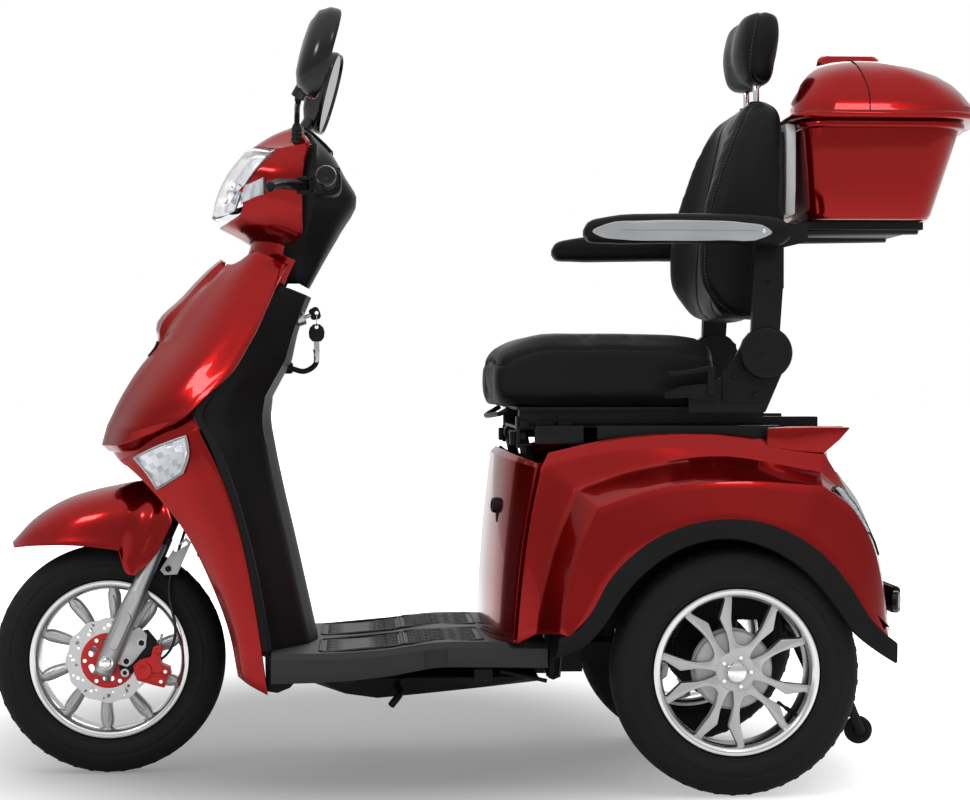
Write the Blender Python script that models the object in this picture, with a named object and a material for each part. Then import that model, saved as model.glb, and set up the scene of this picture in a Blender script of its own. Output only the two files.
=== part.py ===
"""Three-wheeled mobility scooter with sprung wheels, an adjustable seat and a luggage box.

Metres, +Z up. The scooter faces -X and the rider's left is -Y. The origin lies on the
ground under the middle of the scooter.
"""

import math

import bmesh
import bpy
from mathutils import Matrix, Vector
from mathutils.bvhtree import BVHTree

# Clearances and walls
SEAT_GAP = 0.0004
RUN_GAP = 0.0007
PANEL_WALL = 0.0035

# Wheels
FRONT_TYRE_RADIUS = 0.2085
FRONT_TYRE_WIDTH = 0.085
REAR_TYRE_RADIUS = 0.215
REAR_TYRE_WIDTH = 0.096
RIM_RADIUS = 0.144
FRONT_RIM_WIDTH = 0.070
REAR_RIM_WIDTH = 0.078
REAR_TRACK = 0.570
REAR_AXLE_X = 0.408
SPOKES = 10
ROUND = 24
AXLE_RADIUS = 0.0078
REAR_SHAFT_RADIUS = 0.012
DISC_RADIUS = 0.078
DISC_THICKNESS = 0.003

# Steering and fork
RAKE = math.radians(23.5)
HEAD_X = -0.4045
HEAD_Z = 0.865
LEG_OFFSET = 0.068
LEG_RADIUS = 0.017
LEG_LENGTH = 0.235
STANCHION_RADIUS = 0.0125
STEM_RADIUS = 0.017
HEAD_TUBE_RADIUS = 0.029
BAR_RADIUS = 0.011
BAR_HALF = 0.335
BAR_RISE = 0.224
BAR_BACK = 0.024
GRIP_RADIUS = 0.0165
GRIP_LENGTH = 0.118
LEVER_PIVOT_Y = 0.182

# Rear suspension and frame
SWING_PIVOT_X = 0.150
SWING_PIVOT_Z = 0.215
PIVOT_RADIUS = 0.010
SHOCK_CLEAR = 0.025
SHOCK_Y = REAR_TRACK / 2 - REAR_TYRE_WIDTH / 2 - SHOCK_CLEAR
RAIL_Y = SHOCK_Y - 0.040
RAIL_RADIUS = 0.013
AXLE_TUBE_RADIUS = 0.028
MOTOR_RADIUS = 0.072
ANTI_TIP_X = 0.664
ANTI_TIP_Z = 0.083
ANTI_TIP_Y = 0.125
ANTI_TIP_RADIUS = 0.025

# Floor and body
FLOOR_FRONT_Z = 0.242
FLOOR_REAR_Z = 0.261
FLOOR_HALF = 0.250
ARCH_RADIUS = 0.190
ARCH_BAND = 0.043
ARCH_GAP = 0.006
ARCH_CLEAR = 0.019
ARCH_Y = REAR_TRACK / 2 + REAR_TYRE_WIDTH / 2 + ARCH_CLEAR

# Seat
SEAT_HINGE_X = 0.050
SEAT_HINGE_Z = 0.617
HINGE_PIN_RADIUS = 0.006
SEAT_POST_Y = 0.172
SLIDE_Y = 0.165
RECLINE_X = 0.467
RECLINE_Z = 0.763
BRACKET_Y = 0.246
UPRIGHT_Y = 0.258
ARM_PIVOT_X = 0.472
ARM_PIVOT_Z = 0.968
ARM_Y = 0.277
ARM_WIDTH = 0.056
POST_RADIUS = 0.006
POST_Y = 0.050
BOX_FLOOR_Z = 1.000
BOX_RIM_Z = 1.178
LID_BOW = 0.042
LID_HINGE_X = 0.534
LID_HINGE_Z = 1.186

STEER_UP = Vector((math.sin(RAKE), 0, math.cos(RAKE)))
STEER_BACK = Vector((math.cos(RAKE), 0, -math.sin(RAKE)))
SIDE = Vector((0, 1, 0))
HEAD = Vector((HEAD_X, 0, HEAD_Z))
FRONT_AXLE = HEAD - STEER_UP * ((HEAD_Z - FRONT_TYRE_RADIUS) / math.cos(RAKE))
REAR_AXLE = Vector((REAR_AXLE_X, 0, REAR_TYRE_RADIUS))
BAR = HEAD + STEER_UP * BAR_RISE + STEER_BACK * BAR_BACK
SIDES = (("left", -1), ("right", 1))

FINISHES = {
    "red_paint": ((0.42, 0.02, 0.03), 0.25, 0.3),
    "black_plastic": ((0.02, 0.02, 0.022), 0.6, 0.0),
    "gloss_black": ((0.01, 0.01, 0.01), 0.15, 0.0),
    "grey_plastic": ((0.09, 0.09, 0.095), 0.65, 0.0),
    "black_steel": ((0.025, 0.025, 0.03), 0.45, 0.6),
    "silver": ((0.7, 0.7, 0.72), 0.3, 1.0),
    "rubber": ((0.02, 0.02, 0.02), 0.85, 0.0),
    "vinyl": ((0.025, 0.025, 0.028), 0.5, 0.0),
    "clear": ((0.85, 0.87, 0.9), 0.08, 0.0),
    "lamp_red": ((0.5, 0.05, 0.05), 0.12, 0.0),
    "caliper_red": ((0.6, 0.03, 0.03), 0.35, 0.4),
}

made = {}


def finish_material(node, finish):
    """A material of the node's own in one of the finishes."""
    colour, rough, metal = FINISHES[finish]
    material = bpy.data.materials.new(node + "_" + finish)
    material.use_nodes = True
    shader = material.node_tree.nodes["Principled BSDF"]
    shader.inputs["Base Color"].default_value = (*colour, 1)
    shader.inputs["Roughness"].default_value = rough
    shader.inputs["Metallic"].default_value = metal
    return material


def object_of(name, bm):
    """A linked object holding a bmesh, with its faces turned outwards."""
    bmesh.ops.recalc_face_normals(bm, faces=bm.faces)
    mesh = bpy.data.meshes.new(name)
    bm.to_mesh(mesh)
    bm.free()
    obj = bpy.data.objects.new(name, mesh)
    bpy.context.scene.collection.objects.link(obj)
    return obj


def settled_mesh(obj):
    """The object's mesh with its modifiers applied."""
    graph = bpy.context.evaluated_depsgraph_get()
    return bpy.data.meshes.new_from_object(obj.evaluated_get(graph))


def combine(obj, others, operation, crossing=False):
    """Unites with, or cuts away, each of the other bodies in turn; crossing allows folds that meet."""
    for bm in others:
        other = object_of(obj.name + "_tool", bm)
        step = obj.modifiers.new("combine", "BOOLEAN")
        step.operation = operation
        step.solver = "EXACT"
        step.use_self = crossing
        step.object = other
        mesh = settled_mesh(obj)
        obj.modifiers.clear()
        obj.data = mesh
        bpy.data.objects.remove(other)


def keep(obj, name, finish):
    """Registers an object as a named piece with its finish."""
    obj.name = name
    obj.data.name = name
    obj.data.materials.clear()
    obj.data.materials.append(finish_material(name, finish))
    made[name] = obj
    return obj


def solid(name, finish, parts, cuts=()):
    """One piece made of bodies joined together, less the bodies cut from it."""
    obj = object_of(name, parts[0])
    combine(obj, parts[1:], "UNION")
    combine(obj, cuts, "DIFFERENCE")
    return keep(obj, name, finish)


def rod(start, end, radius, sides=12):
    start, end = Vector(start), Vector(end)
    run = end - start
    turn = run.to_track_quat("Z", "Y").to_matrix().to_4x4()
    bm = bmesh.new()
    bmesh.ops.create_cone(
        bm,
        cap_ends=True,
        segments=sides,
        radius1=radius,
        radius2=radius,
        depth=run.length,
        matrix=Matrix.Translation((start + end) / 2) @ turn,
    )
    return bm


def block(low, high, turn=None):
    """A box between two corners, turned about its middle if asked."""
    low, high = Vector(low), Vector(high)
    bm = bmesh.new()
    matrix = Matrix.Translation((low + high) / 2)
    if turn:
        matrix = matrix @ turn.to_4x4()
    matrix = matrix @ Matrix.Diagonal((high - low).to_4d())
    matrix[3][3] = 1
    bmesh.ops.create_cube(bm, size=1, matrix=matrix)
    return bm


def turned(profile, base, axis, sides=16, ring=False):
    """A body turned about an axis from (along, radius) points; a ring closes on itself."""
    base, axis = Vector(base), Vector(axis).normalized()
    first = Vector((0, 0, -1)) if abs(axis.z) < 0.9 else Vector((1, 0, 0))
    first = (first - axis * first.dot(axis)).normalized()
    second = axis.cross(first)
    bm = bmesh.new()
    rings = []
    for along, radius in profile:
        middle = base + axis * along
        if radius < 1e-6:
            rings.append([bm.verts.new(middle)])
            continue
        turns = [2 * math.pi * i / sides for i in range(sides)]
        rings.append(
            [bm.verts.new(middle + (first * math.cos(a) + second * math.sin(a)) * radius) for a in turns]
        )
    pairs = list(zip(rings, rings[1:]))
    if ring:
        pairs.append((rings[-1], rings[0]))
    for a, b in pairs:
        for i in range(sides):
            j = (i + 1) % sides
            corners = [a[i % len(a)], a[j % len(a)], b[j % len(b)], b[i % len(b)]]
            bm.faces.new(list(dict.fromkeys(corners)))
    if not ring:
        for end in (rings[0], rings[-1]):
            if len(end) > 1:
                bm.faces.new(end)
    return bm


def swept(points, radius, sides=8):
    """A round bar along a path, with flat ends."""
    points = [Vector(p) for p in points]
    bm = bmesh.new()
    rings = []
    last = None
    for i, point in enumerate(points):
        before, after = points[max(i - 1, 0)], points[min(i + 1, len(points) - 1)]
        run = (after - before).normalized()
        if last is None:
            last = run.orthogonal().normalized()
        last = (last - run * last.dot(run)).normalized()
        across = run.cross(last)
        ends = [2 * math.pi * k / sides for k in range(sides)]
        spots = [point + (last * math.cos(a) + across * math.sin(a)) * radius for a in ends]
        rings.append([bm.verts.new(spot) for spot in spots])
    for a, b in zip(rings, rings[1:]):
        for k in range(sides):
            bm.faces.new((a[k], a[(k + 1) % sides], b[(k + 1) % sides], b[k]))
    bm.faces.new(rings[0])
    bm.faces.new(rings[-1])
    return bm


def prism(outline, low, high):
    """An outline of (x, z) points drawn out across the scooter."""
    bm = bmesh.new()
    near = [bm.verts.new((x, low, z)) for x, z in outline]
    far = [bm.verts.new((x, high, z)) for x, z in outline]
    count = len(outline)
    for i in range(count):
        j = (i + 1) % count
        bm.faces.new((near[i], near[j], far[j], far[i]))
    bm.faces.new(near)
    bm.faces.new(far)
    return bm


def stacked(rings):
    """A closed body from loops of points stacked one on the next."""
    bm = bmesh.new()
    loops = [[bm.verts.new(p) for p in ring] for ring in rings]
    count = len(loops[0])
    for a, b in zip(loops, loops[1:]):
        for i in range(count):
            j = (i + 1) % count
            bm.faces.new((a[i], a[j], b[j], b[i]))
    bm.faces.new(loops[0])
    bm.faces.new(loops[-1])
    return bm


def spline(points, steps, sharp=()):
    """Points along a curve through the given ones, with corners kept where asked."""
    points = [Vector(p) for p in points]
    last = len(points) - 1
    times = [0.0]
    for a, b in zip(points, points[1:]):
        times.append(times[-1] + max((b - a).length, 1e-6))

    def slope(i, ahead):
        if i == 0 or (i in sharp and ahead):
            return (points[i + 1] - points[i]) / (times[i + 1] - times[i])
        if i == last or i in sharp:
            return (points[i] - points[i - 1]) / (times[i] - times[i - 1])
        t0, t1, t2 = times[i - 1], times[i], times[i + 1]
        before = (points[i] - points[i - 1]) / (t1 - t0)
        after = (points[i + 1] - points[i]) / (t2 - t1)
        return (after * (t1 - t0) + before * (t2 - t1)) / (t2 - t0)

    found = [points[0]]
    for i in range(last):
        run = times[i + 1] - times[i]
        m0, m1 = slope(i, True) * run, slope(i + 1, False) * run
        for step in range(1, steps + 1):
            t = step / steps
            a = 2 * t**3 - 3 * t**2 + 1
            b = t**3 - 2 * t**2 + t
            c = -2 * t**3 + 3 * t**2
            d = t**3 - t**2
            found.append(points[i] * a + m0 * b + points[i + 1] * c + m1 * d)
    return found


def refined(rows, down, across, sharp_rows=(), sharp_points=()):
    """A finer grid of points through a coarse one."""
    rows = [spline(row, across, sharp_points) for row in rows]
    columns = [spline(column, down, sharp_rows) for column in zip(*rows)]
    return [list(row) for row in zip(*columns)]


def both_sides(half):
    """A row from the left edge to the right edge, from points listed outwards from the middle."""
    return [(x, -y, z) for x, y, z in reversed(half[1:])] + list(half)


def skin(rows, wall, inside):
    """A moulded skin: a grid of points as its outer face, thickened towards the inside point."""
    bm = bmesh.new()
    verts = [[bm.verts.new(p) for p in row] for row in rows]
    for a, b in zip(verts, verts[1:]):
        for i in range(len(a) - 1):
            bm.faces.new((a[i], a[i + 1], b[i + 1], b[i]))
    bm.normal_update()
    inside = Vector(inside)
    facing = sum((f.calc_center_median() - inside).dot(f.normal) * f.calc_area() for f in bm.faces)
    if facing < 0:
        bmesh.ops.reverse_faces(bm, faces=bm.faces)
        bm.normal_update()
    mesh = bpy.data.meshes.new("skin")
    bm.to_mesh(mesh)
    bm.free()
    obj = bpy.data.objects.new("skin", mesh)
    bpy.context.scene.collection.objects.link(obj)
    thick = obj.modifiers.new("wall", "SOLIDIFY")
    thick.thickness = wall
    thick.offset = -1
    thick.use_even_offset = True
    thick.thickness_clamp = 1.0
    mesh = settled_mesh(obj)
    bpy.data.objects.remove(obj)
    bm = bmesh.new()
    bm.from_mesh(mesh)
    bpy.data.meshes.remove(mesh)
    return bm


def panel(
    name, finish, rows, inside, down=2, across=2, sharp_rows=(), sharp_points=(), wall=PANEL_WALL, cuts=()
):
    """A moulded panel from a coarse grid of points."""
    fine = refined(rows, down, across, sharp_rows, sharp_points)
    return solid(name, finish, [skin(fine, wall, inside)], cuts)


def draped(name, rows, lift):
    """A grid of points laid on a panel's outer face and lifted off it."""
    mesh = made[name].data
    tree = BVHTree.FromPolygons([v.co for v in mesh.vertices], [p.vertices for p in mesh.polygons])
    grid = []
    for row in rows:
        spots = [tree.find_nearest(Vector(p)) for p in row]
        grid.append([spot[0] + spot[1] * lift for spot in spots])
    return grid


def stud(name, start, radius=0.005, gap=SEAT_GAP):
    """A short post from a point to the nearest face of a panel, stopping just short of it."""
    mesh = made[name].data
    tree = BVHTree.FromPolygons([v.co for v in mesh.vertices], [p.vertices for p in mesh.polygons])
    start = Vector(start)
    nearest = tree.find_nearest(start)[0]
    run = (nearest - start).normalized()
    return rod(start, nearest - run * gap, radius, 6)


def on_fork(rise, across=0.0, back=0.0):
    """A point measured up the steering axis from the front axle."""
    return FRONT_AXLE + STEER_UP * rise + SIDE * across + STEER_BACK * back


def on_head(rise, across=0.0, back=0.0):
    """A point measured up the steering axis from the steering head."""
    return HEAD + STEER_UP * rise + SIDE * across + STEER_BACK * back


def rounded(x, half_y, radius, z, bow=0.0, corner=2):
    """A loop round a rectangle with rounded corners, between two X values, its rear bowed out."""
    loop = []
    spots = (
        (x[1] - radius, half_y - radius, 0),
        (x[0] + radius, half_y - radius, 90),
        (x[0] + radius, radius - half_y, 180),
        (x[1] - radius, radius - half_y, 270),
    )
    for cx, cy, first in spots:
        for i in range(corner + 1):
            a = math.radians(first + 90 * i / corner)
            loop.append(Vector((cx + radius * math.cos(a), cy + radius * math.sin(a), z)))
    loop.append(Vector((x[1], 0, z)))
    for point in loop:
        share = (point.x - x[0]) / (x[1] - x[0])
        point.x += bow * share * (1 - (point.y / half_y) ** 2)
    return loop


def tyre_profile(radius, width, rim_width):
    """Half the section of a tyre from its bead to its crown, mirrored to a closed ring."""
    bead = RIM_RADIUS - 0.009
    seat = rim_width / 2 - 0.005
    half = [
        (seat, bead),
        (seat, RIM_RADIUS + 0.0015),
        (width / 2, RIM_RADIUS + 0.36 * (radius - RIM_RADIUS)),
        (width / 2 - 0.006, radius - 0.014),
        (width / 4, radius - 0.002),
        (0, radius),
    ]
    return [(-y, r) for y, r in half] + [(y, r) for y, r in reversed(half[:-1])]


def rim_profile(rim_width):
    """Half the section of a rim from its lip to its inner face, mirrored to a closed ring."""
    bed = RIM_RADIUS - 0.009 - SEAT_GAP
    half = [
        (rim_width / 2 - 0.005 + SEAT_GAP, bed),
        (rim_width / 2 - 0.005 + SEAT_GAP, RIM_RADIUS),
        (rim_width / 2, RIM_RADIUS),
        (rim_width / 2 - 0.0015, RIM_RADIUS - 0.0105),
        (rim_width / 2 - 0.014, RIM_RADIUS - 0.017),
    ]
    return [(-y, r) for y, r in half] + [(y, r) for y, r in reversed(half)]


def blade(centre, angle, lean, widths, reach, face, depth):
    """A wheel spoke that swells and narrows from the hub to the rim."""
    rings = []
    for share, width in widths:
        a = angle + lean * share
        out = Vector((math.cos(a), 0, math.sin(a)))
        over = Vector((-math.sin(a), 0, math.cos(a)))
        middle = centre + out * (reach[0] + (reach[1] - reach[0]) * share)
        near = SIDE * (face - depth / 2)
        far = SIDE * (face + depth / 2)
        rings.append(
            [
                middle - over * width / 2 + near,
                middle + over * width / 2 + near,
                middle + over * width / 2 + far,
                middle - over * width / 2 + far,
            ]
        )
    return stacked(rings)


def build_front_wheel():
    centre = FRONT_AXLE
    hub_half = 0.043
    profile = tyre_profile(FRONT_TYRE_RADIUS, FRONT_TYRE_WIDTH, FRONT_RIM_WIDTH)
    tyre = turned(profile, centre, SIDE, ROUND, True)
    solid("front_tyre", "rubber", [tyre])
    bore = AXLE_RADIUS + RUN_GAP
    hub = [(-hub_half, bore), (-hub_half, 0.026), (hub_half, 0.026), (hub_half, bore)]
    parts = [
        turned(rim_profile(FRONT_RIM_WIDTH), centre, SIDE, ROUND, True),
        turned(hub, centre, SIDE, 16, True),
    ]
    widths = ((0, 0.0105), (0.72, 0.022), (1, 0.017))
    for i in range(SPOKES):
        angle = math.radians(81 + 360 / SPOKES * i)
        parts.append(blade(centre, angle, 0.12, widths, (0.022, RIM_RADIUS - 0.014), 0, 0.012))
    solid("front_rim", "silver", parts)
    face = -hub_half - SEAT_GAP
    disc = [
        (face, bore + 0.001),
        (face, DISC_RADIUS),
        (face - DISC_THICKNESS, DISC_RADIUS),
        (face - DISC_THICKNESS, bore + 0.001),
    ]
    solid("brake_disc", "silver", [turned(disc, centre, SIDE, ROUND, True)])
    return face - DISC_THICKNESS / 2


def build_rear_wheel(word, side):
    middle = side * REAR_TRACK / 2
    centre = REAR_AXLE + SIDE * middle
    tyre = turned(tyre_profile(REAR_TYRE_RADIUS, REAR_TYRE_WIDTH, REAR_RIM_WIDTH), centre, SIDE, ROUND, True)
    solid("rear_tyre_" + word, "rubber", [tyre])
    bore = REAR_SHAFT_RADIUS + RUN_GAP
    drum = [
        (-0.036 * side, bore),
        (-0.036 * side, 0.068),
        (0.004 * side, 0.068),
        (0.006 * side, 0.040),
        (0.026 * side, 0.036),
        (0.030 * side, 0.016),
        (0.034 * side, 0.016),
        (0.034 * side, bore),
    ]
    parts = [
        turned(rim_profile(REAR_RIM_WIDTH), centre, SIDE, ROUND, True),
        turned(drum, centre, SIDE, 16, True),
    ]
    widths = ((0.1, 0.016), (0.70, 0.027), (1, 0.020))
    for i in range(SPOKES):
        pair = 2 * math.pi / (SPOKES / 2) * (i // 2)
        swing = math.radians(10 if i % 2 else -10)
        lean = math.radians(8 if i % 2 else -8)
        depth = 0.0140 if i % 2 else 0.0128
        reach = (0.022, RIM_RADIUS - 0.012)
        parts.append(blade(centre, pair + swing, lean, widths, reach, 0.016 * side, depth))
    solid("rear_rim_" + word, "silver", parts)


def build_fork(disc_y):
    leg_parts = []
    bore = STANCHION_RADIUS + RUN_GAP
    leg = [
        (-0.026, 0),
        (-0.026, 0.012),
        (-0.018, LEG_RADIUS),
        (LEG_LENGTH, LEG_RADIUS),
        (LEG_LENGTH, bore),
        (0.062, bore),
        (0.062, 0),
    ]
    for side in (-1, 1):
        leg_parts.append(turned(leg, on_fork(0, side * LEG_OFFSET), STEER_UP, 14))
    reach = LEG_OFFSET + LEG_RADIUS + 0.006
    leg_parts.insert(1, rod(on_fork(0, -reach), on_fork(0, reach), AXLE_RADIUS, 16))
    mount = -LEG_OFFSET + 0.004
    plate = [(-0.010, 0.030), (0.085, 0.002), (0.085, -0.036), (0.045, -0.040), (-0.010, -0.010)]
    outline = [(FRONT_AXLE.x + x, FRONT_AXLE.z + z) for x, z in plate]
    leg_parts.append(prism(outline, mount - 0.0025, mount + 0.0035))
    solid("fork_legs", "silver", leg_parts)
    outer = mount + 0.0035 + SEAT_GAP
    inner = disc_y + 0.0115
    middle = Vector((FRONT_AXLE.x + 0.077, 0, FRONT_AXLE.z - 0.012))
    shape = [(-0.022, -0.026), (0.012, -0.040), (0.030, -0.016)]
    shape += [(0.026, 0.026), (0.006, 0.040), (-0.022, 0.032)]
    outline = [(middle.x + x, middle.z + z) for x, z in shape]
    slot = block(
        (middle.x - 0.05, disc_y - 0.0035, middle.z - 0.06),
        (middle.x + 0.014, disc_y + 0.0035, middle.z + 0.06),
    )
    solid("brake_caliper", "caliper_red", [prism(outline, outer, inner)], [slot])


def build_fender():
    """Rows run from the tip backwards: distance behind the axle, outwards, height over the tyre."""
    top = 2 * FRONT_TYRE_RADIUS
    rows = (
        ((-0.178, 0, 0.004), (-0.175, 0.022, 0.002), (-0.171, 0.038, -0.002)),
        ((-0.140, 0, 0.045), (-0.132, 0.046, 0.028), (-0.122, 0.066, 0.002)),
        ((-0.085, 0, 0.080), (-0.078, 0.058, 0.056), (-0.066, 0.082, 0.003)),
        ((-0.020, 0, 0.101), (-0.012, 0.064, 0.076), (0.000, 0.0895, -0.006)),
        ((0.034, 0, 0.113), (0.038, 0.068, 0.082), (0.031, 0.0895, -0.054)),
        ((0.066, 0, 0.118), (0.070, 0.068, 0.088), (0.080, 0.0895, -0.020)),
        ((0.084, 0, 0.119), (0.088, 0.066, 0.092), (0.104, 0.0895, 0.034)),
    )
    wide = LEG_OFFSET + LEG_RADIUS + 2 * SEAT_GAP + PANEL_WALL
    grid = []
    for row in rows:
        half = [(FRONT_AXLE.x + x, y * wide / 0.0895, top + z) for x, y, z in row]
        grid.append(both_sides(half))
    panel("front_fender", "red_paint", grid, (FRONT_AXLE.x + 0.02, 0, top - 0.05), 2, 2)


def build_handlebar():
    grip_from = BAR_HALF - GRIP_LENGTH
    parts = [rod(BAR - SIDE * (BAR_HALF - 0.004), BAR + SIDE * (BAR_HALF - 0.004), BAR_RADIUS, 16)]
    pivot = BAR + Vector((-0.042, 0, -0.004))
    for side in (-1, 1):
        y = side * LEVER_PIVOT_Y
        pod = [
            (BAR.x - 0.026, BAR.z - 0.020),
            (BAR.x + 0.020, BAR.z - 0.026),
            (BAR.x + 0.027, BAR.z + 0.012),
            (BAR.x + 0.012, BAR.z + 0.027),
            (BAR.x - 0.026, BAR.z + 0.022),
        ]
        near, far = sorted((side * (LEVER_PIVOT_Y - 0.026), side * (grip_from - 0.001)))
        parts.append(prism(pod, near, far))
        for low, high in ((0.0085, 0.0145), (-0.0145, -0.0085)):
            parts.append(
                block(
                    (pivot.x - 0.011, y - 0.011, pivot.z + low),
                    (BAR.x - 0.020, y + 0.011, pivot.z + high),
                )
            )
        parts.append(
            rod((pivot.x, y, pivot.z - 0.012), (pivot.x, y, pivot.z + 0.012), 0.004, 12)
        )
    solid("handlebar", "black_plastic", parts)
    for word, side in SIDES:
        grip = [
            (grip_from, BAR_RADIUS + (RUN_GAP if side > 0 else SEAT_GAP)),
            (grip_from, GRIP_RADIUS + 0.004),
            (grip_from + 0.006, GRIP_RADIUS + 0.004),
            (grip_from + 0.010, GRIP_RADIUS),
            (BAR_HALF - 0.006, GRIP_RADIUS),
            (BAR_HALF, GRIP_RADIUS - 0.004),
            (BAR_HALF, BAR_RADIUS + (RUN_GAP if side > 0 else SEAT_GAP)),
        ]
        name = "throttle_grip" if side > 0 else "grip_left"
        solid(name, "rubber", [turned(grip, BAR, SIDE * side, 20, True)])
        eye = [(-0.0078, 0.0047), (-0.0078, 0.010), (0.0078, 0.010), (0.0078, 0.0047)]
        at = Vector((pivot.x, side * LEVER_PIVOT_Y, pivot.z))
        path = [(-0.006, 0.006, 0), (-0.028, 0.030, 0), (-0.040, 0.066, -0.003), (-0.045, 0.105, -0.008)]
        path.append((-0.052, 0.142, -0.014))
        path = [at + Vector((x, side * y, z)) for x, y, z in spline(path, 2)]
        parts = [turned(eye, at, (0, 0, 1), 12, True), swept(path, 0.0062, 6)]
        tip = [(-0.009, 0), (-0.006, 0.007), (0, 0.0095), (0.006, 0.007), (0.009, 0)]
        parts.append(turned(tip, path[-1], SIDE, 8))
        bore = rod(at - Vector((0, 0, 0.02)), at + Vector((0, 0, 0.02)), 0.0047, 12)
        solid("brake_lever_" + word, "black_steel", parts, [bore])
    return pivot


def build_head_cowl():
    """Hoops from the lamp opening backwards, each listed from the top round to the bottom."""
    hoops = (
        (
            (-0.447, 0, 1.129),
            (-0.424, 0.066, 1.136),
            (-0.382, 0.116, 1.128),
            (-0.420, 0.124, 1.088),
            (-0.444, 0.112, 1.055),
            (-0.446, 0.096, 1.020),
            (-0.474, 0.052, 0.999),
            (-0.492, 0.0008, 0.992),
        ),
        (
            (-0.402, 0, 1.159),
            (-0.386, 0.068, 1.159),
            (-0.354, 0.121, 1.133),
            (-0.380, 0.134, 1.085),
            (-0.390, 0.132, 1.050),
            (-0.395, 0.114, 1.010),
            (-0.424, 0.062, 0.978),
            (-0.446, 0.0008, 0.968),
        ),
        (
            (-0.358, 0, 1.179),
            (-0.346, 0.074, 1.172),
            (-0.324, 0.124, 1.138),
            (-0.336, 0.140, 1.090),
            (-0.338, 0.138, 1.050),
            (-0.340, 0.122, 1.005),
            (-0.372, 0.066, 0.956),
            (-0.412, 0.0008, 0.944),
        ),
    )
    middle = (-0.40, 0, 1.06)
    holes = []
    for side in (-1, 1):
        holes.append(rod((-0.348, side * 0.100, 1.10), (-0.348, side * 0.112, 1.20), 0.0104, 14))
    cowl = panel("head_cowl", "red_paint", [both_sides(h) for h in hoops], middle, 2, 2, cuts=holes)
    collar = []
    for rise, radius in ((0.012, 0.0605), (0.058, 0.0645), (0.121, 0.0735)):
        turns = [math.radians(a) for a in (0, 37, 74, 109)]
        row = [on_head(rise, radius * math.sin(a), -radius * math.cos(a)) for a in turns]
        collar.append(both_sides([tuple(p) for p in row]))
    combine(cowl, [skin(collar, PANEL_WALL, on_head(0.060))], "UNION", True)
    lens = (
        ((-0.4545, 0, 1.1205), (-0.433, 0.062, 1.1265), (-0.398, 0.104, 1.118)),
        ((-0.479, 0, 1.090), (-0.461, 0.066, 1.088), (-0.428, 0.110, 1.086)),
        ((-0.497, 0, 1.050), (-0.480, 0.060, 1.046), (-0.4535, 0.100, 1.052)),
        ((-0.507, 0, 1.012), (-0.492, 0.046, 1.010), (-0.462, 0.082, 1.020)),
    )
    panel("headlight", "clear", [both_sides(r) for r in lens], (-0.42, 0, 1.06), 2, 2, wall=0.004)
    cover = (
        ((-0.336, 0, 1.171), (-0.327, 0.066, 1.163), (-0.312, 0.112, 1.136)),
        ((-0.288, 0, 1.128), (-0.288, 0.070, 1.120), (-0.314, 0.126, 1.098)),
        ((-0.264, 0, 1.085), (-0.267, 0.076, 1.080), (-0.316, 0.132, 1.062)),
        ((-0.242, 0, 1.050), (-0.250, 0.074, 1.044), (-0.318, 0.126, 1.028)),
        ((-0.272, 0, 0.985), (-0.279, 0.062, 0.985), (-0.328, 0.104, 0.986)),
        ((-0.299, 0, 0.938), (-0.305, 0.048, 0.938), (-0.340, 0.072, 0.944)),
        ((-0.328, 0, 0.884), (-0.332, 0.030, 0.885), (-0.348, 0.046, 0.894)),
    )
    bar_hole = [rod(BAR - SIDE * 0.3, BAR + SIDE * 0.3, BAR_RADIUS + 0.004, 16)]
    inner = (-0.36, 0, 1.04)
    panel("dash_cover", "black_plastic", [both_sides(r) for r in cover], inner, 1, 3, cuts=bar_hole)


def build_steering_stem():
    yoke = on_head(-0.306)
    parts = [rod(yoke, on_head(BAR_RISE - 0.012), STEM_RADIUS, 16)]
    reach = SIDE * (LEG_OFFSET + 0.020)
    parts.append(rod(yoke - reach, yoke + reach, 0.021, 12))
    for side in (-1, 1):
        bottom = on_fork(0.112, side * LEG_OFFSET)
        top = yoke + SIDE * (side * LEG_OFFSET) + STEER_UP * 0.03
        parts.append(rod(bottom, top, STANCHION_RADIUS, 12))
    parts.append(rod(BAR - SIDE * 0.032, BAR + SIDE * 0.032, 0.025, 12))
    stay = on_head(0.150)
    parts.append(rod(stay - SIDE * 0.03, stay + SIDE * 0.03, 0.010, 8))
    for side in (-1, 1):
        parts.append(stud("head_cowl", stay + SIDE * (side * 0.026), 0.004))
    parts.append(stud("headlight", on_head(0.195), 0.005))
    parts.append(stud("dash_cover", on_head(0.120), 0.005))
    bore = rod(BAR - SIDE * 0.1, BAR + SIDE * 0.1, BAR_RADIUS + SEAT_GAP, 16)
    solid("steering_stem", "black_steel", parts, [bore])


def mirror_frame(side):
    """The mirror's ball joint and the middle of its shell."""
    ball = Vector((-0.342, side * 0.248, 1.196))
    return ball, ball + Vector((0.029, side * 0.022, 0.0843))


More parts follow.
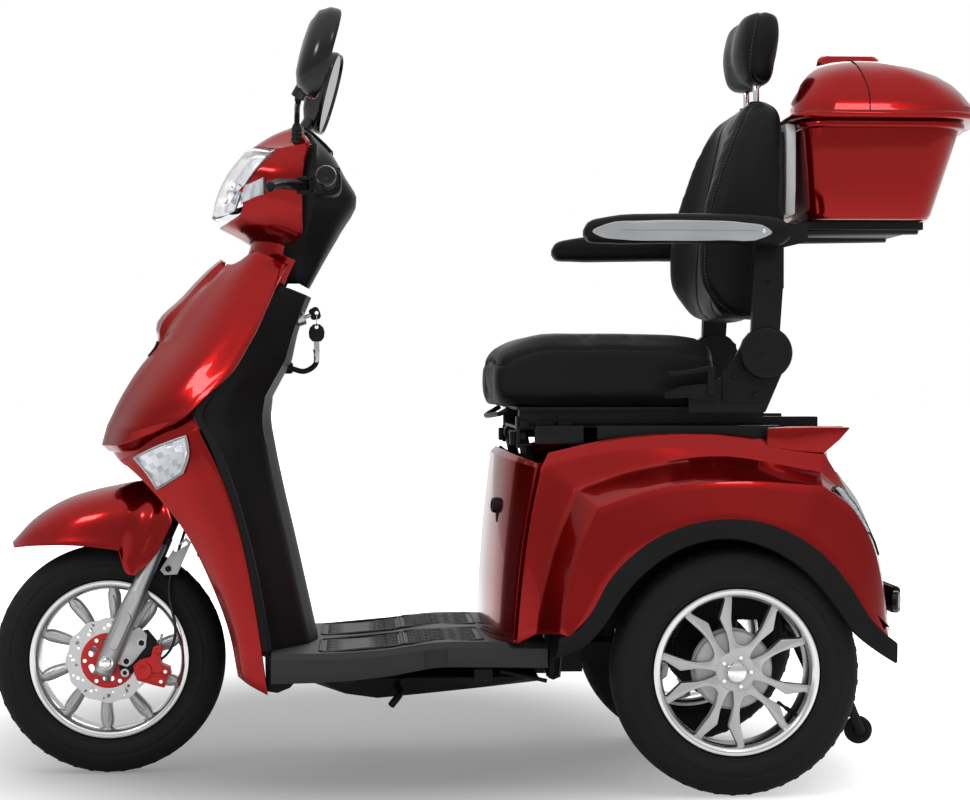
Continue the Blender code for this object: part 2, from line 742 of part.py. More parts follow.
def build_mirrors():
    for word, side in SIDES:
        ball, middle = mirror_frame(side)
        points = [
            (-0.348, side * 0.1012, 1.110),
            (-0.348, side * 0.1084, 1.170),
            (-0.347, side * 0.128, 1.188),
            (-0.345, side * 0.190, 1.192),
            ball - Vector((0, side * 0.004, 0.001)),
        ]
        boot = rod(points[0], points[1], 0.010, 14)
        arm = swept(spline(points[1:], 3), 0.005, 8)
        pin = rod(ball, ball + Vector((0, 0, 0.018)), 0.006, 12)
        solid("mirror_arm_" + word, "black_steel", [boot, arm, pin])
        turn = Matrix.Rotation(-side * math.radians(9), 3, "Z") @ Matrix.Rotation(math.radians(16), 3, "Y")
        rings = []
        sections = ((-0.020, 0.58), (-0.012, 0.84), (0.004, 0.98), (0.020, 1.0), (0.024, 0.97))
        for depth, share in sections:
            loop = []
            for i in range(16):
                a = 2 * math.pi * i / 16
                across = 0.060 * math.copysign(abs(math.cos(a)) ** 0.7, math.cos(a))
                up = 0.081 * math.copysign(abs(math.sin(a)) ** 0.7, math.sin(a))
                across *= 0.94 + 2.2 * up if up < 0 else 0.94
                across -= 0.10 * up
                offset = Vector((depth, side * across * share, up * share))
                loop.append(middle + turn @ offset)
            rings.append(loop)
        socket = rod(ball, ball + Vector((0, 0, 0.018 + RUN_GAP)), 0.006 + RUN_GAP, 12)
        neck = rod(ball, ball + Vector((0.026, side * 0.014, 0.046)), 0.012, 12)
        clear = rod(ball - Vector((0, 0, 0.03)), ball + Vector((0, 0, 0.0062)), 0.030, 12)
        solid("mirror_" + word, "gloss_black", [stacked(rings), neck], [socket, clear])


def build_front_body():
    """Rows run downwards and each lists its points from the middle outwards."""
    cowl = (
        ((-0.452, 0, 0.958), (-0.447, 0.045, 0.954), (-0.412, 0.098, 0.944), (-0.364, 0.112, 0.922)),
        ((-0.494, 0, 0.926), (-0.480, 0.058, 0.920), (-0.430, 0.116, 0.908), (-0.377, 0.130, 0.898)),
        ((-0.556, 0, 0.864), (-0.528, 0.066, 0.860), (-0.464, 0.137, 0.848), (-0.398, 0.152, 0.848)),
        ((-0.602, 0, 0.808), (-0.572, 0.070, 0.802), (-0.500, 0.152, 0.788), (-0.424, 0.168, 0.790)),
        ((-0.628, 0, 0.748), (-0.624, 0.070, 0.746), (-0.548, 0.161, 0.726), (-0.458, 0.181, 0.732)),
        ((-0.664, 0, 0.692), (-0.662, 0.064, 0.690), (-0.596, 0.156, 0.676), (-0.506, 0.187, 0.686)),
        ((-0.695, 0, 0.636), (-0.691, 0.054, 0.633), (-0.640, 0.140, 0.627), (-0.541, 0.187, 0.652)),
        ((-0.705, 0, 0.600), (-0.701, 0.050, 0.598), (-0.656, 0.126, 0.602), (-0.560, 0.181, 0.640)),
        ((-0.692, 0, 0.588), (-0.688, 0.046, 0.586), (-0.646, 0.116, 0.590), (-0.562, 0.168, 0.630)),
    )
    sweep = [rod(on_head(0.022), on_head(0.30), 0.106, 24)]
    grid = [both_sides(row) for row in cowl]
    panel("front_cowl", "red_paint", grid, (-0.45, 0, 0.75), 1, 2, (6, 7), cuts=sweep)

    side_rows = (
        ((-0.664, 0.098, 0.573), (-0.600, 0.166, 0.598), (-0.520, 0.192, 0.632)),
        ((-0.622, 0.136, 0.540), (-0.568, 0.178, 0.560), (-0.492, 0.199, 0.578)),
        ((-0.590, 0.155, 0.508), (-0.538, 0.184, 0.515), (-0.470, 0.203, 0.527)),
        ((-0.545, 0.162, 0.450), (-0.506, 0.190, 0.453), (-0.447, 0.208, 0.455)),
        ((-0.500, 0.167, 0.362), (-0.474, 0.195, 0.364), (-0.427, 0.213, 0.365)),
        ((-0.466, 0.176, 0.272), (-0.446, 0.202, 0.274), (-0.412, 0.218, 0.276)),
        ((-0.450, 0.184, 0.196), (-0.430, 0.207, 0.184), (-0.397, 0.221, 0.168)),
    )
    lens = (
        ((-0.634, 0.140, 0.578), (-0.588, 0.177, 0.600), (-0.540, 0.194, 0.618)),
        ((-0.612, 0.156, 0.552), (-0.575, 0.184, 0.572), (-0.536, 0.198, 0.586)),
        ((-0.594, 0.165, 0.524), (-0.568, 0.186, 0.540), (-0.546, 0.195, 0.554)),
    )
    for word, side in SIDES:
        grid = [[(x, side * y, z) for x, y, z in row] for row in side_rows]
        panel("side_panel_" + word, "red_paint", grid, (-0.45, 0, 0.40), 2, 2)
        grid = [[(x, side * y, z) for x, y, z in row] for row in lens]
        grid = draped("side_panel_" + word, refined(grid, 2, 2), 0.0090)
        boss = stud("side_panel_" + word, grid[2][2] + (Vector((-0.45, 0, 0.56)) - grid[2][2]) * 0.02, 0.006)
        solid("indicator_" + word, "clear", [skin(grid, 0.0055, (-0.45, 0, 0.40)), boss])

    shield = (
        ((-0.3245, 0, 0.8665), (-0.332, 0.048, 0.8695), (-0.360, 0.082, 0.880), (-0.376, 0.106, 0.884)),
        ((-0.348, 0, 0.806), (-0.355, 0.060, 0.807), (-0.390, 0.108, 0.820), (-0.418, 0.143, 0.826)),
        ((-0.360, 0, 0.752), (-0.370, 0.074, 0.752), (-0.416, 0.128, 0.758), (-0.450, 0.160, 0.766)),
        ((-0.395, 0, 0.686), (-0.406, 0.084, 0.686), (-0.464, 0.144, 0.692), (-0.506, 0.172, 0.696)),
        ((-0.398, 0, 0.646), (-0.411, 0.086, 0.646), (-0.476, 0.150, 0.650), (-0.530, 0.176, 0.655)),
        ((-0.391, 0, 0.600), (-0.405, 0.086, 0.600), (-0.462, 0.152, 0.606), (-0.508, 0.184, 0.613)),
        ((-0.376, 0, 0.526), (-0.391, 0.086, 0.526), (-0.440, 0.154, 0.526), (-0.476, 0.194, 0.530)),
        ((-0.356, 0, 0.440), (-0.371, 0.086, 0.440), (-0.418, 0.158, 0.440), (-0.450, 0.200, 0.442)),
        ((-0.338, 0, 0.360), (-0.353, 0.086, 0.360), (-0.400, 0.162, 0.360), (-0.431, 0.205, 0.360)),
        ((-0.319, 0, 0.275), (-0.334, 0.086, 0.275), (-0.382, 0.166, 0.275), (-0.416, 0.210, 0.275)),
        ((-0.312, 0, 0.2424), (-0.327, 0.086, 0.2424), (-0.375, 0.168, 0.2424), (-0.410, 0.212, 0.2424)),
    )
    drop = FLOOR_FRONT_Z + 2 * SEAT_GAP - shield[-1][0][2]
    grid = []
    for i, row in enumerate(shield):
        lower = drop if i == 10 else 0
        grid.append(both_sides([(x, y, z + lower) for x, y, z in row]))
    sweep = [rod(on_head(0.036), on_head(0.30), 0.106, 24)]
    obj = panel("leg_shield", "black_plastic", grid, (-0.55, 0, 0.55), 1, 2, (2, 3), cuts=sweep)
    lock_at, lock_way = lock_place()
    combine(obj, [rod(lock_at - lock_way * 0.012, lock_at, 0.013, 14)], "UNION")


def lock_place():
    """The end of the ignition barrel and the way it points."""
    return Vector((-0.336, -0.030, 0.830)), Vector((0.94, 0, 0.34)).normalized()


def build_keys():
    at, way = lock_place()
    across = way.cross(SIDE)
    shank = rod(at + way * SEAT_GAP, at + way * 0.012, 0.0035, 8)
    bow = [(0.010, -0.010), (0.024, -0.012), (0.029, -0.006), (0.029, 0.006), (0.024, 0.012), (0.010, 0.010)]
    outline = [at + way * a + across * b for a, b in bow]
    plate = prism([(p.x, p.z) for p in outline], at.y - 0.003, at.y + 0.003)
    hole = at + way * 0.023 + across * 0.0
    eye = rod(hole - SIDE * 0.01, hole + SIDE * 0.01, 0.0035, 10)
    solid("ignition_key", "black_plastic", [shank, plate], [eye])
    wire = 0.0009
    ring_radius = 0.0115
    centre = hole + Vector((0, 0, -0.0035 + wire + 0.0007 - ring_radius))
    section = [(wire * math.cos(a), ring_radius + wire * math.sin(a)) for a in (0, 1.57, 3.14, 4.71)]
    ring = turned(section, centre, (1, 0, 0), 18, True)
    foot = centre.z - ring_radius
    tag = prism(
        [
            (hole.x - 0.0022, foot + 0.002),
            (hole.x + 0.0022, foot + 0.002),
            (hole.x + 0.0022, foot - 0.052),
            (hole.x - 0.0022, foot - 0.052),
        ],
        at.y - 0.010,
        at.y + 0.010,
    )
    solid("spare_key", "black_plastic", [tag, ring])
    return hole


def build_bag_hook():
    root = Vector((-0.366, 0.028, 0.738))
    points = [(0, 0, 0), (0.030, 0, -0.006), (0.048, 0, 0.006), (0.050, 0, 0.032)]
    path = spline([root + Vector(p) for p in points], 3)
    boss = stud("leg_shield", root + Vector((0.004, 0, 0)), 0.007)
    solid("bag_hook", "black_plastic", [swept(path, 0.005, 8), boss])


def floor_height(x):
    """Height of the foot board's upper face along the scooter."""
    share = min(max((x + 0.26) / 0.165, 0), 1)
    share = share * share * (3 - 2 * share)
    dip = 0.0005 if x > -0.02 else 0
    return FLOOR_FRONT_Z + (FLOOR_REAR_Z - FLOOR_FRONT_Z) * share - dip


def build_floor():
    stations = ((-0.390, 0.238, 0.052), (-0.300, 0.246, 0.049), (-0.200, 0.250, 0.046))
    stations += ((-0.095, 0.250, 0.043),)
    stations += ((-0.030, 0.250, 0.043), (0.020, 0.252, 0.043), (0.088, 0.262, 0.043))
    grid = []
    for x, half, skirt in stations:
        z = floor_height(x)
        half *= FLOOR_HALF / 0.250
        row = [(x, 0, z), (x, half * 0.5, z), (x, half - 0.010, z), (x, half, z - 0.010)]
        row.append((x, half + 0.002, z - skirt))
        grid.append(both_sides(row))
    corners = (1, 2, 6, 7)
    notch = [swept(spline(down_tube(), 2), 0.019 + 0.003, 10)]
    panel("floor_board", "grey_plastic", grid, (-0.15, 0, 0.10), 1, 1, (), corners, 0.006, notch)


def arch_line(offset, ends):
    """The wheel arch as (x, z): straight flanks run into a round top, moved inwards by an offset."""
    cx, cz = REAR_AXLE_X - 0.016, REAR_TYRE_RADIUS + 0.079
    radius = ARCH_RADIUS - offset
    points = []
    for degrees in (138, 122, 106, 90, 74, 58, 42):
        a = math.radians(degrees)
        points.append((cx + radius * math.cos(a), cz + radius * math.sin(a)))
    slope = math.tan(math.radians(48))
    first, last = points[0], points[-1]
    front = [(first[0] - (first[1] - z) / slope, z) for z in ends[0]]
    rear = [(last[0] + (last[1] - z) / slope, z) for z in ends[1]]
    return front + points + rear


def build_rear_body():
    """Panels round the rear wheels; rows list points from the middle outwards."""
    base = FLOOR_REAR_Z + SEAT_GAP
    cover = (
        ((-0.018, 0, base), (-0.012, 0.120, base), (0.004, 0.205, base), (0.028, 0.266, base)),
        ((-0.014, 0, 0.360), (-0.008, 0.120, 0.360), (0.009, 0.206, 0.362), (0.036, 0.270, 0.366)),
        ((-0.005, 0, 0.470), (0.001, 0.120, 0.470), (0.019, 0.203, 0.470), (0.050, 0.268, 0.472)),
        ((0.008, 0, 0.582), (0.014, 0.120, 0.580), (0.034, 0.197, 0.574), (0.070, 0.258, 0.564)),
        ((0.018, 0, 0.592), (0.024, 0.118, 0.590), (0.042, 0.192, 0.583), (0.074, 0.250, 0.572)),
    )
    panel("battery_cover", "red_paint", [both_sides(r) for r in cover], (0.2, 0, 0.42), 1, 2, (3,))

    deck = (
        ((0.490, 0, 0.618), (0.490, 0.190, 0.618), (0.488, 0.228, 0.632)),
        ((0.560, 0, 0.619), (0.556, 0.186, 0.619), (0.548, 0.228, 0.635)),
        ((0.640, 0, 0.624), (0.632, 0.170, 0.625), (0.612, 0.228, 0.635)),
        ((0.604, 0, 0.594), (0.598, 0.160, 0.594), (0.578, 0.228, 0.590)),
        ((0.616, 0, 0.556), (0.612, 0.132, 0.556), (0.584, 0.238, 0.550)),
        ((0.658, 0, 0.498), (0.652, 0.136, 0.498), (0.622, 0.244, 0.498)),
        ((0.686, 0, 0.430), (0.680, 0.140, 0.430), (0.652, 0.250, 0.430)),
        ((0.702, 0, 0.360), (0.696, 0.142, 0.360), (0.670, 0.255, 0.360)),
        ((0.708, 0, 0.266), (0.702, 0.142, 0.266), (0.680, 0.258, 0.266)),
    )
    panel("tail_panel", "red_paint", [both_sides(r) for r in deck], (0.45, 0, 0.45), 1, 2, (2, 3))

    y = ARCH_Y
    arch = arch_line(0, ((0.290, 0.335, 0.380), (0.380, 0.330, 0.280)))
    picks = [arch[i] for i in (0, 1, 2, 3, 4, 6, 8, 9, 10, 11, 12)]
    edge = [(px, y, pz) for px, pz in picks]
    flare = (
        (0.106, y - 0.006, 0.286),
        (0.118, y - 0.007, 0.350),
        (0.134, y - 0.010, 0.424),
        (0.166, y - 0.016, 0.498),
        (0.250, y - 0.018, 0.528),
        (0.390, y - 0.018, 0.545),
        (0.560, y - 0.030, 0.540),
        (0.612, y - 0.036, 0.492),
        (0.646, y - 0.040, 0.432),
        (0.664, y - 0.044, 0.362),
        (0.674, y - 0.046, 0.288),
    )
    facet = (
        (0.066, 0.304, 0.282),
        (0.080, 0.304, 0.364),
        (0.098, 0.302, 0.452),
        (0.130, 0.296, 0.535),
        (0.220, 0.292, 0.560),
        (0.385, 0.290, 0.582),
        (0.572, 0.282, 0.570),
        (0.618, 0.284, 0.508),
        (0.653, 0.288, 0.438),
        (0.672, 0.290, 0.364),
        (0.682, 0.292, 0.284),
    )
    seam = (
        (0.034, 0.272, base),
        (0.043, 0.2755, 0.368),
        (0.057, 0.2735, 0.474),
        (0.077, 0.2635, 0.566),
        (0.180, 0.256, 0.592),
        (0.360, 0.252, 0.606),
        (0.582, 0.2480, 0.580),
        (0.626, 0.2550, 0.500),
        (0.656, 0.2605, 0.432),
        (0.674, 0.2655, 0.362),
        (0.684, 0.2685, 0.272),
    )
    rim = (
        (0.044, 0.262, base + 0.004),
        (0.056, 0.262, 0.374),
        (0.070, 0.258, 0.478),
        (0.090, 0.250, 0.590),
        (0.190, 0.244, 0.613),
        (0.360, 0.240, 0.624),
        (0.572, 0.246, 0.586),
        (0.617, 0.253, 0.503),
        (0.648, 0.2585, 0.434),
        (0.666, 0.2635, 0.364),
        (0.676, 0.2665, 0.276),
    )
    corners = (3, 6)
    for word, side in SIDES:
        rows = [[(px, side * py, pz) for px, py, pz in row] for row in (edge, flare, facet, seam, rim)]
        panel("fairing_" + word, "red_paint", rows, (0.39, side * 0.10, 0.30), 1, 2, (1, 2, 3), corners)
        outer = arch_line(ARCH_GAP, ((0.236, 0.262, 0.300, 0.360), (0.360, 0.300, 0.262, 0.236)))
        inner = arch_line(ARCH_GAP + ARCH_BAND, ((0.236, 0.300, 0.350), (0.350, 0.300, 0.236)))
        near, far = sorted((side * (ARCH_Y - 0.014), side * (ARCH_Y + 0.003)))
        top = outer[len(outer) // 2]
        boss = stud("fairing_" + word, (top[0], side * (ARCH_Y - 0.003), top[1] - 0.012), 0.003)
        solid("arch_trim_" + word, "black_plastic", [prism(outer + inner[::-1], near, far), boss])

    lamp = (
        ((0.622, 0.150, 0.556), (0.610, 0.200, 0.556), (0.594, 0.240, 0.548)),
        ((0.662, 0.154, 0.500), (0.650, 0.205, 0.500), (0.632, 0.246, 0.498)),
        ((0.690, 0.158, 0.430), (0.679, 0.208, 0.430), (0.662, 0.252, 0.430)),
        ((0.702, 0.190, 0.372), (0.694, 0.218, 0.372), (0.679, 0.256, 0.372)),
    )
    for word, side in SIDES:
        rows = [[(px + 0.010, side * py, pz) for px, py, pz in row] for row in lamp]
        grid = draped("tail_panel", refined(rows, 1, 2), 0.0075)
        boss = stud("tail_panel", grid[1][2] + Vector((-0.003, 0, 0)), 0.006)
        solid("tail_lamp_" + word, "lamp_red", [skin(grid, 0.0055, (0.45, side * 0.15, 0.45)), boss])


def build_bumper():
    pad = rounded((-0.010, 0.012), 0.20, 0.010, 0.302)
    low = [p + Vector((0.712, 0, 0)) for p in pad]
    high = [p + Vector((0.712, 0, 0.046)) for p in pad]
    cut_x = 0.709
    boss = stud("tail_panel", (0.716, 0, 0.325), 0.010)
    cutter = block((0.60, -0.3, 0.28), (cut_x, 0.3, 0.37))
    solid("rear_bumper", "black_plastic", [stacked([low, high])], [cutter])
    combine(made["rear_bumper"], [boss], "UNION")


def build_swing_arm():
    pivot = Vector((SWING_PIVOT_X, 0, SWING_PIVOT_Z))
    parts = [rod(pivot - SIDE * 0.055, pivot + SIDE * 0.055, 0.024, 16)]
    beam_top, beam_low = 0.020, -0.018
    parts.append(
        block(
            (pivot.x, -0.045, pivot.z + beam_low),
            (REAR_AXLE.x, 0.045, pivot.z + beam_top),
        )
    )
    tube = REAR_TRACK / 2 - 0.036 - 0.004
    parts.append(rod(REAR_AXLE - SIDE * tube, REAR_AXLE + SIDE * tube, AXLE_TUBE_RADIUS, 16))
    parts.append(rod(REAR_AXLE - SIDE * 0.085, REAR_AXLE + SIDE * 0.075, MOTOR_RADIUS, 20))
    shaft = REAR_TRACK / 2 + 0.034
    parts.append(rod(REAR_AXLE - SIDE * shaft, REAR_AXLE + SIDE * shaft, REAR_SHAFT_RADIUS, 16))
    bore = rod(pivot - SIDE * 0.1, pivot + SIDE * 0.1, PIVOT_RADIUS + RUN_GAP, 16)
    solid("swing_arm", "black_steel", parts, [bore])


def shock_ends(side):
    """Where a shock absorber stands on the axle tube and where it meets the frame."""
    y = side * SHOCK_Y
    low = Vector((REAR_AXLE_X + 0.004, y, REAR_AXLE.z + AXLE_TUBE_RADIUS + SEAT_GAP))
    return low, Vector((0.452, y, 0.545))


def build_shocks():
    """A damper with its coil spring; the coil is one unbroken wire run into both end cups."""
    wire, mean, turns, points = 0.0030, 0.0158, 7, 8
    for word, side in SIDES:
        low, high = shock_ends(side)
        way = (high - low).normalized()
        length = (high - low).length
        first = way.orthogonal().normalized()
        second = way.cross(first)
        start, end = 0.034, length - 0.034
        path = []
        for i in range(turns * points + 1):
            a = 2 * math.pi * i / points
            rise = start + (end - start) * i / (turns * points)
            path.append(low + way * rise + (first * math.cos(a) + second * math.sin(a)) * mean)
        pitch = (end - start) / turns
        print("spring", word, "least gap between curls", round((pitch - 2 * wire) * 1000, 2), "mm")
        parts = [
            turned(
                [(0, 0), (0, 0.009), (0.026, 0.009), (0.026, 0.0205), (0.038, 0.0205), (0.038, 0.010)]
                + [(length - 0.038, 0.010), (length - 0.038, 0.0205), (length - 0.026, 0.0205)]
                + [(length - 0.026, 0.009), (length - SEAT_GAP, 0.009), (length - SEAT_GAP, 0)],
                low,
                way,
                12,
            ),
            swept(path, wire, 5),
        ]
        solid("shock_" + word, "black_steel", parts)


def build_battery():
    half = min(RAIL_Y, SEAT_POST_Y) - 0.022
    low, high = (0.086, -half, 0.2915), (0.318, half, 0.478)
    solid("battery_pack", "black_plastic", [block(low, high)])
    return low, high


def build_anti_tip():
    for word, side in SIDES:
        bore = 0.004 + RUN_GAP
        wheel = [(-0.010, bore), (-0.010, 0.020), (-0.007, ANTI_TIP_RADIUS)]
        wheel += [(0.007, ANTI_TIP_RADIUS), (0.010, 0.020), (0.010, bore)]
        centre = (ANTI_TIP_X, side * ANTI_TIP_Y, ANTI_TIP_Z)
        solid("anti_tip_wheel_" + word, "rubber", [turned(wheel, centre, SIDE, 20, True)])


def down_tube():
    """The path of the frame's front tube from the steering head to the floor."""
    points = [on_head(-0.130, 0, 0.020), (-0.446, 0, 0.600), (-0.408, 0, 0.420), (-0.372, 0, 0.262)]
    return points + [(-0.330, 0, 0.196)]


def build_frame(battery):
    head_low, head_high = on_head(-0.232), on_head(-0.020)
    parts = [rod(head_low, head_high, HEAD_TUBE_RADIUS, 16)]
    spine_z = 0.196
    down = down_tube()
    parts.append(swept(spline(down, 2), 0.019, 8))
    parts.append(block((-0.345, -0.034, spine_z - 0.019), (0.110, 0.034, spine_z + 0.019)))
    for x in (-0.260, -0.020):
        parts.append(block((x - 0.016, -0.205, spine_z - 0.010), (x + 0.016, 0.205, spine_z + 0.012)))
    tray = (
        (-0.322, 0.176, 0.150),
        (-0.262, 0.158, 0.170),
        (-0.205, 0.151, 0.178),
        (-0.125, 0.158, 0.178),
        (-0.020, 0.168, 0.176),
        (0.080, 0.178, 0.170),
    )
    rows = []
    for x, z, half in tray:
        rows.append(
            [
                Vector((x, -half, 0.190)),
                Vector((x, 0.03 - half, z)),
                Vector((x, half - 0.03, z)),
                Vector((x, half, 0.190)),
            ]
        )
    parts.append(stacked(rows))
    hinge = Vector((SEAT_HINGE_X, 0, SEAT_HINGE_Z))
    for side in (-1, 1):
        y = side * RAIL_Y
        rail = [(0.106, y, 0.190), (0.112, y, 0.270), (0.140, y, 0.345), (0.300, y, 0.372), (0.520, y, 0.385)]
        rail += [(0.580, y, 0.330), (0.596, y, 0.230)]
        parts.append(swept(spline(rail, 1), RAIL_RADIUS, 8))
        post = (SEAT_HINGE_X, side * SEAT_POST_Y, SEAT_HINGE_Z + 0.004)
        parts.append(rod((0.122, y, 0.310), post, 0.010, 8))
        parts.append(rod((0.470, y, 0.380), (0.480, y, 0.610), 0.011, 8))
        foot = Vector((0.596, y, 0.236))
        hub = Vector((ANTI_TIP_X, side * (ANTI_TIP_Y + 0.026), ANTI_TIP_Z))
        parts.append(rod(foot, hub, 0.009, 8))
        parts.append(rod(hub + SIDE * (side * 0.006), hub - SIDE * (side * 0.036), 0.004, 12))
        low, top = shock_ends(side)
        way = (top - low).normalized()
        cap = top + way * SEAT_GAP
        parts.append(rod(cap, cap + way * 0.018, 0.011, 8))
        parts.append(rod(cap + way * 0.010, (0.478, y, 0.566), 0.008, 8))
    reach = SIDE * (SEAT_POST_Y + 0.012)
    parts.append(rod(hinge - reach, hinge + reach, HINGE_PIN_RADIUS, 14))
    parts.append(rod((0.480, -RAIL_Y, 0.604), (0.480, RAIL_Y, 0.604), 0.010, 8))
    parts.append(rod((0.596, -RAIL_Y, 0.240), (0.596, RAIL_Y, 0.240), 0.011, 8))
    parts.append(rod((0.106, -RAIL_Y, 0.196), (0.106, RAIL_Y, 0.196), 0.012, 8))
    low, high = battery
    parts.append(block((low[0] - 0.012, -RAIL_Y, low[2] - SEAT_GAP - 0.006), (high[0], RAIL_Y, low[2] - SEAT_GAP)))
    for side in (-1, 1):
        parts.append(block((0.120, side * RAIL_Y - 0.006, 0.275), (0.300, side * RAIL_Y + 0.006, 0.370)))
    pivot = Vector((SWING_PIVOT_X, 0, SWING_PIVOT_Z))
    parts.append(rod(pivot - SIDE * 0.074, pivot + SIDE * 0.074, PIVOT_RADIUS, 16))
    for side in (-1, 1):
        ys = sorted((side * 0.060, side * 0.074))
        parts.append(block((pivot.x - 0.052, ys[0], pivot.z - 0.030), (pivot.x + 0.018, ys[1], pivot.z + 0.074)))
    parts.append(stud("front_cowl", on_head(-0.100, 0, -0.024), 0.006))
    parts.append(stud("leg_shield", on_head(-0.200, 0, 0.010), 0.006))
    for word, side in SIDES:
        parts.append(stud("side_panel_" + word, (-0.418, side * 0.010, 0.455), 0.006))
        parts.append(stud("fairing_" + word, (0.478, side * RAIL_Y, 0.585), 0.006))
    parts.append(stud("battery_cover", (SEAT_HINGE_X + 0.014, 0.120, 0.560), 0.006))
    parts.append(rod((0.0643, 0.120, 0.560), (0.064, SEAT_POST_Y, 0.562), 0.006, 8))
    parts.append(stud("tail_panel", (0.596, 0.05, 0.240), 0.006))
    floor = block((-0.28, -0.12, FLOOR_FRONT_Z - 0.06), (-0.24, 0.12, FLOOR_FRONT_Z - 0.0066))
    parts.append(floor)
    bore = rod(on_head(-0.5), on_head(0.2), STEM_RADIUS + RUN_GAP, 16)
    obj = solid("main_frame", "black_steel", parts, [bore])
    return obj


def build_seat():
    hinge = Vector((SEAT_HINGE_X, 0, SEAT_HINGE_Z))
    deck_z = SEAT_HINGE_Z + 0.012
    parts = [block((SEAT_HINGE_X - 0.008, -0.190, deck_z), (0.500, 0.190, deck_z + 0.005))]
    rail_top = deck_z + 0.022
    for side in (-1, 1):
        y = side * SLIDE_Y
        parts.append(block((0.040, y - 0.014, deck_z), (0.578, y + 0.014, rail_top)))
        near, far = sorted((side * (SEAT_POST_Y - 0.072), side * (SEAT_POST_Y - 0.022)))
        parts.append(rod((hinge.x, near, hinge.z), (hinge.x, far, hinge.z), 0.0125, 14))
    bore = rod(hinge - SIDE * 0.3, hinge + SIDE * 0.3, HINGE_PIN_RADIUS + RUN_GAP, 14)
    solid("seat_base", "black_steel", parts, [bore])

    shoe = rail_top + SEAT_GAP
    pan = shoe + 0.012
    parts = [block((0.040, -0.200, pan), (0.440, 0.200, pan + 0.005))]
    for side in (-1, 1):
        y = side * SLIDE_Y
        parts.append(block((0.045, y - 0.018, shoe), (0.480, y + 0.018, pan + 0.001)))
        for lip in (-0.0195, 0.0155):
            parts.append(block((0.047, y + lip, shoe - 0.012), (0.478, y + lip + 0.004, shoe + 0.006)))
        ys = sorted((side * 0.150, side * (BRACKET_Y + 0.003)))
        parts.append(block((0.352, ys[0], pan - 0.002), (0.438, ys[1], pan + 0.004)))
        shape = [(0.335, pan - 0.004), (0.470, pan - 0.004), (0.506, RECLINE_Z - 0.020)]
        shape += [(0.506, RECLINE_Z + 0.022), (0.485, RECLINE_Z + 0.040), (0.450, RECLINE_Z + 0.040)]
        shape += [(0.428, RECLINE_Z + 0.016), (0.400, pan + 0.060), (0.335, pan + 0.034)]
        near, far = sorted((side * BRACKET_Y, side * (BRACKET_Y + 0.006)))
        parts.append(prism(shape, near, far))
        near, far = side * (BRACKET_Y + 0.001), side * (UPRIGHT_Y + 0.022)
        parts.append(rod((RECLINE_X, near, RECLINE_Z), (RECLINE_X, far, RECLINE_Z), 0.008, 14))
        stop = Vector((0.372, 0, pan + 0.032))
        if side < 0:
            parts.append(rod(stop - SIDE * (BRACKET_Y + 0.002), stop - SIDE * (BRACKET_Y + 0.026), 0.006, 12))
    solid("seat_slider", "black_steel", parts)
    lever_at = Vector((0.372, 0, pan + 0.032))
    outer = -(BRACKET_Y + 0.006 + SEAT_GAP)
    shape = [(0.014, -0.012), (0.014, 0.012), (-0.012, 0.014), (-0.050, 0.010)]
    shape += [(-0.082, -0.002), (-0.080, -0.012), (-0.040, -0.010), (-0.012, -0.014)]
    outline = [(lever_at.x + x, lever_at.z + z) for x, z in shape]
    pin = rod(lever_at - SIDE * 0.4, lever_at, 0.006 + RUN_GAP, 12)
    solid("recline_lever", "grey_plastic", [prism(outline, outer - 0.014, outer)], [pin])
    return pan + 0.005, lever_at


def build_seat_cushion(pan_top):
    """Sections run backwards; each gives X, half width, underside, crown and edge heights."""
    low = pan_top + 2 * SEAT_GAP
    sections = (
        (-0.014, 0.150, 0.026, 0.062, 0.056),
        (-0.022, 0.196, 0.012, 0.084, 0.074),
        (-0.004, 0.222, 0.003, 0.104, 0.096),
        (0.060, 0.238, 0.000, 0.119, 0.119),
        (0.160, 0.242, 0.000, 0.116, 0.125),
        (0.260, 0.242, 0.000, 0.112, 0.125),
        (0.340, 0.238, 0.000, 0.110, 0.121),
        (0.386, 0.226, 0.004, 0.106, 0.112),
        (0.398, 0.190, 0.018, 0.090, 0.094),
    )
    rings = []
    for x, half, bottom, crown, edge in sections:
        b = low + bottom
        loop = [
            (x, 0, low + crown),
            (x, half * 0.45, low + crown + 0.25 * (edge - crown)),
            (x, half * 0.80, low + edge),
            (x, half * 0.97, low + edge - 0.018),
            (x, half, (b + low + edge) / 2),
            (x, half * 0.965, b + 0.016),
            (x, half * 0.80, b),
            (x, 0, b),
        ]
        loop += [(px, -py, pz) for px, py, pz in reversed(loop[1:-1])]
        rings.append([Vector(p) for p in loop])
    columns = [spline(column, 2) for column in zip(*rings)]
    for column in columns:
        for point in column:
            point.z = max(point.z, low)
    solid("seat_cushion", "vinyl", [stacked([list(r) for r in zip(*columns)])])


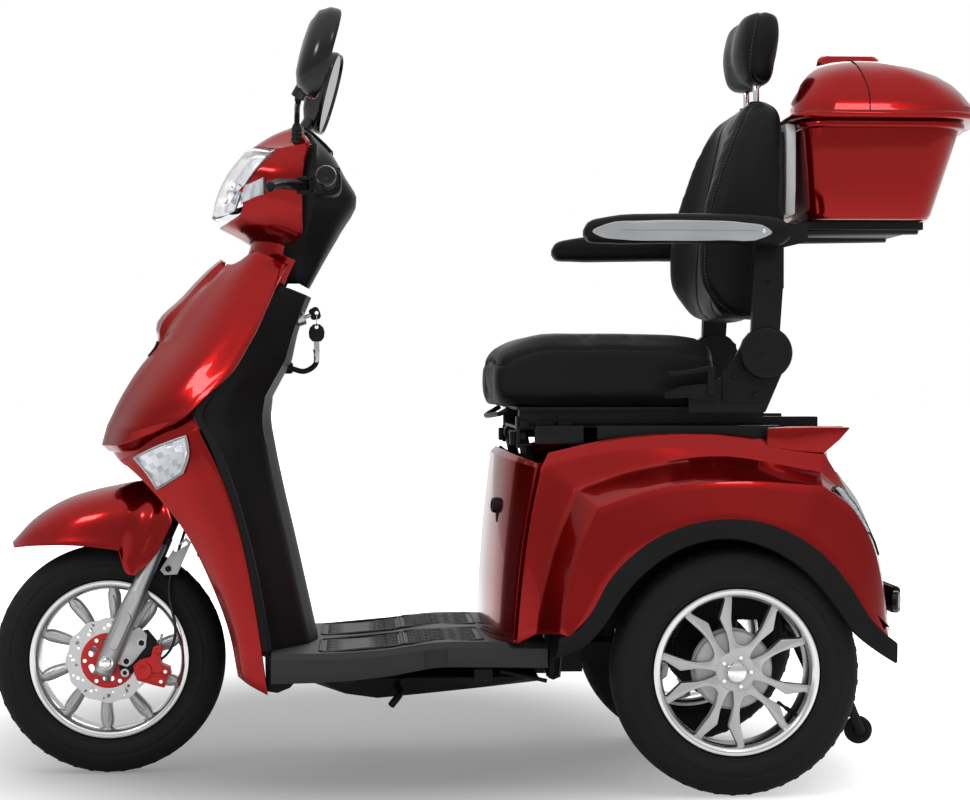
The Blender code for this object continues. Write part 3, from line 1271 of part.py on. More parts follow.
def build_backrest():
    """Sections run upwards; each gives Z, the back face, half width, middle and bolster fronts."""
    sections = (
        (0.822, 0.480, 0.150, 0.430, 0.436),
        (0.836, 0.500, 0.192, 0.412, 0.412),
        (0.880, 0.512, 0.206, 0.412, 0.380),
        (0.945, 0.514, 0.210, 0.416, 0.374),
        (1.020, 0.515, 0.212, 0.428, 0.384),
        (1.100, 0.516, 0.208, 0.442, 0.408),
        (1.160, 0.517, 0.196, 0.452, 0.430),
        (1.204, 0.514, 0.166, 0.460, 0.452),
        (1.222, 0.500, 0.118, 0.470, 0.472),
    )
    rings = []
    for z, back, half, middle, bolster in sections:
        loop = [
            (middle, 0, z),
            (middle, half * 0.40, z),
            (middle + 0.25 * (bolster - middle), half * 0.60, z),
            (bolster, half * 0.82, z),
            (bolster + 0.012, half * 0.96, z),
            ((bolster + back) / 2, half, z),
            (back - 0.012, half * 0.96, z),
            (back, half * 0.80, z),
            (back, 0, z),
        ]
        loop += [(px, -py, pz) for px, py, pz in reversed(loop[1:-1])]
        rings.append([Vector(p) for p in loop])
    columns = [spline(column, 2) for column in zip(*rings)]
    holes = []
    for side in (-1, 1):
        holes.append(rod((0.490, side * POST_Y, 1.130), (0.490, side * POST_Y, 1.30), POST_RADIUS + RUN_GAP, 12))
    solid("backrest_cushion", "vinyl", [stacked([list(r) for r in zip(*columns)])], holes)

    plate_x = max(row[1] for row in sections) + SEAT_GAP
    parts = [block((plate_x, -0.150, 0.880), (plate_x + 0.005, 0.150, 1.160))]
    parts.append(rod((0.528, -UPRIGHT_Y - 0.004, 0.969), (0.528, UPRIGHT_Y + 0.004, 0.969), 0.010, 8))
    for side in (-1, 1):
        inner, outer = side * UPRIGHT_Y, side * (UPRIGHT_Y + 0.016)
        near, far = sorted((inner, outer))
        ring = [(0, 0.008 + RUN_GAP), (0, 0.045), (0.012, 0.045), (0.016, 0.036), (0.016, 0.008 + RUN_GAP)]
        parts.append(turned(ring, (RECLINE_X, inner, RECLINE_Z), SIDE * side, 18, True))
        shape = [(RECLINE_X - 0.026, RECLINE_Z + 0.020), (RECLINE_X + 0.020, RECLINE_Z + 0.020)]
        shape += [(0.490, 0.900), (0.498, 0.946), (0.540, 0.956), (0.540, 0.984), (0.492, 0.990)]
        shape += [(0.474, 0.998), (0.450, 0.990), (0.442, 0.968), (0.446, 0.900)]
        parts.append(prism(shape, near, far))
        parts.append(rod((ARM_PIVOT_X, inner, ARM_PIVOT_Z), (ARM_PIVOT_X, side * (ARM_Y + 0.030), ARM_PIVOT_Z), 0.008, 14))
        y = side * 0.120
        rack = [(0.522, y, 0.970), (0.560, y, 0.984), (0.660, y, 0.986), (0.772, y, 0.988)]
        parts.append(swept(spline(rack, 1), 0.009, 8))
    parts.append(block((0.560, -0.150, 0.986), (0.775, 0.150, BOX_FLOOR_Z - SEAT_GAP)))
    solid("backrest_frame", "black_steel", parts)


def build_armrests():
    """Sections run from the tip back: X, underside, top and share of the full width."""
    sections = (
        (0.150, 0.962, 0.972, 0.45),
        (0.158, 0.954, 0.986, 0.78),
        (0.190, 0.950, 0.996, 1.0),
        (0.280, 0.950, 1.001, 1.0),
        (0.380, 0.951, 1.001, 1.0),
        (0.452, 0.948, 0.998, 0.96),
        (0.486, 0.948, 0.992, 0.90),
        (0.500, 0.958, 0.980, 0.70),
    )
    for word, side in SIDES:
        middle = side * (ARM_Y + ARM_WIDTH / 2)
        rings = []
        for x, low, high, share in sections:
            half = ARM_WIDTH / 2 * share
            loop = []
            for i in range(12):
                a = 2 * math.pi * i / 12
                across = math.copysign(abs(math.cos(a)) ** 0.6, math.cos(a))
                up = math.copysign(abs(math.sin(a)) ** 0.6, math.sin(a))
                loop.append(Vector((x, middle + half * across, (low + high) / 2 + (high - low) / 2 * up)))
            rings.append(loop)
        bore = rod((ARM_PIVOT_X, 0, ARM_PIVOT_Z), (ARM_PIVOT_X, side * (ARM_Y + 0.031), ARM_PIVOT_Z), 0.008 + RUN_GAP, 14)
        solid("armrest_" + word, "black_plastic", [stacked(rings)], [bore])


def build_headrest():
    sections = (
        (1.254, 0.480, 0.512, 0.085),
        (1.262, 0.466, 0.524, 0.108),
        (1.300, 0.457, 0.533, 0.124),
        (1.345, 0.459, 0.533, 0.126),
        (1.378, 0.468, 0.524, 0.112),
        (1.390, 0.482, 0.508, 0.084),
    )
    rings = []
    for z, front, back, half in sections:
        loop = [
            (front + 0.006, 0, z),
            (front, half * 0.6, z),
            (front + 0.014, half * 0.94, z),
            ((front + back) / 2, half, z),
            (back - 0.012, half * 0.94, z),
            (back, half * 0.6, z),
            (back, 0, z),
        ]
        loop += [(px, -py, pz) for px, py, pz in reversed(loop[1:-1])]
        rings.append([Vector(p) for p in loop])
    columns = [spline(column, 2) for column in zip(*rings)]
    parts = [stacked([list(r) for r in zip(*columns)])]
    for side in (-1, 1):
        parts.append(rod((0.490, side * POST_Y, 1.150), (0.490, side * POST_Y, 1.290), POST_RADIUS, 12))
    solid("headrest", "vinyl", parts)


def build_top_box():
    wall = 0.004
    outer = [
        rounded((0.572, 0.770), 0.180, 0.030, BOX_FLOOR_Z, 0.020),
        rounded((0.562, 0.780), 0.190, 0.040, BOX_FLOOR_Z + 0.012, 0.022),
        rounded((0.549, 0.828), 0.206, 0.050, BOX_RIM_Z, 0.034),
    ]
    inner = [
        rounded((0.549 + wall, 0.828 - wall), 0.206 - wall, 0.047, BOX_RIM_Z, 0.034),
        rounded((0.566, 0.776), 0.186, 0.037, BOX_FLOOR_Z + 0.014, 0.022),
        rounded((0.578, 0.766), 0.174, 0.027, BOX_FLOOR_Z + wall, 0.020),
    ]
    solid("top_box", "red_paint", [stacked(outer + inner)])
    rim = BOX_RIM_Z + SEAT_GAP
    shell = [
        rounded((0.533, 0.852), 0.223, 0.060, rim, LID_BOW),
        rounded((0.530, 0.856), 0.226, 0.062, rim + 0.010, LID_BOW),
        rounded((0.538, 0.846), 0.218, 0.064, rim + 0.024, 0.040),
        rounded((0.547, 0.830), 0.208, 0.066, rim + 0.050, 0.034),
        rounded((0.564, 0.794), 0.188, 0.070, rim + 0.084, 0.026),
        rounded((0.596, 0.742), 0.146, 0.066, rim + 0.110, 0.014),
        rounded((0.644, 0.690), 0.060, 0.018, rim + 0.119, 0.0),
    ]
    hollow = [
        rounded((0.646, 0.688), 0.056, 0.016, rim + 0.114, 0.0),
        rounded((0.600, 0.738), 0.142, 0.062, rim + 0.105, 0.014),
        rounded((0.569, 0.790), 0.184, 0.066, rim + 0.080, 0.026),
        rounded((0.552, 0.825), 0.203, 0.062, rim + 0.048, 0.034),
        rounded((0.556, 0.820), 0.202, 0.050, rim + 0.022, 0.034),
        rounded((0.556, 0.820), 0.202, 0.050, rim, 0.034),
    ]
    handle = stacked(
        [
            rounded((0.592, 0.702), 0.060, 0.018, rim + 0.108),
            rounded((0.596, 0.698), 0.058, 0.018, rim + 0.124),
            rounded((0.602, 0.692), 0.052, 0.018, rim + 0.127),
        ]
    )
    lid = solid("box_lid", "red_paint", [stacked(shell + hollow)])
    combine(lid, [handle], "UNION")
    combine(lid, [stacked(hollow)], "DIFFERENCE")


def assemble(bodies):
    """Hangs each body's pieces on an empty that stands on its joint."""
    empties = {}
    for body, parent, pivot, nodes in bodies:
        empty = bpy.data.objects.new(body + "_joint", None)
        empty.empty_display_size = 0.05
        bpy.context.scene.collection.objects.link(empty)
        pivot = Vector(pivot)
        empties[body] = (empty, pivot)
        if parent:
            carrier, at = empties[parent]
            empty.parent = carrier
            empty.location = pivot - at
        else:
            empty.location = pivot
        for node in nodes.split():
            obj = made[node]
            obj.data.transform(Matrix.Translation(-pivot))
            obj.parent = empty


def main():
    for obj in list(bpy.data.objects):
        bpy.data.objects.remove(obj)
    disc_y = build_front_wheel()
    for word, side in SIDES:
        build_rear_wheel(word, side)
    build_fork(disc_y)
    build_fender()
    lever = build_handlebar()
    build_head_cowl()
    build_steering_stem()
    build_mirrors()
    build_front_body()
    key_hole = build_keys()
    build_bag_hook()
    build_floor()
    build_rear_body()
    build_bumper()
    build_swing_arm()
    build_shocks()
    build_anti_tip()
    build_frame(build_battery())
    pan_top, recline_lever = build_seat()
    build_seat_cushion(pan_top)
    build_backrest()
    build_armrests()
    build_headrest()
    build_top_box()
    lock_at = lock_place()[0]
    arm = (ARM_PIVOT_X, 0, ARM_PIVOT_Z)
    track = SIDE * (REAR_TRACK / 2)
    anti_tip = Vector((ANTI_TIP_X, 0, ANTI_TIP_Z))
    bodies = (
        (
            "chassis",
            "",
            (0, 0, 0),
            "main_frame front_cowl leg_shield side_panel_left side_panel_right indicator_left indicator_right "
            "floor_board battery_cover fairing_left fairing_right tail_panel arch_trim_left arch_trim_right "
            "tail_lamp_left tail_lamp_right rear_bumper battery_pack bag_hook shock_left shock_right",
        ),
        ("ignition_key", "chassis", lock_at, "ignition_key"),
        ("spare_key", "ignition_key", key_hole, "spare_key"),
        (
            "steering",
            "chassis",
            HEAD,
            "steering_stem handlebar head_cowl headlight dash_cover grip_left mirror_arm_left mirror_arm_right",
        ),
        ("throttle", "steering", BAR, "throttle_grip"),
        ("brake_lever_left", "steering", lever - SIDE * LEVER_PIVOT_Y, "brake_lever_left"),
        ("brake_lever_right", "steering", lever + SIDE * LEVER_PIVOT_Y, "brake_lever_right"),
        ("mirror_left", "steering", mirror_frame(-1)[0], "mirror_left"),
        ("mirror_right", "steering", mirror_frame(1)[0], "mirror_right"),
        ("fork", "steering", FRONT_AXLE, "fork_legs front_fender brake_caliper"),
        ("front_wheel", "fork", FRONT_AXLE, "front_tyre front_rim brake_disc"),
        ("rear_axle", "chassis", (SWING_PIVOT_X, 0, SWING_PIVOT_Z), "swing_arm"),
        ("rear_wheel_left", "rear_axle", REAR_AXLE - track, "rear_tyre_left rear_rim_left"),
        ("rear_wheel_right", "rear_axle", REAR_AXLE + track, "rear_tyre_right rear_rim_right"),
        ("anti_tip_left", "chassis", anti_tip - SIDE * ANTI_TIP_Y, "anti_tip_wheel_left"),
        ("anti_tip_right", "chassis", anti_tip + SIDE * ANTI_TIP_Y, "anti_tip_wheel_right"),
        ("seat_base", "chassis", (SEAT_HINGE_X, 0, SEAT_HINGE_Z), "seat_base"),
        ("seat", "seat_base", (SEAT_HINGE_X, 0, SEAT_HINGE_Z), "seat_slider seat_cushion"),
        ("recline_lever", "seat", recline_lever - SIDE * BRACKET_Y, "recline_lever"),
        ("backrest", "seat", (RECLINE_X, 0, RECLINE_Z), "backrest_frame backrest_cushion top_box"),
        ("armrest_left", "backrest", arm, "armrest_left"),
        ("armrest_right", "backrest", arm, "armrest_right"),
        ("headrest", "backrest", (0.490, 0, 1.150), "headrest"),
        ("box_lid", "backrest", (LID_HINGE_X, 0, LID_HINGE_Z), "box_lid"),
    )
    assemble(bodies)


main()
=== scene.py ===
"""Looks of the three-wheeled mobility scooter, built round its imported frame.

Metres, +Z up. The scooter faces -X and the rider's left is -Y.
"""

from math import copysign, cos, exp, pi, radians, sin, tan

import bmesh
import bpy
from mathutils import Matrix, Vector
from mathutils.bvhtree import BVHTree
from mathutils.kdtree import KDTree


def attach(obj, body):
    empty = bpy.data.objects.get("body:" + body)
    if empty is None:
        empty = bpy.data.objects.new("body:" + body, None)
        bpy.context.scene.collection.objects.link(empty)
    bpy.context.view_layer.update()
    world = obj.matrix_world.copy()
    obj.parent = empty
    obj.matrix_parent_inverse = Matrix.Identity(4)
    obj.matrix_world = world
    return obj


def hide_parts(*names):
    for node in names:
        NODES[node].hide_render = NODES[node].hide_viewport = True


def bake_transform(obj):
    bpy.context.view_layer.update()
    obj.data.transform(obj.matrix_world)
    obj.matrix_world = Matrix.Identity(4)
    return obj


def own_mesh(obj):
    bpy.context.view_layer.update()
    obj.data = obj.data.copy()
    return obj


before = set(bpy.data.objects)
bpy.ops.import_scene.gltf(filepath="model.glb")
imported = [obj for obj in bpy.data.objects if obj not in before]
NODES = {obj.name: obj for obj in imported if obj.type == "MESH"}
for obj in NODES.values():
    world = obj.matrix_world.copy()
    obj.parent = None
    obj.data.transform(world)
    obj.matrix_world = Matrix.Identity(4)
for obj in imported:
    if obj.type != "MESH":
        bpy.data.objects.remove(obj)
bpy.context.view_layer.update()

SIDE = Vector((0, 1, 0))
RAKE = radians(23.5)
STEER_UP = Vector((sin(RAKE), 0, cos(RAKE)))
STEER_BACK = Vector((cos(RAKE), 0, -sin(RAKE)))
HEAD = Vector((-0.4045, 0, 0.865))
FRONT_AXLE = Vector((-0.69, 0, 0.2085))
REAR_AXLE = Vector((0.408, 0, 0.215))
REAR_WHEEL_Y = 0.285
BAR = HEAD + STEER_UP * 0.224 + STEER_BACK * 0.024
RIM_RADIUS = 0.144
PANEL_WALL = 0.0035
SIDES = (("left", -1), ("right", 1))


def linked(name, bm):
    """A linked object holding a bmesh, its faces turned outwards."""
    bmesh.ops.remove_doubles(bm, verts=bm.verts, dist=1e-6)
    bmesh.ops.recalc_face_normals(bm, faces=bm.faces)
    mesh = bpy.data.meshes.new(name)
    bm.to_mesh(mesh)
    bm.free()
    obj = bpy.data.objects.new(name, mesh)
    bpy.context.scene.collection.objects.link(obj)
    return obj


def settle(obj):
    """Puts an object's modifiers into its mesh."""
    graph = bpy.context.evaluated_depsgraph_get()
    mesh = bpy.data.meshes.new_from_object(obj.evaluated_get(graph))
    obj.modifiers.clear()
    old = obj.data
    obj.data = mesh
    bpy.data.meshes.remove(old)
    return obj


def eased(obj, width, segments=2, angle=40):
    """Rounds the object's sharp edges."""
    step = obj.modifiers.new("eased_edges", "BEVEL")
    step.width = width
    step.segments = segments
    step.limit_method = "ANGLE"
    step.angle_limit = radians(angle)
    step.use_clamp_overlap = True
    return settle(obj)


def softened(obj, levels=1):
    """Subdivides the object smoothly."""
    step = obj.modifiers.new("smooth", "SUBSURF")
    step.levels = levels
    step.render_levels = levels
    return settle(obj)


def cut(obj, others):
    """Cuts bodies away from the object."""
    for bm in others:
        tool = linked(obj.name + "_cutter", bm)
        step = obj.modifiers.new("cut", "BOOLEAN")
        step.operation = "DIFFERENCE"
        step.solver = "EXACT"
        step.object = tool
        settle(obj)
        bpy.data.objects.remove(tool)
    return obj


def mount(obj, body, material, node=None, shade=35):
    """Gives a finished object its material, its smooth shading and the body that it rides on."""
    mesh = obj.data
    if material:
        mesh.materials.clear()
        mesh.materials.append(material)
    for face in mesh.polygons:
        face.use_smooth = True
    mesh.set_sharp_from_angle(angle=radians(shade))
    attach(obj, body)
    if node:
        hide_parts(node)
    return obj


def joined(meshes):
    """Several bodies as one mesh."""
    whole = bmesh.new()
    for bm in meshes:
        spare = bpy.data.meshes.new("spare")
        bmesh.ops.recalc_face_normals(bm, faces=bm.faces)
        bm.to_mesh(spare)
        bm.free()
        whole.from_mesh(spare)
        bpy.data.meshes.remove(spare)
    return whole


def part(name, meshes, body, material, node=None, bevel=0, shade=35, segments=2):
    """One piece from bodies, with eased edges."""
    obj = linked(name, joined(meshes) if isinstance(meshes, (list, tuple)) else meshes)
    if bevel:
        eased(obj, bevel, segments)
    return mount(obj, body, material, node, shade)


def rod(start, end, radius, sides=24):
    """A round bar between two points."""
    start, end = Vector(start), Vector(end)
    run = end - start
    turn = run.to_track_quat("Z", "Y").to_matrix().to_4x4()
    bm = bmesh.new()
    bmesh.ops.create_cone(
        bm,
        cap_ends=True,
        segments=sides,
        radius1=radius,
        radius2=radius,
        depth=run.length,
        matrix=Matrix.Translation((start + end) / 2) @ turn,
    )
    return bm


def block(low, high):
    """A box between two corners."""
    low, high = Vector(low), Vector(high)
    bm = bmesh.new()
    matrix = Matrix.Translation((low + high) / 2) @ Matrix.Diagonal((*(high - low), 1))
    bmesh.ops.create_cube(bm, size=1, matrix=matrix)
    return bm


def turned(profile, base, axis, sides=48, ring=False):
    """A body turned about an axis from (along, radius) points; a ring closes on itself."""
    base, axis = Vector(base), Vector(axis).normalized()
    first = Vector((0, 0, -1)) if abs(axis.z) < 0.9 else Vector((1, 0, 0))
    first = (first - axis * first.dot(axis)).normalized()
    second = axis.cross(first)
    bm = bmesh.new()
    rings = []
    for along, radius in profile:
        middle = base + axis * along
        if radius < 1e-6:
            rings.append([bm.verts.new(middle)])
            continue
        turns = [2 * pi * i / sides for i in range(sides)]
        rings.append(
            [bm.verts.new(middle + (first * cos(a) + second * sin(a)) * radius) for a in turns]
        )
    pairs = list(zip(rings, rings[1:]))
    if ring:
        pairs.append((rings[-1], rings[0]))
    for a, b in pairs:
        for i in range(sides):
            j = (i + 1) % sides
            corners = [a[i % len(a)], a[j % len(a)], b[j % len(b)], b[i % len(b)]]
            bm.faces.new(list(dict.fromkeys(corners)))
    if not ring:
        for end in (rings[0], rings[-1]):
            if len(end) > 1:
                bm.faces.new(end)
    return bm


def swept(points, radius, sides=12):
    """A round bar along a path, with flat ends; the radius may change along it."""
    points = [Vector(p) for p in points]
    radii = radius if isinstance(radius, (list, tuple)) else [radius] * len(points)
    bm = bmesh.new()
    rings = []
    last = None
    for i, point in enumerate(points):
        before, after = points[max(i - 1, 0)], points[min(i + 1, len(points) - 1)]
        run = (after - before).normalized()
        if last is None:
            last = run.orthogonal().normalized()
        last = (last - run * last.dot(run)).normalized()
        across = run.cross(last)
        ring = []
        for k in range(sides):
            a = 2 * pi * k / sides
            ring.append(bm.verts.new(point + (last * cos(a) + across * sin(a)) * radii[i]))
        rings.append(ring)
    for a, b in zip(rings, rings[1:]):
        for k in range(sides):
            bm.faces.new((a[k], a[(k + 1) % sides], b[(k + 1) % sides], b[k]))
    bm.faces.new(rings[0])
    bm.faces.new(rings[-1])
    return bm


def prism(outline, low, high):
    """An outline of (x, z) points drawn out across the scooter."""
    return stacked([[Vector((x, y, z)) for x, z in outline] for y in (low, high)])


def stacked(rings):
    """A closed body from loops of points stacked one on the next."""
    bm = bmesh.new()
    loops = [[bm.verts.new(p) for p in ring] for ring in rings]
    count = len(loops[0])
    for a, b in zip(loops, loops[1:]):
        for i in range(count):
            j = (i + 1) % count
            bm.faces.new((a[i], a[j], b[j], b[i]))
    bm.faces.new(loops[0])
    bm.faces.new(loops[-1])
    return bm


def spline(points, steps, sharp=(), closed=False):
    """Points along a curve through the given ones, with corners kept where asked."""
    points = [Vector(p) for p in points]
    if closed:
        count = len(points)
        ring = spline(points[-2:] + points + points[:3], steps)
        return ring[2 * steps : (count + 2) * steps]
    last = len(points) - 1
    times = [0.0]
    for a, b in zip(points, points[1:]):
        times.append(times[-1] + max((b - a).length, 1e-6))

    def slope(i, ahead):
        if i == 0 or (i in sharp and ahead):
            return (points[i + 1] - points[i]) / (times[i + 1] - times[i])
        if i == last or i in sharp:
            return (points[i] - points[i - 1]) / (times[i] - times[i - 1])
        t0, t1, t2 = times[i - 1], times[i], times[i + 1]
        before = (points[i] - points[i - 1]) / (t1 - t0)
        after = (points[i + 1] - points[i]) / (t2 - t1)
        return (after * (t1 - t0) + before * (t2 - t1)) / (t2 - t0)

    found = [points[0]]
    for i in range(last):
        run = times[i + 1] - times[i]
        m0, m1 = slope(i, True) * run, slope(i + 1, False) * run
        for step in range(1, steps + 1):
            t = step / steps
            a = 2 * t**3 - 3 * t**2 + 1
            b = t**3 - 2 * t**2 + t
            c = -2 * t**3 + 3 * t**2
            d = t**3 - t**2
            found.append(points[i] * a + m0 * b + points[i + 1] * c + m1 * d)
    return found


def refined(rows, down, across, sharp_rows=(), sharp_points=()):
    """A finer grid of points through a coarse one."""
    rows = [spline(row, across, sharp_points) for row in rows]
    columns = [spline(column, down, sharp_rows) for column in zip(*rows)]
    return [list(row) for row in zip(*columns)]


def both_sides(half):
    """A row from the left edge to the right edge, from points listed outwards from the middle."""
    return [(x, -y, z) for x, y, z in reversed(half[1:])] + list(half)


def flipped(rows, side):
    """The same grid of points on the chosen side."""
    return [[Vector((p[0], side * p[1], p[2])) for p in row] for row in rows]


def skin(rows, wall, inside):
    """A moulded skin: a grid of points as its outer face, thickened towards the inside point."""
    bm = bmesh.new()
    verts = [[bm.verts.new(p) for p in row] for row in rows]
    for a, b in zip(verts, verts[1:]):
        for i in range(len(a) - 1):
            bm.faces.new((a[i], a[i + 1], b[i + 1], b[i]))
    bm.normal_update()
    inside = Vector(inside)
    facing = sum((f.calc_center_median() - inside).dot(f.normal) * f.calc_area() for f in bm.faces)
    if facing < 0:
        bmesh.ops.reverse_faces(bm, faces=bm.faces)
        bm.normal_update()
    mesh = bpy.data.meshes.new("skin")
    bm.to_mesh(mesh)
    bm.free()
    obj = bpy.data.objects.new("skin", mesh)
    bpy.context.scene.collection.objects.link(obj)
    thick = obj.modifiers.new("wall", "SOLIDIFY")
    thick.thickness = wall
    thick.offset = -1
    settle(obj)
    bm = bmesh.new()
    bm.from_mesh(obj.data)
    bpy.data.objects.remove(obj)
    return bm


def panel(name, body, material, rows, inside, down=5, across=5, sharp_rows=(), sharp_points=(), **more):
    """A smooth moulded panel in place of the node of the same name."""
    fine = refined(rows, down, across, sharp_rows, sharp_points)
    obj = linked(name + "_shell", skin(fine, more.get("wall", PANEL_WALL), inside))
    cut(obj, more.get("cuts", ()))
    eased(obj, more.get("bevel", 0.0009), 2, more.get("ease", 50))
    return mount(obj, body, material, name, more.get("shade", 30))


def on_fork(rise, across=0.0, back=0.0):
    """A point measured up the steering axis from the front axle."""
    return FRONT_AXLE + STEER_UP * rise + SIDE * across + STEER_BACK * back


def on_head(rise, across=0.0, back=0.0):
    """A point measured up the steering axis from the steering head."""
    return HEAD + STEER_UP * rise + SIDE * across + STEER_BACK * back


def from_axle(axle, shape):
    """An (x, z) outline measured from an axle."""
    return [(axle.x + x, axle.z + z) for x, z in shape]


def span(side, near, far):
    """Two distances outwards as a low and a high Y on the chosen side."""
    return sorted((side * near, side * far))


def wheel_way(angle):
    """The direction at an angle in a wheel's plane."""
    return Vector((cos(angle), 0, sin(angle)))


def squared(angle, power):
    """Across and up for a point on a round that is drawn out towards a square."""
    across, up = cos(angle), sin(angle)
    return copysign(abs(across) ** power, across), copysign(abs(up) ** power, up)


def rounded(x, half_y, radius, z, bow=0.0, corner=8, sides=1):
    """A loop round a rectangle with rounded corners, between two X values, its rear bowed out."""
    loop = []
    spots = (
        (x[1] - radius, half_y - radius, 0),
        (x[0] + radius, half_y - radius, 90),
        (x[0] + radius, radius - half_y, 180),
        (x[1] - radius, radius - half_y, 270),
    )
    for cx, cy, first in spots:
        for i in range(corner + 1):
            a = radians(first + 90 * i / corner)
            loop.append(Vector((cx + radius * cos(a), cy + radius * sin(a), z)))
    for i in range(1, sides * 6 + 1):
        loop.append(Vector((x[1], (radius - half_y) + 2 * (half_y - radius) * i / (sides * 6 + 1), z)))
    for point in loop:
        share = (point.x - x[0]) / (x[1] - x[0])
        point.x += bow * share * (1 - (point.y / half_y) ** 2)
    return loop


def wire(tree, source, output, target, socket):
    """Links one node's output to another's input."""
    tree.links.new(source.outputs[output], target.inputs[socket])


def node(tree, kind, operation=None, **values):
    """A new node with its operation and the inputs that nothing is linked to."""
    made = tree.nodes.new(kind)
    if operation:
        made.operation = operation
    for label, value in values.items():
        made.inputs[label.replace("_", " ")].default_value = value
    return made


def repeating_tree(name, sockets):
    """A geometry tree with its inputs, and the nodes at its two ends."""
    tree = bpy.data.node_groups.new(name, "GeometryNodeTree")
    tree.interface.new_socket("Geometry", in_out="INPUT", socket_type="NodeSocketGeometry")
    for label, kind in sockets:
        tree.interface.new_socket(label, in_out="INPUT", socket_type="NodeSocket" + kind)
    tree.interface.new_socket("Geometry", in_out="OUTPUT", socket_type="NodeSocketGeometry")
    return tree, tree.nodes.new("NodeGroupInput"), tree.nodes.new("NodeGroupOutput")


def close_tree(tree, start, end, instances):
    """Ends a tree with real geometry in the chosen material."""
    real = tree.nodes.new("GeometryNodeRealizeInstances")
    dress = tree.nodes.new("GeometryNodeSetMaterial")
    wire(tree, instances, "Instances", real, "Geometry")
    wire(tree, real, "Geometry", dress, "Geometry")
    wire(tree, start, "Material", dress, "Material")
    wire(tree, dress, "Geometry", end, "Geometry")


def ring_tree():
    """Repeats a shape round an axis."""
    sockets = (
        ("Count", "Int"), ("Centre", "Vector"), ("Axis", "Vector"), ("Sweep", "Float"),
        ("Material", "Material"),
    )
    tree, start, end = repeating_tree("repeat_round_axis", sockets)
    spots = tree.nodes.new("GeometryNodePoints")
    wire(tree, start, "Count", spots, "Count")
    wire(tree, start, "Centre", spots, "Position")
    back = node(tree, "ShaderNodeVectorMath", "SCALE", Scale=-1)
    wire(tree, start, "Centre", back, 0)
    home = tree.nodes.new("GeometryNodeTransform")
    wire(tree, start, "Geometry", home, "Geometry")
    wire(tree, back, "Vector", home, "Translation")
    index = tree.nodes.new("GeometryNodeInputIndex")
    share = node(tree, "ShaderNodeMath", "DIVIDE")
    wire(tree, start, "Sweep", share, 0)
    wire(tree, start, "Count", share, 1)
    angle = node(tree, "ShaderNodeMath", "MULTIPLY")
    wire(tree, index, "Index", angle, 0)
    wire(tree, share, "Value", angle, 1)
    turn = tree.nodes.new("FunctionNodeAxisAngleToRotation")
    wire(tree, start, "Axis", turn, "Axis")
    wire(tree, angle, "Value", turn, "Angle")
    copies = tree.nodes.new("GeometryNodeInstanceOnPoints")
    wire(tree, spots, "Points", copies, "Points")
    wire(tree, home, "Geometry", copies, "Instance")
    wire(tree, turn, "Rotation", copies, "Rotation")
    close_tree(tree, start, end, copies)
    return tree


def path_tree():
    """Repeats a shape along a path, turned to follow it."""
    sockets = (("Count", "Int"), ("Path", "Object"), ("Material", "Material"))
    tree, start, end = repeating_tree("repeat_along_path", sockets)
    info = tree.nodes.new("GeometryNodeObjectInfo")
    wire(tree, start, "Path", info, "Object")
    spots = tree.nodes.new("GeometryNodeCurveToPoints")
    spots.mode = "COUNT"
    wire(tree, info, "Geometry", spots, "Curve")
    wire(tree, start, "Count", spots, "Count")
    copies = tree.nodes.new("GeometryNodeInstanceOnPoints")
    wire(tree, spots, "Points", copies, "Points")
    wire(tree, start, "Geometry", copies, "Instance")
    wire(tree, spots, "Rotation", copies, "Rotation")
    close_tree(tree, start, end, copies)
    return tree


def grid_tree():
    """Repeats a shape over a flat grid."""
    sockets = (
        ("Across", "Int"), ("Along", "Int"), ("Width", "Float"), ("Length", "Float"),
        ("Material", "Material"),
    )
    tree, start, end = repeating_tree("repeat_over_grid", sockets)
    grid = tree.nodes.new("GeometryNodeMeshGrid")
    wire(tree, start, "Length", grid, "Size X")
    wire(tree, start, "Width", grid, "Size Y")
    wire(tree, start, "Along", grid, "Vertices X")
    wire(tree, start, "Across", grid, "Vertices Y")
    copies = tree.nodes.new("GeometryNodeInstanceOnPoints")
    wire(tree, grid, "Mesh", copies, "Points")
    wire(tree, start, "Geometry", copies, "Instance")
    close_tree(tree, start, end, copies)
    return tree


TREES = {"ring": ring_tree(), "path": path_tree(), "grid": grid_tree()}


def repeated(name, unit, kind, material, **values):
    """A shape repeated by one of the trees, as a plain mesh object."""
    obj = linked(name, unit)
    step = obj.modifiers.new("repeat", "NODES")
    step.node_group = TREES[kind]
    values["Material"] = material
    for item in TREES[kind].interface.items_tree:
        if item.in_out == "INPUT" and item.name in values:
            step[item.identifier] = values[item.name]
    obj.update_tag()
    settle(obj)
    obj.data.materials.clear()
    obj.data.materials.append(material)
    return obj


def round_axis(name, unit, count, centre, axis, material, sweep=2 * pi):
    """A shape repeated round an axis."""
    more = {"Count": count, "Centre": tuple(centre), "Axis": tuple(axis), "Sweep": sweep}
    return repeated(name, unit, "ring", material, **more)


def along_path(name, unit, count, points, material):
    """A small shape repeated along a path of points."""
    curve = bpy.data.curves.new(name + "_path", "CURVE")
    curve.dimensions = "3D"
    line = curve.splines.new("POLY")
    line.points.add(len(points) - 1)
    for spot, point in zip(line.points, points):
        spot.co = (*point, 1)
    guide = bpy.data.objects.new(name + "_path", curve)
    bpy.context.scene.collection.objects.link(guide)
    obj = repeated(name, unit, "path", material, Count=count, Path=guide)
    bpy.data.objects.remove(guide)
    return obj


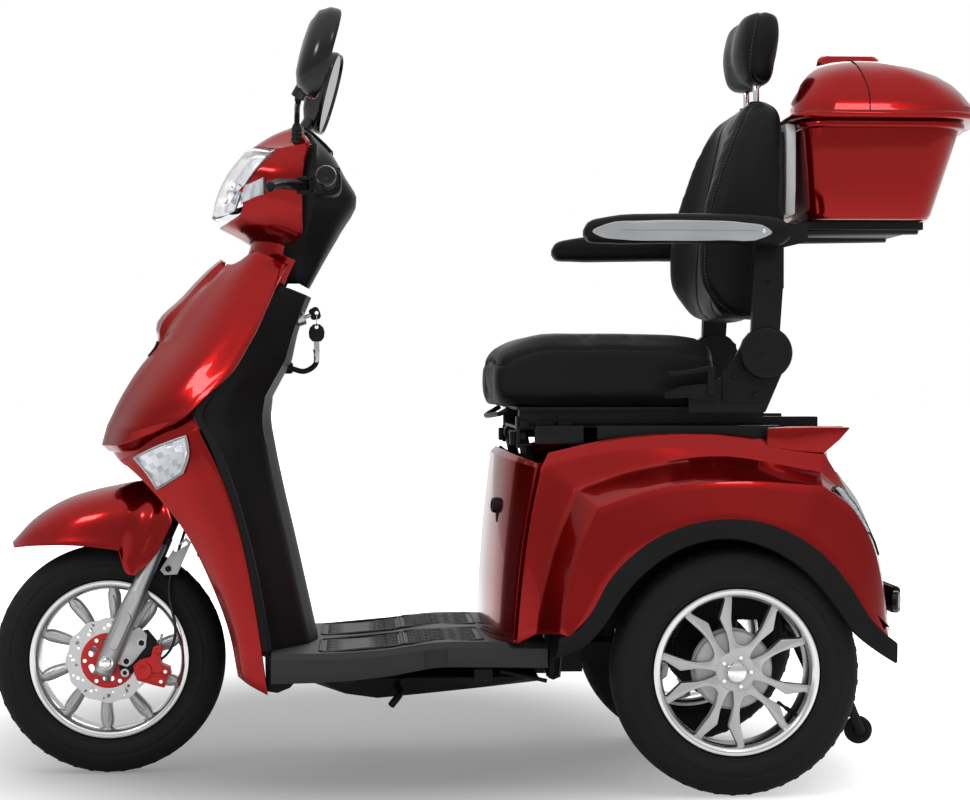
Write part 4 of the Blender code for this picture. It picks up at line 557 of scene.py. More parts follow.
def shader_group(name, inputs, outputs):
    """A shader group with named inputs and outputs, and a handle on its two ends."""
    tree = bpy.data.node_groups.new(name, "ShaderNodeTree")
    for label, value in inputs:
        socket = tree.interface.new_socket(label, in_out="INPUT", socket_type="NodeSocketFloat")
        socket.default_value = value
    for label in outputs:
        tree.interface.new_socket(label, in_out="OUTPUT", socket_type="NodeSocketFloat")
    return tree, tree.nodes.new("NodeGroupInput"), tree.nodes.new("NodeGroupOutput")


def grain_group():
    """Moulded grain: fine pits, and broad cloudy shifts in tone."""
    tree, start, end = shader_group("moulded_grain", (("Scale", 900), ("Cloud", 6)), ("Height", "Tone"))
    place = tree.nodes.new("ShaderNodeTexCoord")
    fine = node(tree, "ShaderNodeTexNoise", Detail=3)
    wire(tree, place, "Object", fine, "Vector")
    wire(tree, start, "Scale", fine, "Scale")
    broad = node(tree, "ShaderNodeTexNoise", Detail=4)
    wire(tree, place, "Object", broad, "Vector")
    wire(tree, start, "Cloud", broad, "Scale")
    wire(tree, fine, "Fac", end, "Height")
    wire(tree, broad, "Fac", end, "Tone")
    return tree


def flake_group():
    """Metal flakes under a clear coat, with a faint ripple in the coat."""
    tree, start, end = shader_group(
        "paint_flakes", (("Scale", 1400), ("Ripple", 60)), ("Flake", "Height"),
    )
    place = tree.nodes.new("ShaderNodeTexCoord")
    cells = tree.nodes.new("ShaderNodeTexVoronoi")
    wire(tree, place, "Object", cells, "Vector")
    wire(tree, start, "Scale", cells, "Scale")
    split = tree.nodes.new("ShaderNodeSeparateColor")
    wire(tree, cells, "Color", split, "Color")
    peel = node(tree, "ShaderNodeTexNoise", Detail=1)
    wire(tree, place, "Object", peel, "Vector")
    wire(tree, start, "Ripple", peel, "Scale")
    wire(tree, split, "Red", end, "Flake")
    wire(tree, peel, "Fac", end, "Height")
    return tree


def brushed_group():
    """Fine turning marks: noise drawn out along one direction."""
    tree, start, end = shader_group(
        "brushed_marks", (("Scale", 220), ("Stretch", 0.05)), ("Height", "Tone"),
    )
    place = tree.nodes.new("ShaderNodeTexCoord")
    squeeze = node(tree, "ShaderNodeCombineXYZ", X=1, Z=1)
    wire(tree, start, "Stretch", squeeze, "Y")
    scaled = node(tree, "ShaderNodeVectorMath", "MULTIPLY")
    wire(tree, place, "Object", scaled, 0)
    wire(tree, squeeze, "Vector", scaled, 1)
    marks = node(tree, "ShaderNodeTexNoise", Detail=3)
    wire(tree, scaled, "Vector", marks, "Vector")
    wire(tree, start, "Scale", marks, "Scale")
    broad = node(tree, "ShaderNodeTexNoise", Scale=14)
    wire(tree, place, "Object", broad, "Vector")
    wire(tree, marks, "Fac", end, "Height")
    wire(tree, broad, "Fac", end, "Tone")
    return tree


def leather_group():
    """Vinyl grain: small rounded cells with creases between them."""
    tree, start, end = shader_group("vinyl_grain", (("Scale", 520), ("Cloud", 9)), ("Height", "Tone"))
    place = tree.nodes.new("ShaderNodeTexCoord")
    cells = tree.nodes.new("ShaderNodeTexVoronoi")
    cells.feature = "SMOOTH_F1"
    wire(tree, place, "Object", cells, "Vector")
    wire(tree, start, "Scale", cells, "Scale")
    broad = node(tree, "ShaderNodeTexNoise", Detail=5)
    wire(tree, place, "Object", broad, "Vector")
    wire(tree, start, "Cloud", broad, "Scale")
    wire(tree, cells, "Distance", end, "Height")
    wire(tree, broad, "Fac", end, "Tone")
    return tree


GROUPS = {
    "grain": grain_group(), "flake": flake_group(), "brushed": brushed_group(), "vinyl": leather_group(),
}


def finish(name, dark, light, rough, group="grain", bump=0.1, depth=0.0002, spread=0.08, **more):
    """A finish whose tone, roughness and relief come from one of the groups."""
    material = bpy.data.materials.new(name)
    material.use_nodes = True
    tree = material.node_tree
    shader = tree.nodes["Principled BSDF"]
    effect = tree.nodes.new("ShaderNodeGroup")
    effect.node_tree = GROUPS[group]
    for label, value in more.pop("effect", {}).items():
        effect.inputs[label].default_value = value
    tone_out = "Flake" if group == "flake" else "Tone"
    tone = tree.nodes.new("ShaderNodeMix")
    tone.data_type = "RGBA"
    tone.inputs["A"].default_value = (*dark, 1)
    tone.inputs["B"].default_value = (*light, 1)
    wire(tree, effect, tone_out, tone, "Factor")
    tree.links.new(tone.outputs["Result"], shader.inputs["Base Color"])
    sheen = node(
        tree, "ShaderNodeMapRange", To_Min=max(rough - spread, 0.02), To_Max=min(rough + spread, 1),
    )
    wire(tree, effect, tone_out, sheen, "Value")
    wire(tree, sheen, "Result", shader, "Roughness")
    relief = node(tree, "ShaderNodeBump", Strength=bump, Distance=depth)
    wire(tree, effect, "Height", relief, "Height")
    wire(tree, relief, "Normal", shader, "Normal")
    for label, value in more.items():
        shader.inputs[label.replace("_", " ")].default_value = value
    return material


RED = finish(
    "candy_red_paint", (0.235, 0.0014, 0.0011), (0.315, 0.0028, 0.0022), 0.19, "flake", 0.05, 0.0002,
    0.03, effect={"Scale": 2600}, Metallic=0.85, Coat_Weight=0.85, Coat_Roughness=0.03, Coat_IOR=1.3,
    Specular_IOR_Level=0.1,
)
BLACK_MOULDED = finish(
    "black_moulded_plastic", (0.004, 0.004, 0.0042), (0.0075, 0.0075, 0.008), 0.46, bump=0.25,
    Specular_IOR_Level=0.14,
)
BLACK_GLOSS = finish(
    "black_gloss_plastic", (0.003, 0.003, 0.0034), (0.0055, 0.0055, 0.006), 0.16, bump=0.04,
    Specular_IOR_Level=0.4,
)
BLACK_STEEL = finish(
    "black_painted_steel", (0.004, 0.004, 0.0044), (0.0085, 0.0085, 0.009), 0.4, bump=0.15,
    Specular_IOR_Level=0.16, effect={"Scale": 300},
)
FLOOR_GREY = finish(
    "dark_grey_foot_board", (0.006, 0.006, 0.0066), (0.0105, 0.0105, 0.0115), 0.55, bump=0.5,
    depth=0.0004, Specular_IOR_Level=0.5, effect={"Scale": 420},
)
TRIM_GREY = finish(
    "dark_grey_arch_trim", (0.006, 0.006, 0.0066), (0.01, 0.01, 0.0108), 0.55, bump=0.4,
    Specular_IOR_Level=0.1,
)
RUBBER = finish(
    "tyre_rubber", (0.0065, 0.0065, 0.007), (0.013, 0.013, 0.014), 0.66, bump=0.3, depth=0.0003,
    Specular_IOR_Level=0.14, effect={"Scale": 500, "Cloud": 10},
)
GRIP_RUBBER = finish(
    "grip_rubber", (0.005, 0.005, 0.0054), (0.0095, 0.0095, 0.01), 0.5, bump=0.3, Specular_IOR_Level=0.16
)
POLISHED = finish(
    "polished_alloy", (0.62, 0.62, 0.63), (0.82, 0.82, 0.83), 0.16, "brushed", 0.06, 0.0001, 0.06,
    Metallic=1.0,
)
CAST = finish(
    "cast_alloy", (0.42, 0.42, 0.43), (0.56, 0.56, 0.57), 0.36, bump=0.35, depth=0.0003, Metallic=0.9,
    effect={"Scale": 600},
)
PALE_ALLOY = finish(
    "pale_cast_hub", (0.46, 0.46, 0.47), (0.6, 0.6, 0.61), 0.5, bump=0.3, depth=0.0003, Metallic=0.35,
    effect={"Scale": 500},
)
DISC_STEEL = finish(
    "ground_disc_steel", (0.5, 0.5, 0.5), (0.68, 0.68, 0.68), 0.3, "brushed", 0.15, 0.0001, 0.1,
    Metallic=1.0,
)
CHROME = finish(
    "bright_chrome", (0.78, 0.78, 0.79), (0.88, 0.88, 0.89), 0.07, "brushed", 0.02, 0.0001, 0.03,
    Metallic=1.0,
)
CALIPER_RED = finish(
    "red_anodised_brake", (0.46, 0.008, 0.008), (0.62, 0.016, 0.014), 0.36, bump=0.15, Metallic=0.3,
    effect={"Scale": 500},
)
VINYL = finish(
    "black_vinyl", (0.0042, 0.0042, 0.0046), (0.008, 0.008, 0.0086), 0.48, "vinyl", 0.35, 0.0003, 0.07,
    Specular_IOR_Level=0.11,
)
THREAD = finish(
    "grey_thread", (0.05, 0.05, 0.052), (0.09, 0.09, 0.094), 0.7, bump=0.4, effect={"Scale": 2500},
)
SILVER_INLAY = finish(
    "silver_inlay", (0.3, 0.31, 0.32), (0.4, 0.41, 0.42), 0.4, "brushed", 0.1, 0.0001, 0.05, Metallic=0.55
)
REFLECTOR = finish(
    "lamp_reflector", (0.6, 0.61, 0.63), (0.85, 0.86, 0.88), 0.14, "brushed", 0.1, 0.0003, 0.06,
    Metallic=0.9, effect={"Scale": 90, "Stretch": 0.6},
)
LENS_CELL = finish(
    "lamp_cells", (0.1, 0.1, 0.11), (0.74, 0.75, 0.77), 0.3, "brushed", 0.3, 0.0006, 0.08, Metallic=0.6,
    effect={"Scale": 60, "Stretch": 0.8},
)
PALE_PLASTIC = finish("pale_grey_plastic", (0.5, 0.51, 0.52), (0.62, 0.63, 0.64), 0.4, bump=0.15)
CABLE = finish(
    "cable_sheath", (0.0045, 0.0045, 0.005), (0.009, 0.009, 0.0096), 0.45, bump=0.3,
    effect={"Scale": 1500},
)
BLADE_STEEL = finish(
    "key_steel", (0.4, 0.4, 0.41), (0.55, 0.55, 0.56), 0.3, "brushed", 0.2, 0.0001, 0.06, Metallic=1.0,
)
# Near-black for painted shade: sheets inside the wheel arches, the gap at the cowl's vent and the lines
# along the lid's split, where shade falls.
SHADOW_BLACK = finish(
    "inner_arch_liner", (0.0035, 0.0035, 0.0035), (0.0065, 0.0065, 0.0065), 0.75, bump=0.4,
    Specular_IOR_Level=0.15, effect={"Scale": 200},
)


def lens(name, colour, rough=0.04, ior=1.49, ribs=60):
    """A moulded clear lens with faint optics in its face."""
    material = finish(
        name, colour, colour, rough + 0.03, "grain", 0.08, 0.0006, 0.03, effect={"Scale": ribs},
    )
    shader = material.node_tree.nodes["Principled BSDF"]
    shader.inputs["Transmission Weight"].default_value = 1.0
    shader.inputs["IOR"].default_value = ior
    return material


CLEAR_LENS = lens("clear_lamp_lens", (0.97, 0.98, 1.0))
AMBER_LENS = lens("amber_lamp_lens", (0.95, 0.42, 0.06))
RED_LENS = lens("red_lamp_lens", (0.75, 0.03, 0.03))
MIRROR_GLASS = finish(
    "mirror_glass", (0.8, 0.82, 0.84), (0.86, 0.88, 0.9), 0.03, "brushed", 0.01, 0.0001, 0.02,
    Metallic=1.0,
)


def build_stage():
    """Camera, pale floor and soft light."""
    scene = bpy.context.scene
    scene.view_settings.view_transform = "Standard"
    eye = bpy.data.cameras.new("side_camera")
    eye.sensor_width = 36
    eye.lens = 81.1
    camera = bpy.data.objects.new("side_camera", eye)
    camera.location = (-0.2443, -4.0279, 0.7247)
    camera.rotation_euler = (radians(89.345), 0, radians(-3.4))
    scene.collection.objects.link(camera)
    scene.camera = camera
    build_ground()
    build_sky()
    lamps = (
        ("window_left", (-2.4, -3.0, 2.7), (-0.35, 0, 0.55), 0.75, 0.5, 17),
        ("window_right", (1.3, -3.4, 3.0), (0.4, 0, 0.5), 0.7, 0.45, 9),
        ("overhead", (-0.1, -0.2, 2.7), (-0.1, 0, 0), 4.0, 3.0, 64),
        ("far_side", (0.6, 3.2, 2.2), (0, 0, 0.6), 2.4, 1.4, 18),
    )
    for name, place, aim, width, height, power in lamps:
        lamp = bpy.data.lights.new(name, "AREA")
        lamp.shape = "RECTANGLE"
        lamp.size = width
        lamp.size_y = height
        lamp.energy = power
        obj = bpy.data.objects.new(name, lamp)
        obj.location = place
        run = Vector(aim) - Vector(place)
        obj.rotation_euler = run.to_track_quat("-Z", "Y").to_euler()
        obj.visible_glossy = name != "overhead"
        scene.collection.objects.link(obj)


def any_ray(tree, rays, kinds):
    """One for rays of the named kinds, else nought."""
    found = None
    for kind in kinds:
        step = node(tree, "ShaderNodeMath", "MAXIMUM")
        wire(tree, rays, kind, step, 0)
        if found:
            wire(tree, found, "Value", step, 1)
        found = step
    return found


def build_ground():
    """A white floor that keeps the scooter's shadow, with a painted shadow as well: its colour and glow fall
    off in a patch under the scooter.
    """
    bm = bmesh.new()
    bmesh.ops.create_grid(bm, x_segments=1, y_segments=1, size=40)
    ground = linked("studio_floor", bm)
    paper = bpy.data.materials.new("white_floor")
    paper.use_nodes = True
    tree = paper.node_tree
    shader = tree.nodes["Principled BSDF"]
    shader.inputs["Roughness"].default_value = 0.7
    shader.inputs["Specular IOR Level"].default_value = 0.1
    glow = tree.nodes.new("ShaderNodeEmission")
    place = tree.nodes.new("ShaderNodeTexCoord")
    # Painted shadow: an oval patch centred under and behind the scooter, where the floor's seen colour and
    # glow fall to 0.2 of their far value. Bounced light sees the floor a plain 0.26 grey, and reflections
    # see it dimmed.
    squeezed = node(tree, "ShaderNodeVectorMath", "MULTIPLY_ADD")
    squeezed.inputs[1].default_value = (0.78, 0.62, 0)
    squeezed.inputs[2].default_value = (0.195, -0.217, 0)
    wire(tree, place, "Object", squeezed, 0)
    reach = node(tree, "ShaderNodeVectorMath", "LENGTH")
    wire(tree, squeezed, "Vector", reach, 0)
    painted_shadow_fade = tree.nodes.new("ShaderNodeMapRange")
    painted_shadow_fade.interpolation_type = "SMOOTHSTEP"
    painted_shadow_fade.inputs["From Min"].default_value = 0.3
    painted_shadow_fade.inputs["From Max"].default_value = 1.15
    painted_shadow_fade.inputs["To Min"].default_value = 0.2
    painted_shadow_fade.inputs["To Max"].default_value = 1.0
    wire(tree, reach, "Value", painted_shadow_fade, "Value")
    rays = tree.nodes.new("ShaderNodeLightPath")
    seen = any_ray(tree, rays, ("Is Camera Ray", "Is Transmission Ray"))
    dimmed = node(tree, "ShaderNodeMath", "MULTIPLY")
    dimmed.inputs[1].default_value = 0.2
    wire(tree, rays, "Is Glossy Ray", dimmed, 0)
    shown = node(tree, "ShaderNodeMath", "MAXIMUM")
    wire(tree, seen, "Value", shown, 0)
    wire(tree, dimmed, "Value", shown, 1)
    tone = tree.nodes.new("ShaderNodeMix")
    tone.data_type = "RGBA"
    tone.inputs["A"].default_value = (0.26, 0.26, 0.26, 1)
    wire(tree, painted_shadow_fade, "Result", tone, "B")
    wire(tree, shown, "Value", tone, "Factor")
    tree.links.new(tone.outputs["Result"], shader.inputs["Base Color"])
    scaled = node(tree, "ShaderNodeMath", "MULTIPLY")
    wire(tree, shown, "Value", scaled, 0)
    wire(tree, painted_shadow_fade, "Result", scaled, 1)
    wire(tree, scaled, "Value", glow, "Strength")
    both = tree.nodes.new("ShaderNodeAddShader")
    wire(tree, shader, "BSDF", both, 0)
    wire(tree, glow, "Emission", both, 1)
    wire(tree, both, "Shader", tree.nodes["Material Output"], "Surface")
    ground.data.materials.append(paper)


def build_sky():
    """White behind the scooter; reflections see it too, dimmer towards the horizon, and it lights softly."""
    world = bpy.data.worlds.new("soft_studio")
    bpy.context.scene.world = world
    world.use_nodes = True
    tree = world.node_tree
    lit = tree.nodes["Background"]
    lit.inputs["Color"].default_value = (1, 1, 1, 1)
    lit.inputs["Strength"].default_value = 0.22
    place = tree.nodes.new("ShaderNodeTexCoord")
    split = tree.nodes.new("ShaderNodeSeparateXYZ")
    wire(tree, place, "Generated", split, "Vector")
    climb = tree.nodes.new("ShaderNodeMapRange")
    climb.interpolation_type = "SMOOTHSTEP"
    climb.inputs["From Min"].default_value = 0.15
    climb.inputs["From Max"].default_value = 0.85
    climb.inputs["To Min"].default_value = 0.06
    climb.inputs["To Max"].default_value = 1.2
    wire(tree, split, "Z", climb, "Value")
    mirrored = tree.nodes.new("ShaderNodeBackground")
    wire(tree, climb, "Result", mirrored, "Strength")
    plain = node(tree, "ShaderNodeBackground", Color=(1, 1, 1, 1), Strength=1.0)
    mirrored.inputs["Color"].default_value = (1, 1, 1, 1)
    rays = tree.nodes.new("ShaderNodeLightPath")
    glossy = tree.nodes.new("ShaderNodeMixShader")
    wire(tree, rays, "Is Glossy Ray", glossy, "Fac")
    wire(tree, lit, "Background", glossy, 1)
    wire(tree, mirrored, "Background", glossy, 2)
    seen = any_ray(tree, rays, ("Is Camera Ray", "Is Transmission Ray"))
    whole = tree.nodes.new("ShaderNodeMixShader")
    wire(tree, seen, "Value", whole, "Fac")
    wire(tree, glossy, "Shader", whole, 1)
    wire(tree, plain, "Background", whole, 2)
    wire(tree, whole, "Shader", tree.nodes["World Output"], "Surface")


def draped(obj, rows, lift):
    """A grid of points laid on a piece's outer face and lifted off it."""
    mesh = obj.data
    tree = BVHTree.FromPolygons([v.co for v in mesh.vertices], [p.vertices for p in mesh.polygons])
    grid = []
    for row in rows:
        spots = [tree.find_nearest(Vector(p)) for p in row]
        grid.append([spot[0] + spot[1] * lift for spot in spots])
    return grid


def edge_of(grid):
    """The points round the edge of a grid."""
    return [row[0] for row in grid] + grid[-1][1:] + [row[-1] for row in grid[-2::-1]] + grid[0][-2:0:-1]


def build_nacelle():
    """The red housing round the lamp; its hoops run back from it, each from the top to the chin."""
    hoops = (
        (
            (-0.447, 0, 1.129), (-0.424, 0.066, 1.136), (-0.382, 0.116, 1.128), (-0.42, 0.124, 1.088),
            (-0.444, 0.11, 1.052), (-0.446, 0.096, 1.02), (-0.474, 0.052, 0.999), (-0.492, 0.0008, 0.992),
        ),
        (
            (-0.402, 0, 1.159), (-0.386, 0.068, 1.159), (-0.354, 0.121, 1.133), (-0.38, 0.134, 1.085),
            (-0.395, 0.128, 1.038), (-0.395, 0.112, 1.004), (-0.424, 0.062, 0.978),
            (-0.446, 0.0008, 0.968),
        ),
        (
            (-0.358, 0, 1.179), (-0.346, 0.074, 1.172), (-0.324, 0.124, 1.138), (-0.336, 0.14, 1.09),
            (-0.338, 0.134, 1.016), (-0.34, 0.108, 0.975), (-0.372, 0.066, 0.956),
            (-0.412, 0.0008, 0.944),
        ),
    )
    holes = []
    for side in (-1, 1):
        holes.append(rod((-0.348, side * 0.1, 1.1), (-0.348, side * 0.112, 1.2), 0.0104, 32))
    grid = [both_sides(h) for h in hoops]
    creases = (3, 5, 6, 8, 9, 11)
    shell = panel("head_cowl", "steering", RED, grid, (-0.4, 0, 1.06), 7, 6, (), creases, cuts=holes)
    collar = []
    for rise, radius in ((0.012, 0.0605), (0.058, 0.0645), (0.121, 0.0735)):
        turns = [radians(a) for a in (0, 37, 74, 109)]
        row = [on_head(rise, radius * sin(a), -radius * cos(a)) for a in turns]
        collar.append(both_sides([tuple(p) for p in row]))
    neck = skin(refined(collar, 6, 6), PANEL_WALL, on_head(0.06))
    part("neck_collar", neck, "steering", RED, bevel=0.0009)
    pane = (
        ((-0.4425, 0.125, 1.06), (-0.408, 0.14, 1.075)), ((-0.4576, 0.11, 1.026), (-0.41, 0.14, 1.0436)),
    )
    for word, side in SIDES:
        rows = refined(flipped(pane, side), 4, 5)
        low, high = draped(shell, rows, 0.0012), draped(shell, rows, 0.0034)
        ribbed = [[b if j % 2 else a for j, (a, b) in enumerate(zip(*pair))] for pair in zip(low, high)]
        cell = skin(ribbed, 0.001, (-0.4, 0, 1.06))
        part("lamp_side_cell_" + word, cell, "steering", LENS_CELL, shade=12)
        clear = skin(draped(shell, rows, 0.0056), 0.0018, (-0.4, 0, 1.06))
        part("lamp_side_pane_" + word, clear, "steering", CLEAR_LENS, bevel=0.0005)
    build_headlight()


def build_headlight():
    """A clear lens over a bright bowl with two lamp cups, and the red wedges at its sides."""
    lens_rows = (
        ((-0.449, 0, 1.1275), (-0.427, 0.064, 1.1345), (-0.384, 0.1135, 1.127)),
        ((-0.478, 0, 1.09), (-0.46, 0.067, 1.089), (-0.42, 0.1205, 1.088)),
        ((-0.497, 0, 1.05), (-0.48, 0.06, 1.046), (-0.4445, 0.1075, 1.0535)),
        ((-0.506, 0, 1.01), (-0.491, 0.046, 1.008), (-0.459, 0.086, 1.019)),
    )
    grid = [both_sides(r) for r in lens_rows]
    panel("headlight", "steering", CLEAR_LENS, grid, (-0.42, 0, 1.06), 6, 6, wall=0.0025)
    middle = Vector((-0.42, 0, 1.06))
    bowl = [[p + (middle - p) * 0.24 for p in row] for row in refined(grid, 3, 3)]
    for i, row in enumerate(bowl):
        for j, point in enumerate(row):
            point.x += 0.004 * ((i + j) % 2)
    part("lamp_bowl", skin(bowl, 0.002, middle), "steering", REFLECTOR, shade=15)
    cups = []
    bulbs = []
    for side in (-1, 1):
        at = Vector((-0.462, side * 0.04, 1.052))
        way = Vector((-0.9, side * 0.22, 0.3)).normalized()
        cup = [
            (0.0, 0.006), (0.004, 0.016), (0.012, 0.022), (0.013, 0.024), (0.01, 0.024), (0.001, 0.015),
            (-0.002, 0.006),
        ]
        cups.append(turned(cup, at, way, 32, True))
        bulbs.append(turned([(-0.004, 0.005), (0.008, 0.006), (0.013, 0.0045), (0.015, 0)], at, way, 20))
    part("lamp_cups", cups, "steering", CHROME)
    part("lamp_bulbs", bulbs, "steering", AMBER_LENS)
    wedges = []
    for side in (-1, 1):
        outline = (
            (-0.402, 0.118, 1.098), (-0.425, 0.117, 1.077), (-0.4535, 0.104, 1.053), (-0.441, 0.11, 1.05),
        )
        outline += ((-0.428, 0.116, 1.06), (-0.41, 0.122, 1.072))
        outer = [Vector((x, side * (y + 0.0015), z)) for x, y, z in outline]
        inner = [p - Vector((0, side * 0.012, 0)) for p in outer]
        wedges.append(stacked([inner, outer]))
    part("lamp_side_wedges", wedges, "steering", RED, bevel=0.0012)


def build_dash():
    """The black cover behind the bars, with the dial and a row of lamps."""
    cover = (
        ((-0.336, 0, 1.171), (-0.327, 0.066, 1.163), (-0.312, 0.112, 1.136)),
        ((-0.288, 0, 1.128), (-0.288, 0.07, 1.12), (-0.314, 0.126, 1.098)),
        ((-0.264, 0, 1.085), (-0.267, 0.076, 1.08), (-0.316, 0.132, 1.062)),
        ((-0.242, 0, 1.05), (-0.25, 0.074, 1.044), (-0.318, 0.126, 1.028)),
        ((-0.272, 0, 0.985), (-0.279, 0.062, 0.985), (-0.328, 0.104, 0.986)),
        ((-0.299, 0, 0.938), (-0.305, 0.048, 0.938), (-0.34, 0.072, 0.944)),
        ((-0.328, 0, 0.884), (-0.332, 0.03, 0.885), (-0.348, 0.046, 0.894)),
    )
    hole = [rod(BAR - SIDE * 0.3, BAR + SIDE * 0.3, 0.015, 32)]
    grid = []
    for row in cover:
        x, y, z = row[-1]
        grid.append(both_sides(row + ((x - 0.034, y * 0.94, z),)))
    dash = panel(
        "dash_cover", "steering", BLACK_MOULDED, grid, (-0.36, 0, 1.04), 4, 5, (), (1, 5), cuts=hole,
    )
    window = [
        [(-0.33 + 0.042 * i / 4, 0.052 * (j - 2) / 2, 1.17 - 0.04 * i / 4) for j in range(5)]
        for i in range(5)
    ]
    glass = draped(dash, window, 0.0022)
    part("dial_window", skin(glass, 0.002, (-0.4, 0, 1.05)), "steering", BLACK_GLOSS, bevel=0.0006)
    edge = edge_of(draped(dash, window, 0.0034))
    part("dial_bezel", swept(edge + edge[:1], 0.0022, 8), "steering", TRIM_GREY)
    buttons = []
    for i in range(5):
        spot = draped(dash, [[(-0.27, 0.02 * (i - 2), 1.08)]], 0.0)[0][0]
        way = Vector((0.9, 0, 0.42)).normalized()
        buttons.append(
            turned([(-0.001, 0.0045), (0.0015, 0.0045), (0.0024, 0.003), (0.0026, 0)], spot, way, 16)
        )
    part("tell_tale_lamps", buttons, "steering", AMBER_LENS)


def build_front_cowl():
    """The red front cowl; its rows run downwards, each from the middle outwards."""
    cowl = (
        ((-0.453, 0, 0.96), (-0.449, 0.031, 0.957), (-0.446, 0.036, 0.952), (-0.447, 0.045, 0.954)),
        ((-0.498, 0, 0.93), (-0.49, 0.038, 0.928), (-0.478, 0.047, 0.92), (-0.48, 0.06, 0.92)),
        ((-0.56, 0, 0.868), (-0.549, 0.04, 0.866), (-0.542, 0.05, 0.862), (-0.53, 0.068, 0.86)),
        ((-0.608, 0, 0.808), (-0.598, 0.04, 0.805), (-0.586, 0.05, 0.8), (-0.574, 0.072, 0.803)),
        ((-0.604, 0, 0.792), (-0.598, 0.04, 0.79), (-0.59, 0.05, 0.787), (-0.586, 0.072, 0.788)),
        ((-0.628, 0, 0.748), (-0.628, 0.03, 0.7475), (-0.627, 0.048, 0.7468), (-0.624, 0.07, 0.746)),
        ((-0.664, 0, 0.692), (-0.664, 0.028, 0.6915), (-0.6635, 0.046, 0.6908), (-0.662, 0.064, 0.69)),
        ((-0.695, 0, 0.636), (-0.694, 0.022, 0.6355), (-0.693, 0.038, 0.6345), (-0.691, 0.054, 0.633)),
        ((-0.705, 0, 0.6), (-0.704, 0.02, 0.5995), (-0.703, 0.036, 0.599), (-0.701, 0.05, 0.598)),
        ((-0.692, 0, 0.588), (-0.691, 0.018, 0.5875), (-0.69, 0.032, 0.587), (-0.688, 0.046, 0.586)),
    )
    flanks = (
        ((-0.412, 0.111, 0.942), (-0.364, 0.119, 0.922)), ((-0.43, 0.12, 0.908), (-0.377, 0.131, 0.898)),
        ((-0.464, 0.137, 0.848), (-0.398, 0.152, 0.848)), ((-0.5, 0.152, 0.788), (-0.424, 0.168, 0.79)),
        ((-0.512, 0.155, 0.772), (-0.432, 0.171, 0.776)),
        ((-0.548, 0.161, 0.726), (-0.458, 0.181, 0.732)),
        ((-0.596, 0.156, 0.676), (-0.506, 0.187, 0.686)), ((-0.64, 0.14, 0.627), (-0.541, 0.187, 0.652)),
        ((-0.656, 0.126, 0.602), (-0.56, 0.181, 0.64)), ((-0.646, 0.116, 0.59), (-0.562, 0.168, 0.63)),
    )
    sweep = [rod(on_head(0.022), on_head(0.3), 0.106, 64)]
    grid = [both_sides(row + flank) for row, flank in zip(cowl, flanks)]
    creases = (2, 3, 4, 6, 7, 8)
    shell = panel("front_cowl", "chassis", RED, grid, (-0.45, 0, 0.75), 5, 6, (7, 8), creases, cuts=sweep)
    # Painted shade: a near-black sheet laid in the gap under the cowl's raised middle, where shade falls.
    mouth = []
    for i in range(5):
        y = 0.042 * (i - 2) / 2
        mouth.append([(-0.607, y, 0.787), (-0.614, y, 0.776), (-0.622, y, 0.762)])
    gap_shade = draped(shell, refined(mouth, 3, 3), 0.0024)
    part("cowl_vent", skin(gap_shade, 0.003, (-0.45, 0, 0.75)), "chassis", SHADOW_BLACK, bevel=0.0006)
    skirt = (
        (
            (-0.69, 0, 0.597), (-0.684, 0.045, 0.597), (-0.664, 0.084, 0.6), (-0.6, 0.146, 0.628),
            (-0.52, 0.176, 0.662),
        ),
        (
            (-0.684, 0, 0.581), (-0.679, 0.045, 0.58), (-0.654, 0.09, 0.562), (-0.596, 0.158, 0.584),
            (-0.514, 0.186, 0.618),
        ),
    )
    under = skin(refined([both_sides(row) for row in skirt], 3, 5), PANEL_WALL, (-0.45, 0, 0.75))
    part("cowl_skirt", under, "chassis", RED, bevel=0.0009)


def build_front_sides():
    """The long red panels each side of the front wheel, with the clear indicator set into each."""
    side_rows = (
        ((-0.664, 0.098, 0.573), (-0.6, 0.166, 0.598), (-0.52, 0.192, 0.632)),
        ((-0.622, 0.136, 0.54), (-0.568, 0.178, 0.56), (-0.492, 0.199, 0.578)),
        ((-0.59, 0.155, 0.508), (-0.538, 0.184, 0.515), (-0.47, 0.203, 0.527)),
        ((-0.545, 0.162, 0.45), (-0.506, 0.19, 0.453), (-0.447, 0.208, 0.455)),
        ((-0.5, 0.167, 0.362), (-0.474, 0.195, 0.364), (-0.427, 0.213, 0.365)),
        ((-0.466, 0.176, 0.272), (-0.446, 0.202, 0.274), (-0.412, 0.218, 0.276)),
        ((-0.45, 0.184, 0.196), (-0.43, 0.207, 0.184), (-0.397, 0.221, 0.168)),
    )
    lens_rows = (
        ((-0.634, 0.14, 0.578), (-0.588, 0.177, 0.6), (-0.54, 0.194, 0.618)),
        ((-0.612, 0.156, 0.552), (-0.575, 0.184, 0.572), (-0.536, 0.198, 0.586)),
        ((-0.594, 0.165, 0.524), (-0.568, 0.186, 0.54), (-0.546, 0.195, 0.554)),
    )
    for word, side in SIDES:
        inside = (-0.45, 0, 0.4)
        shell = panel("side_panel_" + word, "chassis", RED, flipped(side_rows, side), inside, 5, 6)
        rows = refined(flipped(lens_rows, side), 5, 5)
        cover = skin(draped(shell, rows, 0.009), 0.0025, inside)
        part("indicator_lens_" + word, cover, "chassis", CLEAR_LENS, "indicator_" + word, 0.0006)
        shrunk = draped(shell, refined(flipped(lens_rows, side), 3, 4), 0.003)
        for i, row in enumerate(shrunk):
            for j, point in enumerate(row):
                point += Vector((0, side * 0.0022 * ((i + 2 * j) % 3 - 1), 0))
        part("indicator_bowl_" + word, skin(shrunk, 0.0015, inside), "chassis", LENS_CELL, shade=12)
        edge = edge_of(draped(shell, rows, 0.005))
        part("indicator_rim_" + word, swept(edge + edge[:2], 0.0024, 8), "chassis", LENS_CELL)


